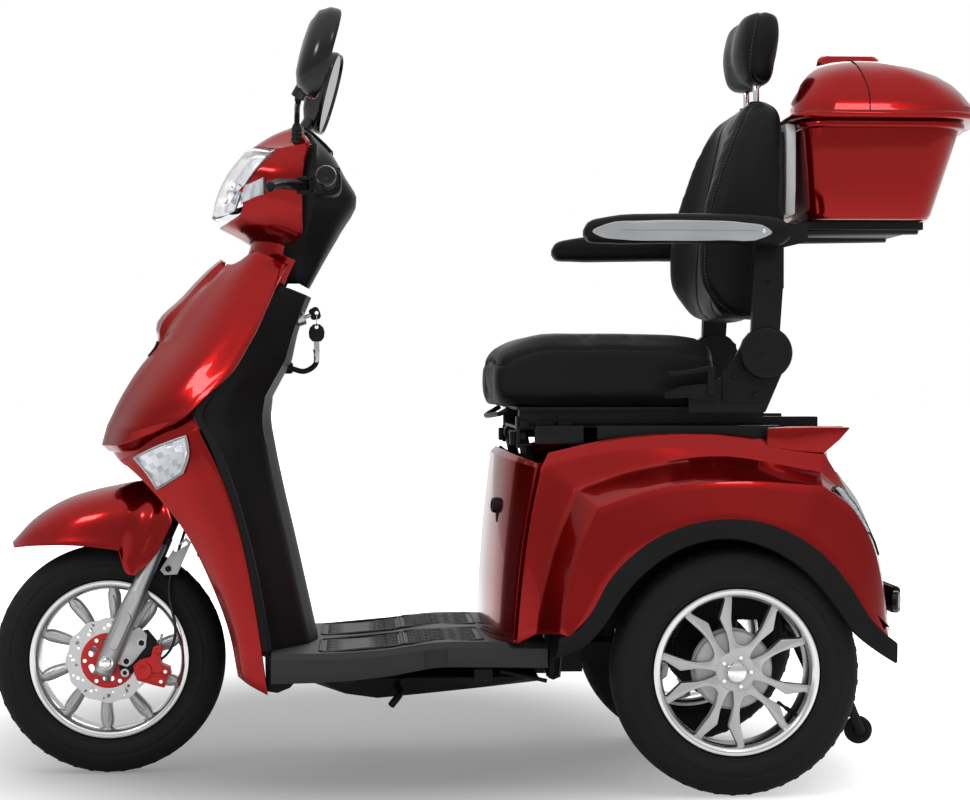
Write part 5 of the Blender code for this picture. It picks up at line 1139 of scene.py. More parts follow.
def build_leg_shield():
    """The matte black inner shield, its edge strip, and the lock's bezel."""
    shield = (
        ((-0.3245, 0, 0.8665), (-0.332, 0.048, 0.8695), (-0.36, 0.082, 0.88), (-0.376, 0.106, 0.884)),
        ((-0.348, 0, 0.806), (-0.355, 0.06, 0.807), (-0.39, 0.108, 0.82), (-0.418, 0.143, 0.826)),
        ((-0.36, 0, 0.752), (-0.37, 0.074, 0.752), (-0.416, 0.128, 0.758), (-0.45, 0.16, 0.766)),
        ((-0.395, 0, 0.686), (-0.406, 0.084, 0.686), (-0.464, 0.144, 0.692), (-0.506, 0.172, 0.696)),
        ((-0.398, 0, 0.646), (-0.411, 0.086, 0.646), (-0.476, 0.15, 0.65), (-0.53, 0.176, 0.655)),
        ((-0.391, 0, 0.6), (-0.405, 0.086, 0.6), (-0.462, 0.152, 0.606), (-0.508, 0.184, 0.613)),
        ((-0.376, 0, 0.526), (-0.391, 0.086, 0.526), (-0.44, 0.154, 0.526), (-0.476, 0.194, 0.53)),
        ((-0.356, 0, 0.44), (-0.371, 0.086, 0.44), (-0.418, 0.158, 0.44), (-0.45, 0.2, 0.442)),
        ((-0.338, 0, 0.36), (-0.353, 0.086, 0.36), (-0.4, 0.162, 0.36), (-0.431, 0.205, 0.36)),
        ((-0.319, 0, 0.275), (-0.334, 0.086, 0.275), (-0.382, 0.166, 0.275), (-0.416, 0.21, 0.275)),
        ((-0.312, 0, 0.2428), (-0.327, 0.086, 0.2428), (-0.375, 0.168, 0.2428), (-0.41, 0.212, 0.2428)),
    )
    sweep = [rod(on_head(0.036), on_head(0.3), 0.106, 64)]
    grid = [both_sides(row) for row in shield]
    inside = (-0.55, 0, 0.55)
    panel("leg_shield", "chassis", BLACK_MOULDED, grid, inside, 5, 6, (2, 3), (1, 2, 4, 5), cuts=sweep)
    for word, side in SIDES:
        path = [Vector((row[3][0] + 0.004, side * (row[3][1] + 0.001), row[3][2])) for row in shield[3:]]
        strip = []
        section = ((0, -0.01), (0.012, -0.014), (0.017, -0.009), (0.014, 0.001), (0, 0.005))
        for point in spline(path, 5):
            strip.append([point + Vector((x, side * y, 0)) for x, y in section])
        part("shield_edge_" + word, stacked(strip), "chassis", TRIM_GREY, bevel=0.001)
    at, way = Vector((-0.336, -0.03, 0.83)), Vector((0.94, 0, 0.34)).normalized()
    barrel = [
        (-0.014, 0.013), (-0.001, 0.013), (0.0, 0.012), (0.0, 0.009), (-0.0012, 0.0085), (-0.0012, 0.004),
        (-0.0012, 0),
    ]
    part("lock_barrel", turned(barrel, at, way, 32), "chassis", BLADE_STEEL)


def build_fender():
    """Rows run from the tip backwards: distance behind the axle, outwards, height over the tyre."""
    top = 0.417
    rows = (
        ((-0.178, 0, 0.004), (-0.175, 0.022, 0.002), (-0.171, 0.038, -0.002)),
        ((-0.14, 0, 0.045), (-0.132, 0.046, 0.028), (-0.122, 0.066, 0.002)),
        ((-0.085, 0, 0.08), (-0.078, 0.058, 0.056), (-0.066, 0.082, 0.003)),
        ((-0.02, 0, 0.101), (-0.012, 0.064, 0.076), (0.002, 0.0895, -0.003)),
        ((0.014, 0, 0.108), (0.034, 0.066, 0.082), (0.023, 0.0895, -0.006)),
        ((0.04, 0, 0.113), (0.058, 0.061, 0.081), (0.04, 0.084, -0.05)),
        ((0.06, 0, 0.116), (0.084, 0.068, 0.08), (0.05, 0.0895, -0.051)),
        ((0.074, 0, 0.118), (0.096, 0.0685, 0.08), (0.081, 0.0895, -0.024)),
        ((0.086, 0, 0.119), (0.104, 0.067, 0.088), (0.118, 0.0895, 0.044)),
    )
    grid = []
    for row in rows:
        grid.append(both_sides([(FRONT_AXLE.x + x, y * 0.0893 / 0.0895, top + z) for x, y, z in row]))
    inside = (FRONT_AXLE.x + 0.02, 0, top - 0.05)
    panel("front_fender", "fork", RED, grid, inside, 6, 7, (4, 6))


def floor_height(x):
    """Height of the foot board's upper face along the scooter."""
    share = min(max((x + 0.26) / 0.165, 0), 1)
    share = share * share * (3 - 2 * share)
    return 0.242 + 0.019 * share


def build_floor():
    """The grey foot board with its skirt, and crossed ribs moulded into two tread zones a side."""
    stations = ((-0.39, 0.238, 0.052), (-0.3, 0.246, 0.049), (-0.2, 0.25, 0.046), (-0.095, 0.25, 0.043))
    stations += ((-0.03, 0.25, 0.043), (0.02, 0.252, 0.043), (0.088, 0.262, 0.043))
    grid = []
    for x, half, skirt in stations:
        z = floor_height(x) - (0.0005 if x > -0.02 else 0)
        row = [
            (x, 0, z), (x, half * 0.5, z), (x, half - 0.01, z), (x, half, z - 0.01),
            (x, half + 0.002, z - skirt),
        ]
        grid.append(both_sides(row))
    tube = [
        on_head(-0.13, 0, 0.02), (-0.446, 0, 0.6), (-0.408, 0, 0.42), (-0.372, 0, 0.262),
        (-0.33, 0, 0.196),
    ]
    notch = [swept(spline(tube, 4), 0.022, 20)]
    bites = []
    for side in (-1, 1):
        low, high = span(side, 0.2475, 0.262)
        bites.append(block((-0.125, low, 0.1), (-0.085, high, 0.247)))
    panel(
        "floor_board", "chassis", FLOOR_GREY, grid, (-0.15, 0, 0.1), 6, 2, (), (1, 2, 6, 7),
        wall=0.006, cuts=notch + bites, bevel=0.0022,
    )
    for word, side in SIDES:
        for zone, x, length, count in (("front", -0.232, 0.105, 6), ("rear", -0.092, 0.098, 6)):
            cross = []
            for turn in (-1, 1):
                bar = block((-0.0125, -0.0017, 0), (0.0125, 0.0017, 0.0016))
                bmesh.ops.rotate(
                    bar, verts=bar.verts, matrix=Matrix.Rotation(turn * radians(38), 3, "Z"),
                )
                cross.append(bar)
            obj = repeated(
                f"tread_ribs_{zone}_{word}", joined(cross), "grid", FLOOR_GREY, Across=8, Along=count,
                Width=0.15, Length=length,
            )
            for vert in obj.data.vertices:
                vert.co += Vector((x, side * 0.125, 0))
                vert.co.z += floor_height(vert.co.x) - 0.0003
            eased(obj, 0.0005, 1)
            mount(obj, "chassis", FLOOR_GREY)
            edge = rounded((x - length / 2 - 0.022, x + length / 2 + 0.022), 0.094, 0.016, 0)
            edge = [Vector((p.x, p.y + side * 0.125, floor_height(p.x) + 0.0004)) for p in edge]
            part(f"tread_border_{zone}_{word}", swept(edge + edge[:1], 0.0022, 8), "chassis", FLOOR_GREY)


def build_battery_cover():
    """The curved red panel under the seat's front edge, with its lock cap."""
    base = 0.2614
    cover = (
        ((-0.018, 0, base), (-0.012, 0.12, base), (0.004, 0.205, base), (0.028, 0.266, base)),
        ((-0.014, 0, 0.36), (-0.008, 0.12, 0.36), (0.009, 0.206, 0.362), (0.036, 0.27, 0.366)),
        ((-0.005, 0, 0.47), (0.001, 0.12, 0.47), (0.019, 0.203, 0.47), (0.05, 0.268, 0.472)),
        ((0.008, 0, 0.582), (0.014, 0.12, 0.58), (0.034, 0.197, 0.574), (0.07, 0.258, 0.564)),
        ((0.018, 0, 0.592), (0.024, 0.118, 0.59), (0.042, 0.192, 0.583), (0.074, 0.25, 0.572)),
    )
    grid = []
    for row in cover:
        x, y, z = row[-1]
        grid.append(both_sides(row + ((x + 0.024, y - 0.014, z),)))
    shell = panel("battery_cover", "chassis", RED, grid, (0.2, 0, 0.42), 6, 6, (3,), (1, 7))
    spot = draped(shell, [[(0.002, -0.15, 0.494)]], 0.0)[0][0]
    way = Vector((-0.98, -0.16, 0.08)).normalized()
    cap = [(-0.002, 0.014), (0.006, 0.014), (0.01, 0.012), (0.011, 0.008), (0.009, 0.006), (0.009, 0)]
    part("lock_cap", turned(cap, spot, way, 28), "chassis", BLACK_MOULDED)
    flap = block((-0.0022, -0.01, -0.03), (0.003, 0.01, -0.01))
    bmesh.ops.translate(flap, verts=flap.verts, vec=spot + way * 0.001)
    part("lock_flap", flap, "chassis", BLACK_MOULDED, bevel=0.0015)


def arch_line(offset, ends, steps=24):
    """The wheel arch as (x, z): straight flanks run into a round top, moved inwards by an offset."""
    cx, cz = REAR_AXLE.x - 0.016, REAR_AXLE.z + 0.079
    radius = 0.19 - offset
    points = []
    for i in range(steps + 1):
        a = radians(138 - 96 * i / steps)
        points.append((cx + radius * cos(a), cz + radius * sin(a)))
    slope = tan(radians(48))
    first, last = points[0], points[-1]
    front = [(first[0] - (first[1] - z) / slope, z) for z in ends[0]]
    rear = [(last[0] + (last[1] - z) / slope, z) for z in ends[1]]
    return front + points + rear


TRIM_OUTER = (
    (0.1, 0.278), (0.128, 0.292), (0.156, 0.328), (0.182, 0.376), (0.222, 0.42), (0.284, 0.46),
    (0.345, 0.478), (0.394, 0.482), (0.443, 0.477), (0.505, 0.454), (0.558, 0.416), (0.6, 0.366),
    (0.634, 0.312), (0.66, 0.283), (0.68, 0.268),
)
TRIM_INNER = (
    (0.094, 0.244), (0.14, 0.261), (0.178, 0.3), (0.206, 0.342), (0.24, 0.381), (0.294, 0.421),
    (0.348, 0.441), (0.394, 0.445), (0.44, 0.435), (0.495, 0.408), (0.537, 0.372), (0.572, 0.328),
    (0.606, 0.283), (0.642, 0.254), (0.678, 0.231),
)


def build_fairings():
    """The red flared panels over the rear wheels; rows run from the arch up to the deck."""
    y = 0.352
    base = 0.2614
    outline = (
        (0.116, 0.281), (0.15, 0.316), (0.18, 0.366), (0.222, 0.416), (0.296, 0.462), (0.394, 0.479),
    )
    outline += ((0.505, 0.451), (0.558, 0.412), (0.6, 0.362), (0.636, 0.306), (0.664, 0.279))
    edge = [(px, y, pz) for px, pz in outline]
    flare = (
        (0.104, y - 0.006, 0.286), (0.12, y - 0.007, 0.366), (0.143, y - 0.01, 0.446),
        (0.167, y - 0.014, 0.499), (0.265, y - 0.016, 0.53), (0.397, y - 0.016, 0.543),
        (0.556, y - 0.028, 0.535), (0.612, y - 0.036, 0.492), (0.646, y - 0.04, 0.432),
        (0.664, y - 0.044, 0.362), (0.674, y - 0.046, 0.288),
    )
    facet = (
        (0.066, 0.286, 0.279), (0.079, 0.286, 0.376), (0.104, 0.284, 0.461), (0.134, 0.279, 0.53),
        (0.22, 0.275, 0.557), (0.37, 0.272, 0.584), (0.564, 0.268, 0.556), (0.616, 0.272, 0.504),
        (0.652, 0.278, 0.436), (0.671, 0.282, 0.364), (0.681, 0.286, 0.284),
    )
    seam = (
        (0.034, 0.272, base), (0.043, 0.2755, 0.368), (0.057, 0.2735, 0.474), (0.077, 0.2635, 0.566),
        (0.18, 0.264, 0.59), (0.36, 0.263, 0.602), (0.575, 0.252, 0.587), (0.626, 0.255, 0.5),
        (0.656, 0.2605, 0.432), (0.674, 0.2655, 0.362), (0.684, 0.2685, 0.272),
    )
    rim = (
        (0.044, 0.262, base + 0.004), (0.056, 0.262, 0.374), (0.07, 0.258, 0.478), (0.09, 0.25, 0.59),
        (0.19, 0.25, 0.612), (0.36, 0.249, 0.624), (0.566, 0.244, 0.597), (0.617, 0.253, 0.503),
        (0.648, 0.2585, 0.434), (0.666, 0.2635, 0.364), (0.676, 0.2665, 0.276),
    )
    for word, side in SIDES:
        rows = flipped((edge, flare, facet, seam, rim), side)
        inside = (0.39, side * 0.1, 0.3)
        panel(
            "fairing_" + word, "chassis", RED, rows, inside, 5, 6, (1, 2, 3), (3, 6), bevel=0.0028,
            ease=14,
        )
        outer = spline([(px, 0, pz) for px, pz in TRIM_OUTER], 4)
        inner = spline([(px, 0, pz) for px, pz in TRIM_INNER], 4)
        rings = []
        for share, rise in ((0.0, -0.01), (0.06, 0.0015), (0.5, 0.0035), (0.94, 0.0015), (1.0, -0.01)):
            line = [a.lerp(b, share) for a, b in zip(outer, inner)]
            rings.append([Vector((p.x, side * (y + rise), p.z)) for p in line])
        trim = skin(rings, 0.004, inside)
        part("arch_band_" + word, trim, "chassis", TRIM_GREY, "arch_trim_" + word, 0.0008)
        # Painted shade: near-black sheets inside the wheel arch, where shade falls.
        well = arch_line(0.01, ((0.292, 0.33, 0.38), (0.38, 0.33, 0.292)), 12)
        well = [(px + 0.13 * max(px - 0.39, 0), pz) for px, pz in well]
        sheet = [[Vector((px, side * py, pz)) for px, pz in well] for py in (0.34, 0.3, 0.262, 0.238)]
        part("arch_liner_" + word, skin(sheet, 0.002, (0.39, side * 0.29, 0.9)), "chassis", SHADOW_BLACK)
        wall = prism(arch_line(0.012, ((0.296,), (0.296,)), 12), *span(side, 0.236, 0.239))
        part("arch_wall_" + word, wall, "chassis", SHADOW_BLACK)


def build_tail():
    """The rear deck with its lip, the two corner lamps and the bumper."""
    deck = (
        ((0.49, 0, 0.618), (0.49, 0.19, 0.618), (0.488, 0.228, 0.632)),
        ((0.56, 0, 0.619), (0.556, 0.186, 0.619), (0.548, 0.228, 0.635)),
        ((0.64, 0, 0.624), (0.632, 0.17, 0.625), (0.612, 0.228, 0.635)),
        ((0.604, 0, 0.594), (0.598, 0.16, 0.594), (0.578, 0.228, 0.59)),
        ((0.616, 0, 0.556), (0.612, 0.132, 0.556), (0.584, 0.238, 0.55)),
        ((0.658, 0, 0.498), (0.652, 0.136, 0.498), (0.622, 0.244, 0.498)),
        ((0.686, 0, 0.43), (0.68, 0.14, 0.43), (0.652, 0.25, 0.43)),
        ((0.702, 0, 0.36), (0.696, 0.142, 0.36), (0.67, 0.255, 0.36)),
        ((0.708, 0, 0.266), (0.702, 0.142, 0.266), (0.68, 0.258, 0.266)),
    )
    grid = [both_sides(r) for r in deck]
    shell = panel("tail_panel", "chassis", RED, grid, (0.45, 0, 0.45), 5, 6, (2, 3))
    lamp = (
        ((0.622, 0.15, 0.556), (0.61, 0.2, 0.556), (0.594, 0.24, 0.548)),
        ((0.662, 0.154, 0.5), (0.65, 0.205, 0.5), (0.632, 0.246, 0.498)),
        ((0.69, 0.158, 0.43), (0.679, 0.208, 0.43), (0.662, 0.252, 0.43)),
        ((0.702, 0.19, 0.372), (0.694, 0.218, 0.372), (0.679, 0.256, 0.372)),
    )
    cheek = (
        (0.472, 0.6), (0.473, 0.632), (0.52, 0.6345), (0.621, 0.6335), (0.602, 0.612), (0.574, 0.588),
        (0.52, 0.592),
    )
    for word, side in SIDES:
        slab = prism(cheek, *span(side, 0.222, 0.2555))
        part("tail_cheek_" + word, slab, "chassis", RED, bevel=0.0028)
    for word, side in SIDES:
        inside = (0.45, side * 0.15, 0.45)
        rows = [[p + Vector((0.01, 0, 0)) for p in row] for row in flipped(lamp, side)]
        fine = refined(rows, 6, 5)
        clear = skin(draped(shell, fine, 0.0075), 0.002, inside)
        part("tail_lens_" + word, clear, "chassis", CLEAR_LENS, "tail_lamp_" + word, 0.0006)
        bowl = draped(shell, fine, 0.0022)
        third = len(bowl) // 3
        bands = (
            ("amber", bowl[: third + 1], AMBER_LENS), ("red", bowl[third : 2 * third + 1], RED_LENS),
            ("clear", bowl[2 * third :], REFLECTOR),
        )
        for colour, band, material in bands:
            part(
                f"tail_{colour}_cell_{word}", skin(band, 0.0015, inside), "chassis", material,
                bevel=0.0004,
            )
        ring = edge_of(draped(shell, fine, 0.004))
        part("tail_lamp_rim_" + word, swept(ring + ring[:2], 0.0036, 8), "chassis", BLACK_GLOSS)
    wrap = (
        ((0.578, 0.3, 0.53), (0.59, 0.3, 0.532), (0.606, 0.3, 0.53)),
        ((0.592, 0.3, 0.513), (0.607, 0.3, 0.512), (0.624, 0.3, 0.508)),
        ((0.614, 0.3, 0.486), (0.628, 0.3, 0.482), (0.642, 0.3, 0.476)),
        ((0.637, 0.3, 0.456), (0.648, 0.3, 0.45), (0.658, 0.3, 0.446)),
        ((0.658, 0.3, 0.422), (0.665, 0.3, 0.418), (0.67, 0.3, 0.416)),
    )
    for word, side in SIDES:
        inside = (0.45, side * 0.15, 0.45)
        fine = refined(flipped(wrap, side), 5, 3)
        cheek_shell = bpy.data.objects["fairing_" + word]
        low, high = draped(cheek_shell, fine, 0.0006), draped(cheek_shell, fine, 0.0022)
        ribbed = [b if i % 2 else a for i, (a, b) in enumerate(zip(low, high))]
        part("tail_wrap_cell_" + word, skin(ribbed, 0.0006, inside), "chassis", LENS_CELL, shade=12)
        clear = skin(draped(cheek_shell, fine, 0.0042), 0.0012, inside)
        part("tail_wrap_lens_" + word, clear, "chassis", CLEAR_LENS, bevel=0.0004)
        edge = edge_of(high)
        part("tail_wrap_rim_" + word, swept(edge + edge[:2], 0.0018, 8), "chassis", BLACK_GLOSS)
    pads = []
    for z, grow in ((0.302, -0.003), (0.306, 0), (0.344, 0), (0.348, -0.003)):
        loop = rounded((-0.003, 0.012 + grow), 0.2 + grow, 0.007, z)
        pads.append([p + Vector((0.712, 0, 0)) for p in loop])
    part(
        "bumper_pad", [stacked(pads), rod((0.7, 0, 0.325), (0.712, 0, 0.325), 0.01, 24)], "chassis",
        BLACK_MOULDED, "rear_bumper", 0.0008,
    )
    for word, side in SIDES:
        eye = [
            (-0.002, 0.018), (0.006, 0.018), (0.008, 0.016), (0.008, 0.0145), (0.006, 0.014), (0.0065, 0),
        ]
        at = Vector((0.7085, side * 0.216, 0.325))
        part("reflector_cup_" + word, turned(eye, at, (0.92, side * 0.38, 0), 32), "chassis", BLACK_GLOSS)
        part(
            "reflector_eye_" + word,
            turned([(0.004, 0.0138), (0.0075, 0.013), (0.009, 0)], at, (0.92, side * 0.38, 0), 32),
            "chassis", RED_LENS,
        )


def tyre_section(radius, width, rim_width):
    """A tyre's section as a closed ring of (across, radius), from the bead to the grooved crown."""
    tall = radius - RIM_RADIUS
    seat = rim_width / 2 - 0.005
    half = [
        (seat, RIM_RADIUS - 0.009), (seat, RIM_RADIUS + 0.0015), (seat + 0.004, RIM_RADIUS + 0.004),
        (seat + 0.005, RIM_RADIUS + 0.007), (seat + 0.0046, RIM_RADIUS + 0.0075),
        (width / 2 - 0.0015, RIM_RADIUS + 0.24 * tall), (width / 2 - 0.0004, RIM_RADIUS + 0.34 * tall),
        (width / 2, RIM_RADIUS + 0.4 * tall), (width / 2 - 0.001, RIM_RADIUS + 0.42 * tall),
        (width / 2 - 0.0012, RIM_RADIUS + 0.52 * tall), (width / 2 - 0.0002, RIM_RADIUS + 0.54 * tall),
        (width / 2 - 0.0025, radius - 0.019), (width / 2 - 0.0062, radius - 0.0125),
        (width / 2 - 0.012, radius - 0.0068), (width / 4, radius - 0.002), (0.0075, radius - 0.0004),
        (0.0065, radius - 0.004), (0.004, radius - 0.004), (0.003, radius - 0.0002), (0, radius),
    ]
    return [(-y, r) for y, r in half] + [(y, r) for y, r in reversed(half[:-1])]


def build_tyre(name, body, centre, radius, width, rim_width, count):
    """A tyre with slanted blocks round both shoulders and a grooved crown."""
    ring = turned(tyre_section(radius, width, rim_width), centre, SIDE, 120, True)
    part(name + "_casing", ring, body, RUBBER, name)
    for word, side in SIDES:
        low, high = (width / 2 - 0.004, radius - 0.017), (width / 4 + 0.004, radius - 0.003)
        outline = ((-0.0055, 0), (0.0045, 0), (0.0095, 1), (0.0005, 1))
        base, top = [], []
        for along, share in outline:
            across = low[0] + (high[0] - low[0]) * share
            rise = low[1] + (high[1] - low[1]) * share
            base.append(Vector((along, side * (across - 0.002), rise - 0.0015)) + centre)
            lift = 0.0003 if share < 0.5 else 0.001
            top.append(Vector((along, side * (across + 0.0004), rise + lift)) + centre)
        obj = round_axis(f"{name}_blocks_{word}", stacked([base, top]), count, centre, SIDE, RUBBER)
        mount(obj, body, RUBBER)


def rim_section(rim_width):
    """The section of a rim as a closed ring: rolled lip, stepped barrel and bead seats."""
    outer = rim_width / 2
    bed = RIM_RADIUS - 0.0094
    half = [
        (outer - 0.0046, bed), (outer - 0.0046, RIM_RADIUS - 0.0002),
        (outer - 0.003, RIM_RADIUS + 0.0002), (outer - 0.0006, RIM_RADIUS - 0.001),
        (outer, RIM_RADIUS - 0.0034), (outer - 0.0006, RIM_RADIUS - 0.0075),
        (outer - 0.0022, RIM_RADIUS - 0.011), (outer - 0.0065, RIM_RADIUS - 0.014),
        (outer - 0.014, RIM_RADIUS - 0.0168), (outer - 0.02, RIM_RADIUS - 0.0172),
    ]
    return [(-y, r) for y, r in half] + [(y, r) for y, r in reversed(half)]


def spoke(centre, angle, lean, widths, reach, face, depth, crown):
    """A cast spoke, its outer face rounded, that swells and narrows from the hub to the rim."""
    rings = []
    line = spline([(share, width, 0) for share, width in widths], 4)
    for share, width, _ in line:
        a = angle + lean * share
        out = wheel_way(a)
        over = Vector((-sin(a), 0, cos(a)))
        middle = centre + out * (reach[0] + (reach[1] - reach[0]) * share)
        loop = []
        for u, v in (
            (-1, 0.15), (-0.62, 0.82), (0, 1), (0.62, 0.82), (1, 0.15), (0.9, -0.8), (0, -1),
            (-0.9, -0.8),
        ):
            loop.append(middle + over * (u * width / 2) + SIDE * (face + crown * v * depth / 2))
        rings.append(loop)
    return stacked(rings)


def hex_bolt(at, way, radius, tall):
    """A bolt head with six flats."""
    return turned([(-0.001, radius), (tall * 0.7, radius), (tall, radius * 0.82), (tall, 0)], at, way, 6)


VALVE = (
    (0, 0.0042), (0.016, 0.004), (0.018, 0.0028), (0.03, 0.0028), (0.031, 0.0034), (0.038, 0.0034),
    (0.039, 0),
)


def build_front_wheel():
    """The front tyre, rim, ten swelling spokes, hub, valve and disc."""
    centre = FRONT_AXLE
    build_tyre("front_tyre", "front_wheel", centre, 0.2085, 0.085, 0.07, 44)
    rim = turned(rim_section(0.07), centre, SIDE, 120, True)
    part("front_rim_ring", rim, "front_wheel", POLISHED, "front_rim")
    hub = [
        (-0.043, 0.0085), (-0.043, 0.026), (-0.03, 0.028), (-0.012, 0.034), (0.012, 0.034), (0.03, 0.028),
        (0.043, 0.026), (0.043, 0.0085),
    ]
    part("front_hub", turned(hub, centre, SIDE, 48, True), "front_wheel", CAST, bevel=0.0012)
    widths = ((0, 0.0125), (0.3, 0.014), (0.72, 0.026), (0.9, 0.024), (1, 0.014))
    unit = spoke(centre, radians(81), 0.12, widths, (0.024, RIM_RADIUS - 0.013), -0.006, 0.02, -1)
    obj = round_axis("front_spokes", unit, 10, centre, SIDE, CAST)
    mount(softened(obj), "front_wheel", CAST)
    widths = ((0, 0.004), (0.4, 0.007), (0.75, 0.011), (1, 0.004))
    unit = spoke(centre, radians(81), 0.12, widths, (0.04, RIM_RADIUS - 0.028), -0.0162, 0.0035, -1)
    obj = round_axis("front_spoke_flutes", unit, 10, centre, SIDE, CAST)
    mount(softened(obj), "front_wheel", CAST)
    way = Vector((cos(radians(63)), -0.35, sin(radians(63)))).normalized()
    out = wheel_way(radians(63))
    part("front_valve", turned(VALVE, centre + out * 0.127, -way, 16), "front_wheel", RUBBER)
    build_disc(centre)


def build_disc(centre):
    """The scalloped, slotted disc on its red carrier, with six bolts."""
    face = -0.0434
    count = 96
    outer = []
    for i in range(count):
        a = 2 * pi * i / count
        radius = 0.0762 + 0.0017 * cos(12 * a)
        outer.append(Vector((radius * cos(a), 0, radius * sin(a))))
    inner = [
        Vector((0.047 * cos(2 * pi * i / count), 0, 0.047 * sin(2 * pi * i / count)))
        for i in range(count)
    ]
    rings = []
    for y in (face, face - 0.003):
        rings.append(([centre + p + SIDE * y for p in outer], [centre + p + SIDE * y for p in inner]))
    loop = [rings[0][1], rings[0][0], rings[1][0], rings[1][1], rings[0][1]]
    bm = bmesh.new()
    verts = [[bm.verts.new(p) for p in ring] for ring in loop[:4]]
    for a, b in zip(verts, verts[1:] + verts[:1]):
        for i in range(count):
            j = (i + 1) % count
            bm.faces.new((a[i], a[j], b[j], b[i]))
    disc = linked("disc_rotor", bm)
    slots = []
    for i in range(12):
        a = 2 * pi * i / 12
        for lean, radius, size in ((0.0, 0.064, 0.0034), (0.13, 0.0585, 0.0026), (-0.12, 0.069, 0.0024)):
            out = wheel_way(a + lean)
            at = centre + out * radius
            slots.append(rod(at + SIDE * (face + 0.01), at + SIDE * (face - 0.01), size, 12))
    cut(disc, [joined(slots)])
    eased(disc, 0.0003, 1)
    mount(disc, "front_wheel", DISC_STEEL, "brake_disc")
    plate = [
        (face - 0.0006, 0.012), (face - 0.0006, 0.05), (face - 0.0044, 0.05), (face - 0.005, 0.047),
        (face - 0.005, 0.012),
    ]
    carrier = linked("disc_carrier", turned(plate, centre, SIDE, 72, True))
    holes = []
    for i in range(6):
        a = 2 * pi * (i + 0.5) / 6
        for turn in (-0.16, -0.08, 0, 0.08, 0.16):
            at = centre + wheel_way(a + turn) * 0.033
            holes.append(rod(at + SIDE * (face + 0.02), at + SIDE * (face - 0.02), 0.0052, 14))
    for hole in holes:
        cut(carrier, [hole])
    eased(carrier, 0.0008, 2)
    mount(carrier, "front_wheel", CALIPER_RED)
    at = centre + Vector((0.042, 0, 0)) + SIDE * (face - 0.0048)
    obj = round_axis("disc_bolts", hex_bolt(at, -SIDE, 0.0048, 0.0042), 6, centre, SIDE, CHROME)
    mount(obj, "front_wheel", CHROME)


ARM = (
    (0.046, 0), (0.0485, 9), (0.058, 14.5), (0.071, 17.4), (0.088, 18), (0.124, 16), (0.1335, 16),
    (0.1335, 22), (0.124, 21.9), (0.096, 29.8), (0.082, 28.4), (0.07, 26.9), (0.055, 26.5), (0.04, 29),
    (0.031, 36),
)


def build_rear_wheel(word, side):
    """A rear tyre, rim, brake drum, five forked spokes, cap, bolts and valve."""
    centre = REAR_AXLE + SIDE * (side * REAR_WHEEL_Y)
    body = "rear_wheel_" + word
    build_tyre("rear_tyre_" + word, body, centre, 0.215, 0.096, 0.078, 46)
    rim = turned(rim_section(0.078), centre, SIDE, 120, True)
    part("rear_rim_ring_" + word, rim, body, POLISHED, "rear_rim_" + word)
    drum = [
        (-0.036 * side, 0.0127), (-0.036 * side, 0.068), (0.001 * side, 0.068), (0.005 * side, 0.064),
        (0.006 * side, 0.036), (0.0275 * side, 0.034), (0.029 * side, 0.0325), (0.029 * side, 0.02),
        (0.034 * side, 0.018), (0.034 * side, 0.0127),
    ]
    part("rear_drum_" + word, turned(drum, centre, SIDE, 72, True), body, PALE_ALLOY, bevel=0.0012)
    fins = [(-0.03 * side, 0.0672), (-0.028 * side, 0.07), (-0.026 * side, 0.07), (-0.024 * side, 0.0672)]
    ribs = []
    for step in (0, 0.008, 0.016):
        ribs.append(
            turned([(along + step * side, radius) for along, radius in fins], centre, SIDE, 72, True)
        )
    part("rear_drum_fins_" + word, ribs, body, PALE_ALLOY)
    near, far = span(side, 0.007, 0.027)
    twin = []
    for radius, turn in ARM + tuple((r, -t) for r, t in reversed(ARM[1:])):
        a = radians(5 + turn)
        twin.append((centre.x + radius * cos(a), centre.z + radius * sin(a)))
    unit = prism(twin, centre.y + near, centre.y + far)
    obj = round_axis("rear_spokes_" + word, unit, 5, centre, SIDE, CAST)
    mount(eased(obj, 0.002), body, CAST)
    cap = [
        (0.03 * side, 0.0185), (0.036 * side, 0.0185), (0.04 * side, 0.016), (0.042 * side, 0.01),
        (0.0425 * side, 0),
    ]
    part("rear_cap_" + word, turned(cap, centre, SIDE, 40), body, CHROME)
    at = centre + Vector((0.0258, 0, 0)) + SIDE * (side * 0.0285)
    obj = round_axis(
        "rear_hub_bolts_" + word, hex_bolt(at, SIDE * side, 0.0042, 0.005), 5, centre, SIDE, CHROME,
    )
    mount(obj, body, CHROME)
    out = wheel_way(radians(-36))
    way = (SIDE * (side * 0.5) - out).normalized()
    part("rear_valve_" + word, turned(VALVE, centre + out * 0.127, way, 16), body, RUBBER)


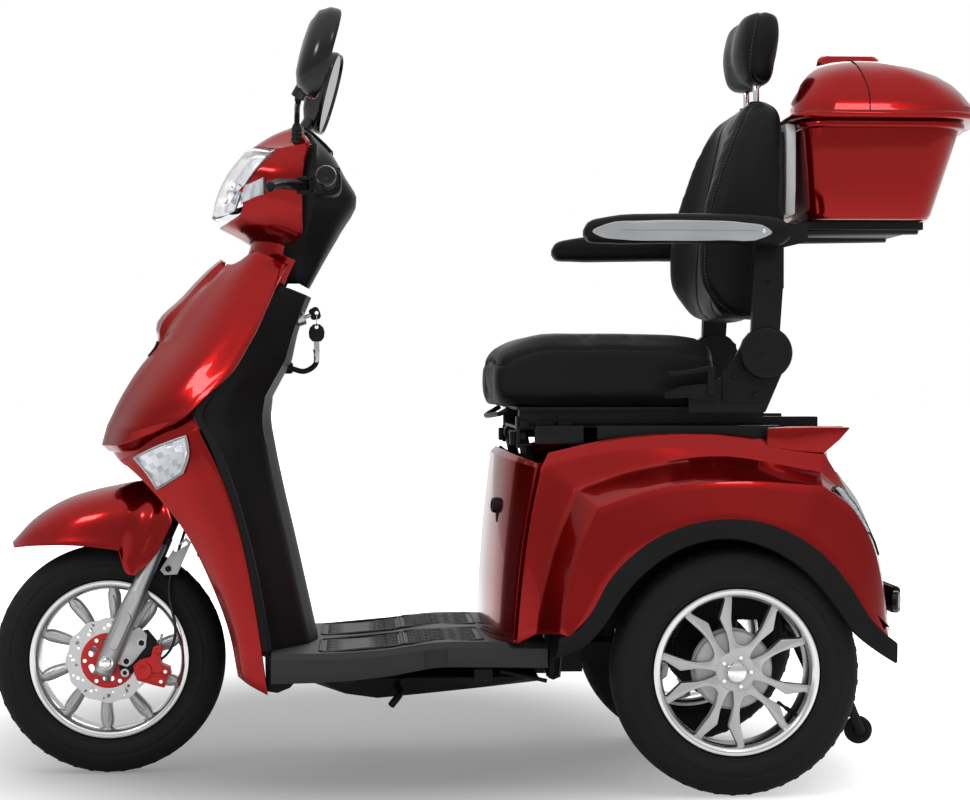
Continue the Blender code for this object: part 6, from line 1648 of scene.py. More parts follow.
def build_fork():
    """The two fork legs with the oblong raised panel, axle nuts and the caliper's plate."""
    legs = []
    profile = [
        (-0.026, 0), (-0.026, 0.01), (-0.02, 0.0165), (0.01, 0.0188), (0.112, 0.0185), (0.126, 0.0176),
        (0.131, 0.0168), (0.134, 0.0174), (0.14, 0.017), (0.147, 0.0152), (0.235, 0.0145),
        (0.235, 0.0134), (0.062, 0.0134), (0.062, 0),
    ]
    for side in (-1, 1):
        legs.append(turned(profile, on_fork(0, side * 0.068), STEER_UP, 40))
    part("fork_castings", legs, "fork", CAST, "fork_legs", 0.0008)
    axle = [rod(on_fork(0, -0.09), on_fork(0, 0.09), 0.0078, 32)]
    part("front_axle", axle, "fork", BLADE_STEEL)
    nuts = []
    for side in (-1, 1):
        at = on_fork(0, side * 0.0848)
        nuts.append(turned([(0, 0.0128), (0.0015, 0.0128), (0.0015, 0)], at, SIDE * side, 32))
        nuts.append(hex_bolt(at + SIDE * (side * 0.0012), SIDE * side, 0.0108, 0.007))
    part("axle_nuts", nuts, "fork", CHROME, bevel=0.0006)
    panels = []
    for side in (-1, 1):
        rings = []
        for out, grow in ((0.0148, 0.0), (0.0192, 0.0), (0.0204, -0.0014)):
            loop = []
            for i in range(28):
                a = 2 * pi * i / 28
                up = copysign(0.027, sin(a)) + (0.009 + grow) * sin(a)
                loop.append(on_fork(0.062 + up, side * (0.068 + out), (0.009 + grow) * cos(a)))
            rings.append(loop)
        panels.append(stacked(rings))
    part("fork_oblong_panels", panels, "fork", CAST, bevel=0.0006)
    eyes = ((0.061, 0.0335), (0.034, 0.0005))
    plate = (
        (0.002, 0.03), (0.043, 0.056), (0.058, 0.0615), (0.071, 0.0485), (0.069, 0.026), (0.045, -0.0035),
        (0.035, -0.0105), (0.018, -0.004),
    )
    arm = (
        (0.04, 0.05), (0.072, 0.0575), (0.088, 0.038), (0.09, 0.01), (0.062, -0.004), (0.044, -0.022),
        (0.028, -0.026), (0.02, -0.012),
    )
    for name, shape, near, far, material in (
        ("caliper_plate", plate, -0.066, -0.0615, CAST),
        ("caliper_arm", arm, -0.0615, -0.057, BLACK_STEEL),
    ):
        outline = from_axle(FRONT_AXLE, shape)
        part(name, prism(outline, near, far), "fork", material, bevel=0.001)
    rings = []
    caps = []
    for x, z in eyes:
        at = FRONT_AXLE + Vector((x, -0.066, z))
        rings.append(
            turned(
                [(-0.001, 0.0056), (-0.001, 0.0088), (0.0012, 0.0084), (0.0012, 0.0056)], at, -SIDE, 32,
                True,
            )
        )
        caps.append(hex_bolt(at, -SIDE, 0.0054, 0.0022))
    at = FRONT_AXLE + Vector((0.031, -0.0615, -0.0205))
    rings.append(
        turned([(-0.001, 0.004), (-0.001, 0.008), (0.003, 0.0074), (0.003, 0.004)], at, -SIDE, 32, True)
    )
    caps.append(hex_bolt(at, -SIDE, 0.0044, 0.0036))
    part("caliper_plate_rings", rings, "fork", BLADE_STEEL)
    part("caliper_plate_bolts", caps, "fork", BLACK_STEEL, bevel=0.0003)


def build_caliper():
    """The red caliper astride the disc, its bridge, pistons, bolts and bleed screw."""
    middle = FRONT_AXLE + Vector((0.077, 0, -0.012))
    shape = (
        (0.046, -0.008), (0.053, -0.0335), (0.08, -0.042), (0.102, -0.0475), (0.107, -0.027),
        (0.113, -0.024),
    )
    shape += (
        (0.111, -0.012), (0.097, -0.006), (0.094, 0.005), (0.099, 0.022), (0.094, 0.031), (0.082, 0.026),
        (0.078, 0.009), (0.058, 0.003),
    )
    outline = from_axle(FRONT_AXLE, shape)
    body = linked("caliper_body", prism(outline, -0.069, -0.0334))
    disc_y = -0.0449
    slot = block(
        (middle.x - 0.06, disc_y - 0.0042, middle.z - 0.06),
        (middle.x + 0.014, disc_y + 0.0035, middle.z + 0.06),
    )
    groove = block(
        (middle.x + 0.004, -0.075, middle.z - 0.016), (middle.x + 0.042, -0.0655, middle.z - 0.008),
    )
    cut(body, [slot, groove])
    eased(body, 0.0018)
    mount(body, "fork", CALIPER_RED, "brake_caliper")
    lobes = []
    for x, z, radius in ((0.064, -0.0165, 0.0165), (0.091, 0.0205, 0.008)):
        at = FRONT_AXLE + Vector((x, -0.0685, z))
        rim = [
            (-0.004, radius), (0.002, radius), (0.0034, radius - 0.0016), (0.0036, radius * 0.6),
            (0.0026, radius * 0.5), (0.0026, 0),
        ]
        lobes.append(turned(rim, at, -SIDE, 36))
    part("caliper_caps", lobes, "fork", CALIPER_RED)
    bolts = []
    for x, z in ((0.096, -0.036), (0.104, -0.018)):
        bolts.append(hex_bolt(FRONT_AXLE + Vector((x, -0.0688, z)), -SIDE, 0.0042, 0.0034))
    part("caliper_bolts", bolts, "fork", CHROME)
    screw = [
        (0, 0.0036), (0.008, 0.0036), (0.009, 0.0024), (0.016, 0.0022), (0.018, 0.003), (0.021, 0.0028),
        (0.021, 0),
    ]
    part(
        "bleed_screw", turned(screw, middle + Vector((0.014, -0.052, 0.04)), (0.3, 0, 1), 16), "fork",
        BLADE_STEEL,
    )


def build_hose():
    """The brake hose from the caliper up the fork leg to the steering stem."""
    points = (
        (-0.607, -0.052, 0.205), (-0.592, -0.053, 0.213), (-0.577, -0.0545, 0.23), (-0.57, -0.056, 0.252),
        (-0.57, -0.056, 0.276), (-0.575, -0.055, 0.3), (-0.58, -0.053, 0.325), (-0.58, -0.049, 0.35),
        (-0.574, -0.044, 0.376), (-0.566, -0.038, 0.402), (-0.558, -0.031, 0.428), (-0.55, -0.024, 0.454),
        (-0.541, -0.019, 0.48), (-0.532, -0.016, 0.508), (-0.526, -0.015, 0.537), (-0.523, -0.016, 0.568),
    )
    path = spline(points, 3)
    obj = linked("brake_hose", swept(path, 0.0027, 14))
    obj.data.materials.append(CABLE)
    for face in obj.data.polygons:
        face.use_smooth = True
    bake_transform(obj)
    ferrule = [(-0.004, 0.0058), (0.01, 0.0058), (0.012, 0.0042), (0.018, 0.0038), (0.018, 0)]
    way = Vector(points[1]) - Vector(points[0])
    part(
        "hose_ferrule", turned(ferrule, Vector(points[0]) - way.normalized() * 0.004, way, 20), "fork",
        BLADE_STEEL,
    )


def build_bars():
    """The handlebar with its switch pods, ribbed grips, end caps and brake levers."""
    pieces = [rod(BAR - SIDE * 0.331, BAR + SIDE * 0.331, 0.011, 32)]
    part("bar_tube", pieces, "steering", BLACK_STEEL, "handlebar")
    pivot = BAR + Vector((-0.042, 0, -0.004))
    pods = []
    perches = []
    for side in (-1, 1):
        rings = []
        for y, share in ((0.156, 0.86), (0.16, 1.0), (0.2, 1.0), (0.212, 0.96), (0.2155, 0.8)):
            loop = []
            for i in range(32):
                a = 2 * pi * i / 32
                across, up = squared(a, 0.62)
                loop.append(
                    Vector(
                        (BAR.x + 0.0255 * across * share, side * y, BAR.z + 0.0005 + 0.025 * up * share)
                    )
                )
            rings.append(loop)
        pods.append(stacked(rings))
        for low, high in ((0.0085, 0.0145), (-0.0145, -0.0085)):
            perches.append(
                block(
                    (pivot.x - 0.011, side * 0.182 - 0.011, pivot.z + low),
                    (BAR.x - 0.018, side * 0.182 + 0.011, pivot.z + high),
                )
            )
        at = Vector((pivot.x, side * 0.182, pivot.z - 0.0165))
        perches.append(
            turned(
                [(0, 0.0052), (0.003, 0.0058), (0.03, 0.0058), (0.033, 0.0046), (0.0335, 0)], at,
                (0, 0, 1), 6,
            )
        )
    part("switch_pods", pods, "steering", BLACK_MOULDED, bevel=0.0012)
    part("lever_perches", perches, "steering", BLACK_STEEL, bevel=0.0012)
    keys = []
    for side in (-1, 1):
        for i, y in enumerate((0.172, 0.186, 0.2)):
            low = Vector((BAR.x + 0.01, side * y - 0.0048, BAR.z + 0.0195 - 0.004 * i))
            keys.append(block(low, low + Vector((0.013, 0.0096, 0.009))))
    part("switch_keys", keys, "steering", TRIM_GREY, bevel=0.0016)
    for word, side in SIDES:
        body = "throttle" if side > 0 else "steering"
        node = "throttle_grip" if side > 0 else "grip_left"
        grip = [(0.2175, 0.0117), (0.2172, 0.0192), (0.2185, 0.0205), (0.2225, 0.0205), (0.224, 0.0192)]
        for i in range(14):
            y = 0.227 + 0.0068 * i
            grip += [(y, 0.0168), (y + 0.0012, 0.0152), (y + 0.004, 0.0152), (y + 0.0052, 0.0168)]
        grip += [(0.324, 0.0168), (0.325, 0.0117)]
        part(node + "_rubber", turned(grip, BAR, SIDE * side, 40, True), body, GRIP_RUBBER, node)
        cap = [
            (0.3235, 0.0135), (0.3245, 0.0172), (0.329, 0.0178), (0.333, 0.016), (0.3342, 0.012),
            (0.3336, 0.01), (0.3344, 0.006), (0.3345, 0),
        ]
        part("bar_end_" + word, turned(cap, BAR, SIDE * side, 40), "steering", BLACK_GLOSS)
        at = Vector((pivot.x, side * 0.182, pivot.z))
        path = [
            (-0.004, 0.004, 0), (-0.028, 0.03, 0), (-0.04, 0.066, -0.003), (-0.045, 0.105, -0.008),
            (-0.052, 0.142, -0.014),
        ]
        fine = [at + Vector((x, side * y, z)) for x, y, z in spline(path, 6)]
        radii = [0.0086 + 0.0012 * cos(2.6 * i / len(fine)) for i in range(len(fine))]
        eye = turned(
            [
                (-0.0078, 0.0047), (-0.0078, 0.0088), (-0.0066, 0.01), (0.0066, 0.01), (0.0078, 0.0088),
                (0.0078, 0.0047),
            ],
            at, (0, 0, 1), 32, True,
        )
        ball = turned(
            [
                (-0.0095, 0), (-0.0082, 0.0048), (-0.0048, 0.0082), (0, 0.0095), (0.0048, 0.0082),
                (0.0082, 0.0048), (0.0095, 0),
            ],
            fine[-1], SIDE, 24,
        )
        part(
            "lever_blade_" + word, [eye, swept(fine, radii, 14), ball], "brake_lever_" + word,
            BLACK_STEEL, "brake_lever_" + word,
        )


def build_mirrors():
    """Stalks with ribbed boots and shells that hold a tinted glass."""
    for word, side in SIDES:
        ball = Vector((-0.342, side * 0.248, 1.196))
        middle = ball + Vector((0.029, side * 0.022, 0.0843))
        foot = Vector((-0.348, side * 0.1012, 1.11))
        top = Vector((-0.348, side * 0.1084, 1.17))
        boot = [(-0.002, 0.0098)]
        for i in range(6):
            boot += [(0.016 + 0.0075 * i, 0.0101), (0.0195 + 0.0075 * i, 0.0088)]
        boot += [(0.0615, 0.0072), (0.0645, 0.0052), (0.0645, 0)]
        boot = turned(boot, foot, top - foot, 28)
        bend = [
            top, (-0.347, side * 0.128, 1.188), (-0.345, side * 0.19, 1.192),
            ball - Vector((0, side * 0.004, 0.001)),
        ]
        arm = swept(spline(bend, 8), 0.005, 16)
        pin = rod(ball, ball + Vector((0, 0, 0.018)), 0.006, 24)
        part("mirror_stalk_" + word, [boot, arm, pin], "steering", BLACK_STEEL, "mirror_arm_" + word)
        turn = Matrix.Rotation(-side * radians(9), 3, "Z") @ Matrix.Rotation(
            radians(16), 3, "Y",
        )
        sections = (
            (-0.0225, 0.02), (-0.0222, 0.3), (-0.02, 0.58), (-0.012, 0.84), (0.004, 0.98), (0.016, 1.0),
            (0.022, 0.995), (0.024, 0.965), (0.0225, 0.945), (0.0195, 0.935),
        )
        rings = []
        for depth, share in sections:
            rings.append([middle + turn @ p for p in mirror_loop(side, depth, share)])
        shell = stacked(rings)
        socket = turned(
            [(-0.002, 0.0067), (-0.002, 0.0125), (0.02, 0.012), (0.046, 0.01), (0.05, 0.0067)],
            ball + Vector((0, 0, 0.0085)), (0.026, side * 0.014, 0.046), 28, True,
        )
        part(
            "mirror_shell_" + word, [shell, socket], "mirror_" + word, BLACK_GLOSS, "mirror_" + word,
            shade=50,
        )
        panes = ((0.019, 0.938), (0.0206, 0.936), (0.0212, 0.6), (0.0214, 0.02))
        glass = [[middle + turn @ p for p in mirror_loop(side, depth, share)] for depth, share in panes]
        part("mirror_pane_" + word, stacked(glass), "mirror_" + word, MIRROR_GLASS)


def mirror_loop(side, depth, share):
    """A loop round the mirror, a leaning rounded lozenge."""
    loop = []
    for i in range(48):
        a = 2 * pi * i / 48
        across, up = squared(a, 0.7)
        across *= 0.06
        up *= 0.081
        across *= 0.94 + 2.2 * up if up < 0 else 0.94
        across -= 0.1 * up
        loop.append(Vector((depth, side * across * share, up * share)))
    return loop


def build_keys():
    """The key in its lock, the split ring with the spare key, and the bag hook."""
    at, way = Vector((-0.336, -0.03, 0.83)), Vector((0.94, 0, 0.34)).normalized()
    across = way.cross(SIDE)
    bow = [
        (0.01, -0.008), (0.014, -0.0105), (0.024, -0.012), (0.0285, -0.0085), (0.0295, 0),
        (0.0285, 0.0085), (0.024, 0.012), (0.014, 0.0105), (0.01, 0.008),
    ]
    outline = [at + way * a + across * b for a, b in bow]
    plate = linked("key_bow", prism([(p.x, p.z) for p in outline], at.y - 0.003, at.y + 0.003))
    hole = at + way * 0.023
    cut(plate, [rod(hole - SIDE * 0.01, hole + SIDE * 0.01, 0.0035, 24)])
    eased(plate, 0.0012)
    mount(plate, "ignition_key", BLACK_MOULDED, "ignition_key")
    part(
        "key_shank", rod(at + way * 0.0004, at + way * 0.012, 0.0035, 20), "ignition_key", BLADE_STEEL,
        bevel=0.0005,
    )
    wire = 0.0009
    radius = 0.0115
    centre = hole + Vector((0, 0, -0.0035 + wire + 0.0007 - radius))
    section = [
        (wire * cos(a), radius + wire * sin(a))
        for a in (0, 0.785, 1.57, 2.356, 3.14, 3.927, 4.71, 5.498)
    ]
    ring = turned(section, centre, (1, 0, 0), 48, True)
    part("key_ring", ring, "spare_key", CHROME, "spare_key")
    foot = centre.z - radius
    head = [
        (-0.006, 0.0045), (0.006, 0.0045), (0.0125, -0.002), (0.0145, -0.01), (0.0135, -0.02),
        (0.008, -0.027),
    ]
    head += [(-0.008, -0.027), (-0.0135, -0.02), (-0.0145, -0.01), (-0.0125, -0.002)]
    grip = linked(
        "spare_key_bow", prism([(hole.x + x, foot + z) for x, z in head], at.y - 0.003, at.y + 0.003),
    )
    eye = Vector((hole.x, at.y, foot - 0.0008))
    cut(grip, [rod(eye - SIDE * 0.01, eye + SIDE * 0.01, 0.0034, 20)])
    eased(grip, 0.0012)
    mount(grip, "spare_key", BLACK_MOULDED)
    teeth = [
        (-0.005, -0.025), (0.005, -0.025), (0.005, -0.06), (0.002, -0.065), (-0.0034, -0.065),
        (-0.0034, -0.06),
    ]
    teeth += [(-0.002, -0.057), (-0.004, -0.053), (-0.004, -0.049), (-0.0024, -0.046), (-0.005, -0.041)]
    blade = prism([(hole.x + x, foot + z) for x, z in teeth], at.y - 0.001, at.y + 0.001)
    part("spare_key_blade", blade, "spare_key", BLADE_STEEL, bevel=0.0003)
    root = Vector((-0.366, 0.028, 0.738))
    points = [(0, 0, 0), (0.03, 0, -0.006), (0.048, 0, 0.006), (0.05, 0, 0.032)]
    path = spline([root + Vector(p) for p in points], 8)
    tip = turned(
        [(-0.006, 0), (-0.004, 0.0045), (0, 0.0064), (0.004, 0.0045), (0.006, 0)], path[-1], (0, 0, 1),
        20,
    )
    base = turned([(-0.01, 0.011), (0.004, 0.011), (0.007, 0.008), (0.007, 0)], root, (1, 0, 0), 28)
    part("hook_arm", [swept(path, 0.005, 16), tip, base], "chassis", BLACK_MOULDED, "bag_hook")


def two_tone_vinyl():
    """Black vinyl with a dark grey insert, told apart by the cover's own sewn-panel attribute."""
    material = VINYL.copy()
    material.name = "two_tone_vinyl"
    tree = material.node_tree
    shader = tree.nodes["Principled BSDF"]
    plain = shader.inputs["Base Color"].links[0].from_socket
    insert = tree.nodes.new("ShaderNodeAttribute")
    insert.attribute_name = "insert"
    both = tree.nodes.new("ShaderNodeMix")
    both.data_type = "RGBA"
    both.inputs["B"].default_value = (0.022, 0.022, 0.024, 1)
    wire(tree, insert, "Fac", both, "Factor")
    tree.links.new(plain, both.inputs["A"])
    tree.links.new(both.outputs["Result"], shader.inputs["Base Color"])
    return material


def swollen(obj, cap, floor_z=None):
    """Swells a cover by cloth pressure, no point moving further than the cap, and flat where it rests."""
    step = obj.modifiers.new("even_mesh", "REMESH")
    step.mode = "VOXEL"
    step.voxel_size = 0.0058
    settle(obj)
    verts = obj.data.vertices
    start = [vert.co - vert.normal * (cap * 0.6) for vert in verts]
    for vert, place in zip(verts, start):
        vert.co = place
    cover = obj.modifiers.new("cover", "CLOTH")
    cover.settings.quality = 5
    cover.settings.mass = 0.25
    cover.settings.tension_stiffness = 12
    cover.settings.compression_stiffness = 12
    cover.settings.bending_stiffness = 1.5
    cover.settings.use_pressure = True
    cover.settings.uniform_pressure_force = 4
    cover.settings.effector_weights.gravity = 0
    cover.point_cache.frame_start = 1
    cover.point_cache.frame_end = 20
    for number in range(1, 21):
        bpy.context.scene.frame_set(number)
    settle(obj)
    bpy.context.scene.frame_set(1)
    for vert, place in zip(obj.data.vertices, start):
        move = vert.co - place
        if move.length > cap:
            vert.co = place + move * (cap / move.length)
        if floor_z is not None:
            vert.co.z = max(vert.co.z, floor_z)
    ease = obj.modifiers.new("even_cover", "SMOOTH")
    ease.factor = 0.5
    ease.iterations = 3
    settle(obj)
    return softened(obj)


def sewn(obj, seams, width=0.0045, depth=0.004):
    """Draws the cover in along its seams."""
    spots = [p for seam in seams for p in seam]
    near = KDTree(len(spots))
    for i, point in enumerate(spots):
        near.insert(point, i)
    near.balance()
    moves = []
    for vert in obj.data.vertices:
        away = near.find(vert.co)[2]
        moves.append(
            vert.normal * (-depth * exp(-((away / width) ** 2))) if away < 4 * width else None
        )
    for vert, move in zip(obj.data.vertices, moves):
        if move:
            vert.co += move
    return obj


def laid_on(obj, seam, steps=12):
    """A seam's points laid on a cover."""
    return draped(obj, [spline(seam, steps)], 0.0)[0]


def stitched(name, obj, seam, body, lift=0.0012, pitch=0.0062, aside=None):
    """A row of thread stitches along a seam."""
    points = [p + (aside or Vector()) for p in seam]
    points = draped(obj, [points], lift)[0]
    length = sum((b - a).length for a, b in zip(points, points[1:]))
    unit = swept(
        [(0, 0, -0.0018), (0, 0, -0.0008), (0, 0, 0.0008), (0, 0, 0.0018)],
        [0.0002, 0.00055, 0.00055, 0.0002], 6,
    )
    rows = along_path(name, unit, int(length / pitch), points, THREAD)
    return mount(rows, body, THREAD)


def plain_pad(name, halves):
    """A smooth pad before it is swollen, from half loops that start and end on its middle."""
    rings = []
    for half in halves:
        loop = half + [(x, -y, z) for x, y, z in reversed(half[1:-1])]
        rings.append([Vector(p) for p in loop])
    columns = [spline(column, 4) for column in zip(*rings)]
    fine = [spline(ring, 3, closed=True) for ring in zip(*columns)]
    return linked(name, stacked(fine))


def cushion_rings():
    """Half loops of the seat cushion, running backwards, and the height that it rests at."""
    low = 0.6692
    sections = (
        (0.002, 0.15, 0.026, 0.062, 0.056), (-0.007, 0.196, 0.012, 0.084, 0.074),
        (0.006, 0.222, 0.003, 0.104, 0.096), (0.06, 0.238, 0.0, 0.119, 0.119),
        (0.16, 0.242, 0.0, 0.116, 0.125), (0.26, 0.242, 0.0, 0.112, 0.125),
        (0.34, 0.238, 0.0, 0.11, 0.121), (0.386, 0.226, 0.004, 0.106, 0.112),
        (0.398, 0.19, 0.018, 0.09, 0.094),
    )
    halves = []
    for x, half, bottom, crown, edge in sections:
        b = low + bottom
        loop = [
            (x, 0, low + crown), (x, half * 0.45, low + crown + 0.25 * (edge - crown)),
            (x, half * 0.8, low + edge), (x, half * 0.97, low + edge - 0.018),
            (x, half, (b + low + edge) / 2), (x, half * 0.965, b + 0.016), (x, half * 0.8, b), (x, 0, b),
        ]
        halves.append(loop)
    return halves, low


def build_cushion():
    """The seat cushion: a crowned pad with a welted top panel and two sewn channels."""
    halves, low = cushion_rings()
    obj = plain_pad("seat_pad", halves)
    swollen(obj, 0.007, low)
    back = [Vector(half[3]) for half in halves[2:]]
    welt = [Vector((p.x, -p.y, p.z)) for p in reversed(back)]
    front = [
        Vector((-0.004, -0.15, low + 0.079)), Vector((-0.007, 0, low + 0.084)),
        Vector((-0.004, 0.15, low + 0.079)),
    ]
    edge = laid_on(obj, welt + front + back)
    channels = []
    for side in (-1, 1):
        line = [
            (0.014, side * 0.112, low + 0.11), (0.1, side * 0.12, low + 0.122),
            (0.22, side * 0.124, low + 0.12), (0.37, side * 0.112, low + 0.112),
        ]
        channels.append(laid_on(obj, line))
    across = laid_on(
        obj, [(0.086, -0.116, low + 0.12), (0.086, 0, low + 0.12), (0.086, 0.116, low + 0.12)],
    )
    sewn(obj, [edge] + channels + [across])
    for i, line in enumerate(channels):
        aside = Vector((0, 0.006 * (1 if i else -1), 0))
        stitched("seat_stitches_" + SIDES[i][0], obj, line, "seat", aside=aside)
    mount(obj, "seat", VINYL, "seat_cushion", 180)


def build_back():
    """The backrest: a shaped pad with side bolsters, a grey middle insert and sewn seams."""
    sections = (
        (0.818, 0.48, 0.15, 0.424, 0.424), (0.832, 0.5, 0.192, 0.404, 0.398),
        (0.88, 0.512, 0.206, 0.402, 0.366), (0.945, 0.514, 0.21, 0.406, 0.36),
        (1.02, 0.515, 0.212, 0.418, 0.369), (1.1, 0.516, 0.208, 0.432, 0.393),
        (1.16, 0.517, 0.196, 0.444, 0.416), (1.206, 0.515, 0.172, 0.454, 0.442),
        (1.227, 0.502, 0.126, 0.47, 0.472),
    )
    halves = []
    for z, back, half, middle, bolster in sections:
        loop = [
            (middle, 0, z), (middle, half * 0.4, z), (middle + 0.25 * (bolster - middle), half * 0.6, z),
            (bolster, half * 0.82, z), (bolster + 0.012, half * 0.96, z), ((bolster + back) / 2, half, z),
            (back - 0.012, half * 0.96, z), (back, half * 0.8, z), (back, 0, z),
        ]
        halves.append(loop)
    obj = plain_pad("backrest_pad", halves)
    swollen(obj, 0.006)
    for vert in obj.data.vertices:
        vert.co.x = min(vert.co.x, 0.5168)
    seams = []
    for side in (-1, 1):
        inner = [
            (0.424, side * 0.062, 0.842), (0.418, side * 0.084, 0.9), (0.42, side * 0.09, 0.96),
            (0.43, side * 0.09, 1.03), (0.444, side * 0.084, 1.11), (0.458, side * 0.07, 1.19),
            (0.484, side * 0.05, 1.22),
        ]
        outer = [
            (0.44, side * 0.172, 0.836), (0.386, side * 0.188, 0.88), (0.38, side * 0.192, 0.945),
            (0.39, side * 0.194, 1.02), (0.414, side * 0.19, 1.1), (0.436, side * 0.178, 1.16),
            (0.46, side * 0.146, 1.206), (0.488, side * 0.09, 1.221),
        ]
        seams += [laid_on(obj, inner), laid_on(obj, outer)]
    sewn(obj, seams)
    limits = {}
    for line in (seams[0], seams[2]):
        for point in line:
            limits.setdefault(round(point.z, 2), []).append(abs(point.y))
    heights = sorted(limits)
    insert = obj.data.attributes.new("insert", "FLOAT", "POINT")
    for i, vert in enumerate(obj.data.vertices):
        key = min(max(round(vert.co.z, 2), heights[0]), heights[-1])
        spots = limits.get(key) or limits[min(heights, key=lambda h: abs(h - key))]
        share = (sum(spots) / len(spots) - abs(vert.co.y)) / 0.003 + 0.5
        insert.data[i].value = max(0.0, min(1.0, share)) if vert.co.x < 0.49 else 0.0
    for i, (word, side) in enumerate(SIDES):
        stitched(
            "back_stitches_inner_" + word, obj, seams[2 * i], "backrest",
            aside=Vector((0, side * 0.006, 0)),
        )
        stitched(
            "back_stitches_outer_" + word, obj, seams[2 * i + 1], "backrest",
            aside=Vector((0, -side * 0.006, 0)),
        )
    mount(obj, "backrest", two_tone_vinyl(), "backrest_cushion", 180)


def build_headrest():
    """The headrest pad with its side seams, on two chrome posts."""
    sections = (
        (1.254, 0.474, 0.508, 0.085), (1.262, 0.459, 0.516, 0.108), (1.3, 0.449, 0.521, 0.124),
        (1.345, 0.451, 0.529, 0.126), (1.378, 0.461, 0.526, 0.112), (1.39, 0.482, 0.508, 0.084),
    )
    halves = []
    for z, front, back, half in sections:
        loop = [
            (front + 0.006, 0, z), (front, half * 0.6, z), (front + 0.014, half * 0.94, z),
            ((front + back) / 2, half, z), (back - 0.012, half * 0.94, z), (back, half * 0.6, z),
            (back, 0, z),
        ]
        halves.append(loop)
    obj = plain_pad("headrest_pad", halves)
    swollen(obj, 0.005)
    for vert in obj.data.vertices:
        vert.co.z = min(vert.co.z, 1.3898)
    seams = []
    for side in (-1, 1):
        line = [
            (0.496, side * 0.07, 1.256), (0.474, side * 0.104, 1.266), (0.474, side * 0.116, 1.3),
            (0.48, side * 0.119, 1.345), (0.488, side * 0.106, 1.378), (0.494, side * 0.07, 1.389),
        ]
        seams.append(laid_on(obj, line))
    sewn(obj, seams, 0.004, 0.003)
    for i, (word, _) in enumerate(SIDES):
        stitched("head_stitches_" + word, obj, seams[i], "headrest", aside=Vector((-0.006, 0, 0)))
    mount(obj, "headrest", VINYL, "headrest", 180)
    posts = [rod((0.49, side * 0.05, 1.15), (0.49, side * 0.05, 1.29), 0.006, 32) for side in (-1, 1)]
    part("headrest_posts", posts, "headrest", CHROME, bevel=0.0008)
    cups = []
    for side in (-1, 1):
        at = Vector((0.49, side * 0.05, 1.2205))
        cups.append(
            turned(
                [(-0.006, 0.007), (-0.006, 0.0125), (0.0035, 0.0125), (0.005, 0.011), (0.005, 0.007)], at,
                (0, 0, 1), 32, True,
            )
        )
    part("post_guides", cups, "backrest", BLACK_MOULDED)


def arm_loop(x, low, high, half, middle, count=36):
    """A rounded loop round an armrest."""
    loop = []
    for i in range(count):
        a = 2 * pi * i / count
        across, up = squared(a, 0.6)
        loop.append(Vector((x, middle + half * across, (low + high) / 2 + (high - low) / 2 * up)))
    return loop


def build_armrests():
    """Padded arms with a silver inlay let into the outer face and a round pivot boss."""
    sections = (
        (0.146, 0.962, 0.974, 0.6), (0.153, 0.953, 0.986, 0.93), (0.184, 0.95, 0.995, 1.0),
        (0.28, 0.95, 1.001, 1.0), (0.38, 0.951, 1.001, 1.0), (0.452, 0.948, 0.998, 0.96),
        (0.486, 0.948, 0.992, 0.9), (0.5, 0.958, 0.98, 0.7),
    )
    for word, side in SIDES:
        middle = side * 0.305
        line = spline([(x, low, high) for x, low, high, _ in sections], 4)
        wide = spline([(x, share, 0) for x, _, _, share in sections], 4)
        rings = [arm_loop(a.x, a.y, a.z, 0.028 * b.y, middle) for a, b in zip(line, wide)]
        bore = rod((0.472, 0, 0.968), (0.472, side * 0.308, 0.968), 0.0087, 32)
        arm = linked("arm_pad_" + word, stacked(rings))
        cut(arm, [bore])
        sewn(
            arm,
            [
                [Vector((x, middle + s * 0.0275, 0.9895)) for x in [0.16 + 0.002 * k for k in range(165)]]
                for s in (-1, 1)
            ],
            0.0022, 0.0016,
        )
        mount(arm, "armrest_" + word, VINYL, "armrest_" + word, 50)
        outer = middle + side * 0.027
        shape = [
            (0.158, 0.968), (0.181, 0.981), (0.244, 0.987), (0.334, 0.988), (0.42, 0.984), (0.456, 0.977),
            (0.466, 0.968),
        ]
        shape += [(0.454, 0.96), (0.38, 0.9545), (0.289, 0.9535), (0.208, 0.955), (0.169, 0.961)]
        loop = spline([(x, 0, z) for x, z in shape], 4, closed=True)
        inner = [Vector((p.x, outer - side * 0.004, p.z)) for p in loop]
        crown = [Vector((p.x, outer + side * 0.0016, p.z)) for p in loop]
        centre = Vector((0.316, 0, 0.9705))
        top = [
            Vector(
                (
                    centre.x + (p.x - centre.x) * 0.985, outer + side * 0.0026,
                    centre.z + (p.z - centre.z) * 0.9,
                )
            )
            for p in loop
        ]
        inlay = linked("arm_inlay_" + word, stacked([inner, crown, top]))
        low, high = sorted((outer + side * 0.0014, outer + side * 0.01))
        groove = block((0.205, low, 0.9706), (0.438, high, 0.9716))
        cut(inlay, [groove])
        mount(inlay, "armrest_" + word, SILVER_INLAY, shade=30)
        screw = turned(
            [(0, 0.003), (0.0008, 0.003), (0.0012, 0.0022), (0.0012, 0)],
            (0.452, outer + side * 0.002, 0.9702), SIDE * side, 20,
        )
        part("arm_screw_" + word, screw, "armrest_" + word, CHROME)
        boss = [(0.0, 0.0215), (0.01, 0.0215), (0.012, 0.02), (0.012, 0.0087), (0.0, 0.0087)]
        ring = turned(boss, (0.472, side * 0.2655, 0.968), SIDE * side, 48, True)
        part("arm_pivot_ring_" + word, ring, "backrest", BLACK_MOULDED)


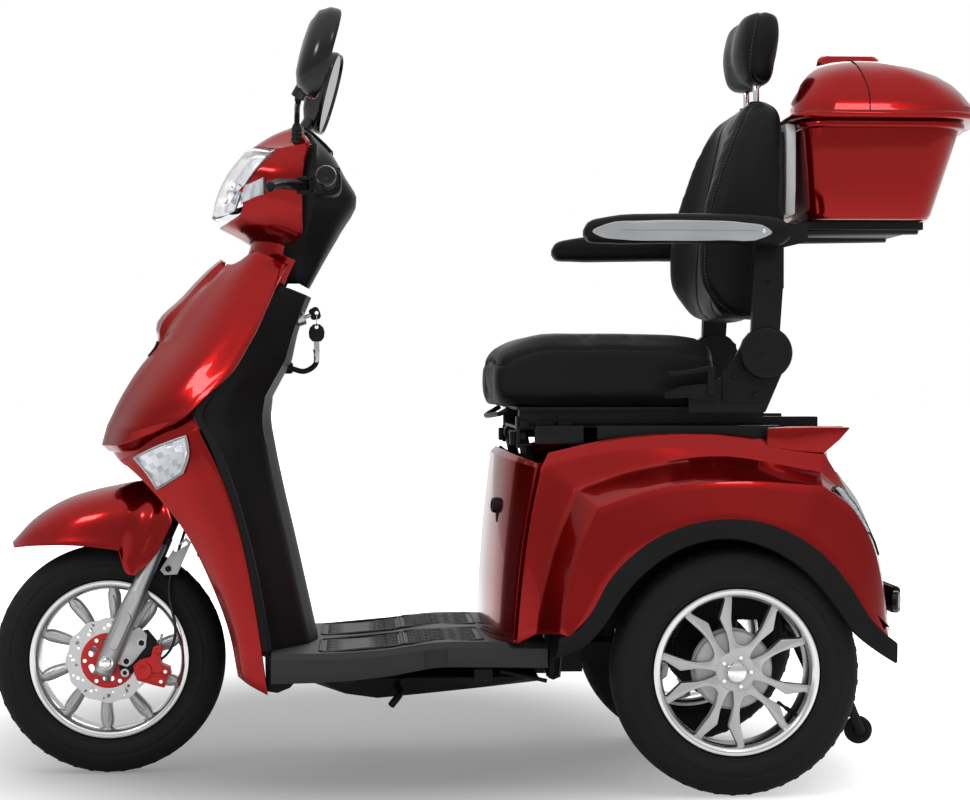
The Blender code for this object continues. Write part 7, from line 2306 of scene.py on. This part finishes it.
def build_recliner():
    """Round hinge covers, bolts, levers and slide guides on the seat's steel."""
    for word, side in SIDES:
        at = Vector((0.467, side * 0.2745, 0.763))
        cover = [
            (-0.001, 0.0455), (0.004, 0.0455), (0.0075, 0.0435), (0.0095, 0.038), (0.01, 0.012),
            (0.0092, 0.0105), (0.0092, 0),
        ]
        part("hinge_cover_" + word, turned(cover, at, SIDE * side, 64), "backrest", BLACK_MOULDED)
        sleeve = [
            (0.4415, 0.8), (0.4905, 0.8), (0.496, 0.88), (0.496, 0.94), (0.486, 0.958), (0.452, 0.958),
            (0.444, 0.9),
        ]
        near, far = span(side, 0.2745, 0.279)
        sheath = linked("upright_sleeve_" + word, prism(sleeve, near, far))
        for angle in (0, 90):
            half = Vector((0.0055, 0, 0.0012)) if angle == 0 else Vector((0.0012, 0, 0.0055))
            spot = Vector((0.468, side * 0.279, 0.886))
            cut(sheath, [block(spot - half - SIDE * 0.002, spot + half + SIDE * 0.002)])
        eased(sheath, 0.0018)
        mount(sheath, "backrest", BLACK_MOULDED)
        plate = [
            (0.468, 0.676), (0.5, 0.742), (0.5, 0.782), (0.482, 0.8), (0.452, 0.8), (0.43, 0.778),
            (0.401, 0.736),
        ]
        plate += [(0.337, 0.71), (0.337, 0.676)] if side > 0 else [(0.393, 0.731), (0.393, 0.676)]
        near, far = span(side, 0.2524, 0.255)
        part("recliner_plate_" + word, prism(plate, near, far), "seat", TRIM_GREY, bevel=0.001)
        bolts = []
        spots = ((0.452, 0.69), (0.415, 0.724), (0.352, 0.69))
        for x, z in spots if side > 0 else spots[:2]:
            bolts.append(hex_bolt(Vector((x, side * 0.2548, z)), SIDE * side, 0.0052, 0.0042))
        part("recliner_bolts_" + word, bolts, "seat", BLACK_STEEL, bevel=0.0004)
    grip = spline(
        [(0.372, -0.262, 0.735), (0.345, -0.266, 0.731), (0.318, -0.27, 0.727), (0.298, -0.271, 0.724)],
        4,
    )
    thick = [0.0065 - 0.0016 * sin(pi * k / (len(grip) - 1)) for k in range(len(grip))]
    link = prism([(0.365, 0.69), (0.379, 0.69), (0.378, 0.738), (0.366, 0.74)], -0.2698, -0.2664)
    part("recline_handle", [swept(grip, thick, 16), link], "recline_lever", TRIM_GREY, bevel=0.0006)
    guides = []
    for x, y, w in ((0.046, -0.186, 0.016), (0.072, -0.186, 0.034), (0.112, -0.187, 0.026)):
        guides.append(block((x, y - 0.01, 0.6302), (x + w, y + 0.004, 0.644)))
    part("slide_guides", guides, "seat_base", TRIM_GREY, bevel=0.002)
    bracket = []
    for side in (-1, 1):
        y = side * 0.186
        bracket.append(block((0.04, y - 0.004, 0.596), (0.046, y + 0.004, 0.629)))
        bracket.append(block((0.04, y - 0.012, 0.6), (0.066, y + 0.012, 0.604)))
    part("seat_front_brackets", bracket, "seat_base", BLACK_STEEL, bevel=0.0008)
    clips = []
    for side in (-1, 1):
        clips.append(block((0.03, side * 0.15 - 0.012, 0.6), (0.044, side * 0.15 + 0.012, 0.624)))
    part("seat_latch_pads", clips, "seat_base", BLACK_MOULDED, bevel=0.002)
    bar = [
        (0.03, -0.13, 0.664), (0.016, -0.12, 0.656), (0.01, -0.1, 0.654), (0.01, 0.1, 0.654),
        (0.016, 0.12, 0.656), (0.03, 0.13, 0.664),
    ]
    part("slide_release_bar", swept(spline(bar, 6), 0.0045, 14), "seat", BLACK_STEEL)


def build_seat():
    """The whole seat, from the cushion up."""
    build_cushion()
    build_back()
    build_headrest()
    build_armrests()
    build_recliner()


def build_box():
    """The red luggage box on its rack, with a domed lid, a rolled flange, a handle and a lock."""
    wall = 0.004
    floor_z, rim_z = 1.0, 1.178
    outer = [
        rounded((0.574, 0.768), 0.178, 0.028, floor_z + 0.0008, 0.02),
        rounded((0.567, 0.775), 0.185, 0.036, floor_z + 0.003, 0.021),
        rounded((0.562, 0.78), 0.19, 0.04, floor_z + 0.012, 0.022),
        rounded((0.5575, 0.794), 0.195, 0.043, floor_z + 0.06, 0.026),
        rounded((0.5535, 0.811), 0.2005, 0.046, floor_z + 0.118, 0.03),
        rounded((0.549, 0.828), 0.206, 0.05, rim_z - 0.001, 0.034),
    ]
    inner = [
        rounded((0.549 + wall, 0.828 - wall), 0.206 - wall, 0.047, rim_z - 0.001, 0.034),
        rounded((0.566, 0.776), 0.186, 0.037, floor_z + 0.014, 0.022),
        rounded((0.578, 0.766), 0.174, 0.027, floor_z + wall, 0.02),
    ]
    part("box_tub", stacked(outer + inner), "backrest", RED, "top_box", 0.0012)
    lip = [
        rounded((0.5495, 0.8275), 0.2055, 0.05, rim_z - 0.016, 0.034),
        rounded((0.545, 0.833), 0.2105, 0.052, rim_z - 0.013, 0.035),
        rounded((0.545, 0.833), 0.2105, 0.052, rim_z - 0.004, 0.035),
        rounded((0.5495, 0.8275), 0.2055, 0.05, rim_z - 0.0015, 0.034),
        rounded((0.556, 0.82), 0.2, 0.046, rim_z - 0.0015, 0.034),
        rounded((0.556, 0.82), 0.2, 0.046, rim_z - 0.016, 0.034),
    ]
    part("box_rim_band", stacked(lip), "backrest", RED, bevel=0.0012)
    rim = rim_z + 0.0004
    bow = 0.042
    shell = [
        rounded((0.536, 0.849), 0.22, 0.058, rim, bow),
        rounded((0.532, 0.853), 0.224, 0.06, rim + 0.0015, bow),
        rounded((0.53, 0.856), 0.226, 0.062, rim + 0.006, bow),
        rounded((0.5315, 0.854), 0.2245, 0.062, rim + 0.0115, bow),
        rounded((0.5375, 0.8465), 0.2185, 0.063, rim + 0.0135, 0.041),
        rounded((0.538, 0.846), 0.218, 0.064, rim + 0.024, 0.04),
        rounded((0.547, 0.83), 0.208, 0.066, rim + 0.05, 0.034),
        rounded((0.554, 0.815), 0.2, 0.068, rim + 0.068, 0.03),
        rounded((0.564, 0.794), 0.188, 0.07, rim + 0.084, 0.026),
        rounded((0.578, 0.77), 0.17, 0.069, rim + 0.098, 0.02),
        rounded((0.596, 0.742), 0.146, 0.066, rim + 0.109, 0.014),
        rounded((0.616, 0.718), 0.106, 0.05, rim + 0.1155, 0.008),
        rounded((0.644, 0.69), 0.06, 0.018, rim + 0.119, 0.0),
    ]
    hollow = [
        rounded((0.646, 0.688), 0.056, 0.016, rim + 0.114, 0.0),
        rounded((0.6, 0.738), 0.142, 0.062, rim + 0.105, 0.014),
        rounded((0.569, 0.79), 0.184, 0.066, rim + 0.08, 0.026),
        rounded((0.552, 0.825), 0.203, 0.062, rim + 0.048, 0.034),
        rounded((0.556, 0.82), 0.202, 0.05, rim + 0.022, 0.034),
        rounded((0.556, 0.82), 0.202, 0.05, rim, 0.034),
    ]
    part("lid_dome", stacked(shell + hollow), "box_lid", RED, "box_lid", 0.0008, 30)
    handle = [
        rounded((0.6, 0.722), 0.066, 0.02, rim + 0.104),
        rounded((0.604, 0.718), 0.062, 0.018, rim + 0.126),
        rounded((0.608, 0.714), 0.059, 0.018, rim + 0.131),
        rounded((0.615, 0.707), 0.053, 0.018, rim + 0.133),
        rounded((0.632, 0.692), 0.036, 0.014, rim + 0.1335),
    ]
    part("lid_handle", stacked(handle), "box_lid", RED)
    # Painted shade: thin near-black lines laid along the lid's split, where shade falls in the groove.
    lines = []
    for side in (-1, 1):
        path = []
        for z, y in (
            (0.014, 0.219), (0.024, 0.218), (0.05, 0.208), (0.068, 0.2), (0.084, 0.188), (0.098, 0.17),
            (0.109, 0.146), (0.1155, 0.106),
        ):
            path.append(Vector((0.662 - 0.25 * max(z - 0.05, 0), side * y, rim + z)))
        lines.append(swept(spline(path, 4), 0.001, 8))
    part("lid_split_lines", lines, "box_lid", SHADOW_BLACK)
    lock = [
        (-0.004, 0.011), (0.004, 0.011), (0.0055, 0.01), (0.0055, 0.0065), (0.0046, 0.006), (0.0046, 0),
    ]
    part("box_lock", turned(lock, (0.8615, 0, rim_z - 0.03), (1, 0, -0.2), 32), "backrest", CHROME)
    hinges = []
    for side in (-1, 1):
        hinges.append(
            rod((0.5335, side * 0.095, rim_z + 0.006), (0.5335, side * 0.135, rim_z + 0.006), 0.0045, 20)
        )
    part("box_hinges", hinges, "backrest", BLACK_STEEL, bevel=0.0006)
    strip = [
        Vector((0.5245, -0.15, 1.012)),
        Vector((0.5245, 0.15, 1.012)),
        Vector((0.5245, 0.158, 1.06)),
        Vector((0.5245, 0.158, 1.16)),
        Vector((0.5265, 0.14, 1.176)),
        Vector((0.5265, -0.14, 1.176)),
        Vector((0.5245, -0.158, 1.16)),
        Vector((0.5245, -0.158, 1.06)),
    ]
    back = [p + Vector((0.018, 0, 0)) for p in strip]
    part("box_back_pad", stacked([strip, back]), "backrest", PALE_PLASTIC, bevel=0.003)


def dress_frame():
    """Finishes for the pieces whose own shape shows."""
    finishes = {
        "main_frame": BLACK_STEEL,
        "swing_arm": BLACK_STEEL,
        "steering_stem": BLACK_STEEL,
        "battery_pack": BLACK_MOULDED,
        "seat_base": BLACK_STEEL,
        "seat_slider": BLACK_STEEL,
        "backrest_frame": BLACK_STEEL,
        "recline_lever": TRIM_GREY,
    }
    for name, material in finishes.items():
        mesh = NODES[name].data
        for i in range(len(mesh.materials)):
            mesh.materials[i] = material
        if not mesh.materials:
            mesh.materials.append(material)


def build_shocks():
    """Dampers with coil springs."""
    for word, side in SIDES:
        low = Vector((0.412, side * 0.212, REAR_AXLE.z + 0.0284))
        high = Vector((0.452, side * 0.212, 0.545))
        way = (high - low).normalized()
        length = (high - low).length
        first = way.orthogonal().normalized()
        second = way.cross(first)
        coil = []
        for i in range(7 * 24 + 1):
            a = 2 * pi * i / 24
            rise = 0.034 + (length - 0.068) * i / (7 * 24)
            coil.append(low + way * rise + (first * cos(a) + second * sin(a)) * 0.0158)
        body = [
            (0, 0), (0, 0.008), (0.001, 0.009), (0.026, 0.009), (0.027, 0.0195), (0.029, 0.0205),
            (0.037, 0.0205),
        ]
        body += [
            (0.038, 0.0195), (0.038, 0.01), (length * 0.55, 0.01), (length * 0.55, 0.007),
            (length - 0.038, 0.007),
        ]
        body += [
            (length - 0.038, 0.0195), (length - 0.037, 0.0205), (length - 0.029, 0.0205),
            (length - 0.027, 0.0195),
        ]
        body += [
            (length - 0.026, 0.009), (length - 0.001, 0.009), (length - 0.0004, 0.008),
            (length - 0.0004, 0),
        ]
        damper = part(
            "shock_damper_" + word, turned(body, low, way, 32), "chassis", BLACK_STEEL, "shock_" + word,
        )
        spring = part("shock_spring_" + word, swept(coil, 0.003, 10), "chassis", BLACK_STEEL)
        for piece in (damper, spring):
            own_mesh(piece)


def build_fittings():
    """Anti-tip wheels, axle plates, motor fins, the fork's bracket and what hangs under the floor."""
    for word, side in SIDES:
        centre = Vector((0.664, side * 0.125, 0.083))
        body = "anti_tip_" + word
        wheel = [
            (-0.0095, 0.015), (-0.0095, 0.021), (-0.008, 0.0235), (-0.0045, 0.025), (0.0045, 0.025),
            (0.008, 0.0235), (0.0095, 0.021), (0.0095, 0.015),
        ]
        part(
            "anti_tip_tread_" + word, turned(wheel, centre, SIDE, 48, True), body, RUBBER,
            "anti_tip_wheel_" + word,
        )
        hub = [
            (-0.01, 0.0048), (-0.01, 0.009), (-0.0075, 0.0105), (-0.0085, 0.0152), (0.0085, 0.0152),
            (0.0075, 0.0105), (0.01, 0.009), (0.01, 0.0048),
        ]
        part("anti_tip_hub_" + word, turned(hub, centre, SIDE, 40, True), body, TRIM_GREY)
        part(
            "anti_tip_bolt_" + word, hex_bolt(centre - SIDE * 0.0105, -SIDE, 0.0062, 0.005), "chassis",
            CHROME, bevel=0.0004,
        )
        plate = [
            (-0.02, 0.03), (0.02, 0.03), (0.03, 0.01), (0.026, -0.046), (0.01, -0.046), (0.008, -0.014),
            (-0.008, -0.014), (-0.01, -0.046), (-0.026, -0.046), (-0.03, 0.01),
        ]
        outline = from_axle(REAR_AXLE, plate)
        near, far = span(side, 0.2385, 0.244)
        part("axle_plate_" + word, prism(outline, near, far), "rear_axle", PALE_ALLOY, bevel=0.0012)
    fins = []
    for i in range(7):
        y = -0.066 + 0.018 * i
        fins.append(
            turned(
                [(y, 0.066), (y, 0.0755), (y + 0.004, 0.0755), (y + 0.004, 0.066)], REAR_AXLE, SIDE, 48,
                True,
            )
        )
    part("motor_fins", fins, "rear_axle", BLACK_STEEL, bevel=0.0006)
    peg = [(-0.172, -0.168, 0.176), (-0.166, -0.186, 0.166), (-0.182, -0.204, 0.146)]
    part("floor_peg", swept(spline(peg, 4), 0.0065, 14), "chassis", BLACK_MOULDED, bevel=0.001)
    rods = [(0.01, -0.196, 0.204), (0.05, -0.2, 0.196), (0.092, -0.198, 0.186)]
    part("park_brake_rod", swept(spline(rods, 4), 0.0036, 12), "chassis", BLACK_STEEL)
    outline = [
        (-0.55, 0.431), (-0.541, 0.421), (-0.566, 0.364), (-0.589, 0.363), (-0.597, 0.372),
        (-0.574, 0.408),
    ]
    tab = linked("fork_top_bracket", prism(outline, -0.052, -0.047))
    slots = [Vector((-0.569 + 0.0045 * k, -0.05, 0.4085 + 0.0028 * k)) for k in range(5)]
    for at in slots:
        cut(tab, [rod(at - SIDE * 0.01, at + SIDE * 0.01, 0.0036, 16)])
    eased(tab, 0.0008)
    mount(tab, "steering", PALE_ALLOY)
    part(
        "fork_bracket_bolt", hex_bolt(Vector((-0.582, -0.0518, 0.374)), -SIDE, 0.0062, 0.004), "steering",
        BLACK_STEEL,
    )
    lips = []
    for side in (-1, 1):
        near, far = span(side, 0.2, 0.236)
        lips.append(block((0.07, near, 0.604), (0.5, far, 0.6365)))
        lips.append(block((0.15, near, 0.598), (0.18, far, 0.6365)))
    part("deck_side_rails", lips, "chassis", BLACK_STEEL, bevel=0.003)
    nose = [
        (-0.402, 0.236), (-0.352, 0.236), (-0.346, 0.192), (-0.358, 0.178), (-0.38, 0.169), (-0.4, 0.172),
    ]
    part("deck_nose", prism(nose, -0.205, 0.205), "chassis", BLACK_MOULDED, bevel=0.004)


def main():
    build_stage()
    build_hose()
    build_nacelle()
    build_dash()
    build_front_cowl()
    build_front_sides()
    build_leg_shield()
    build_fender()
    build_floor()
    build_battery_cover()
    build_fairings()
    build_tail()
    build_front_wheel()
    for word, side in SIDES:
        build_rear_wheel(word, side)
    build_fork()
    build_caliper()
    build_bars()
    build_mirrors()
    build_keys()
    build_seat()
    build_box()
    dress_frame()
    build_shocks()
    build_fittings()


main()
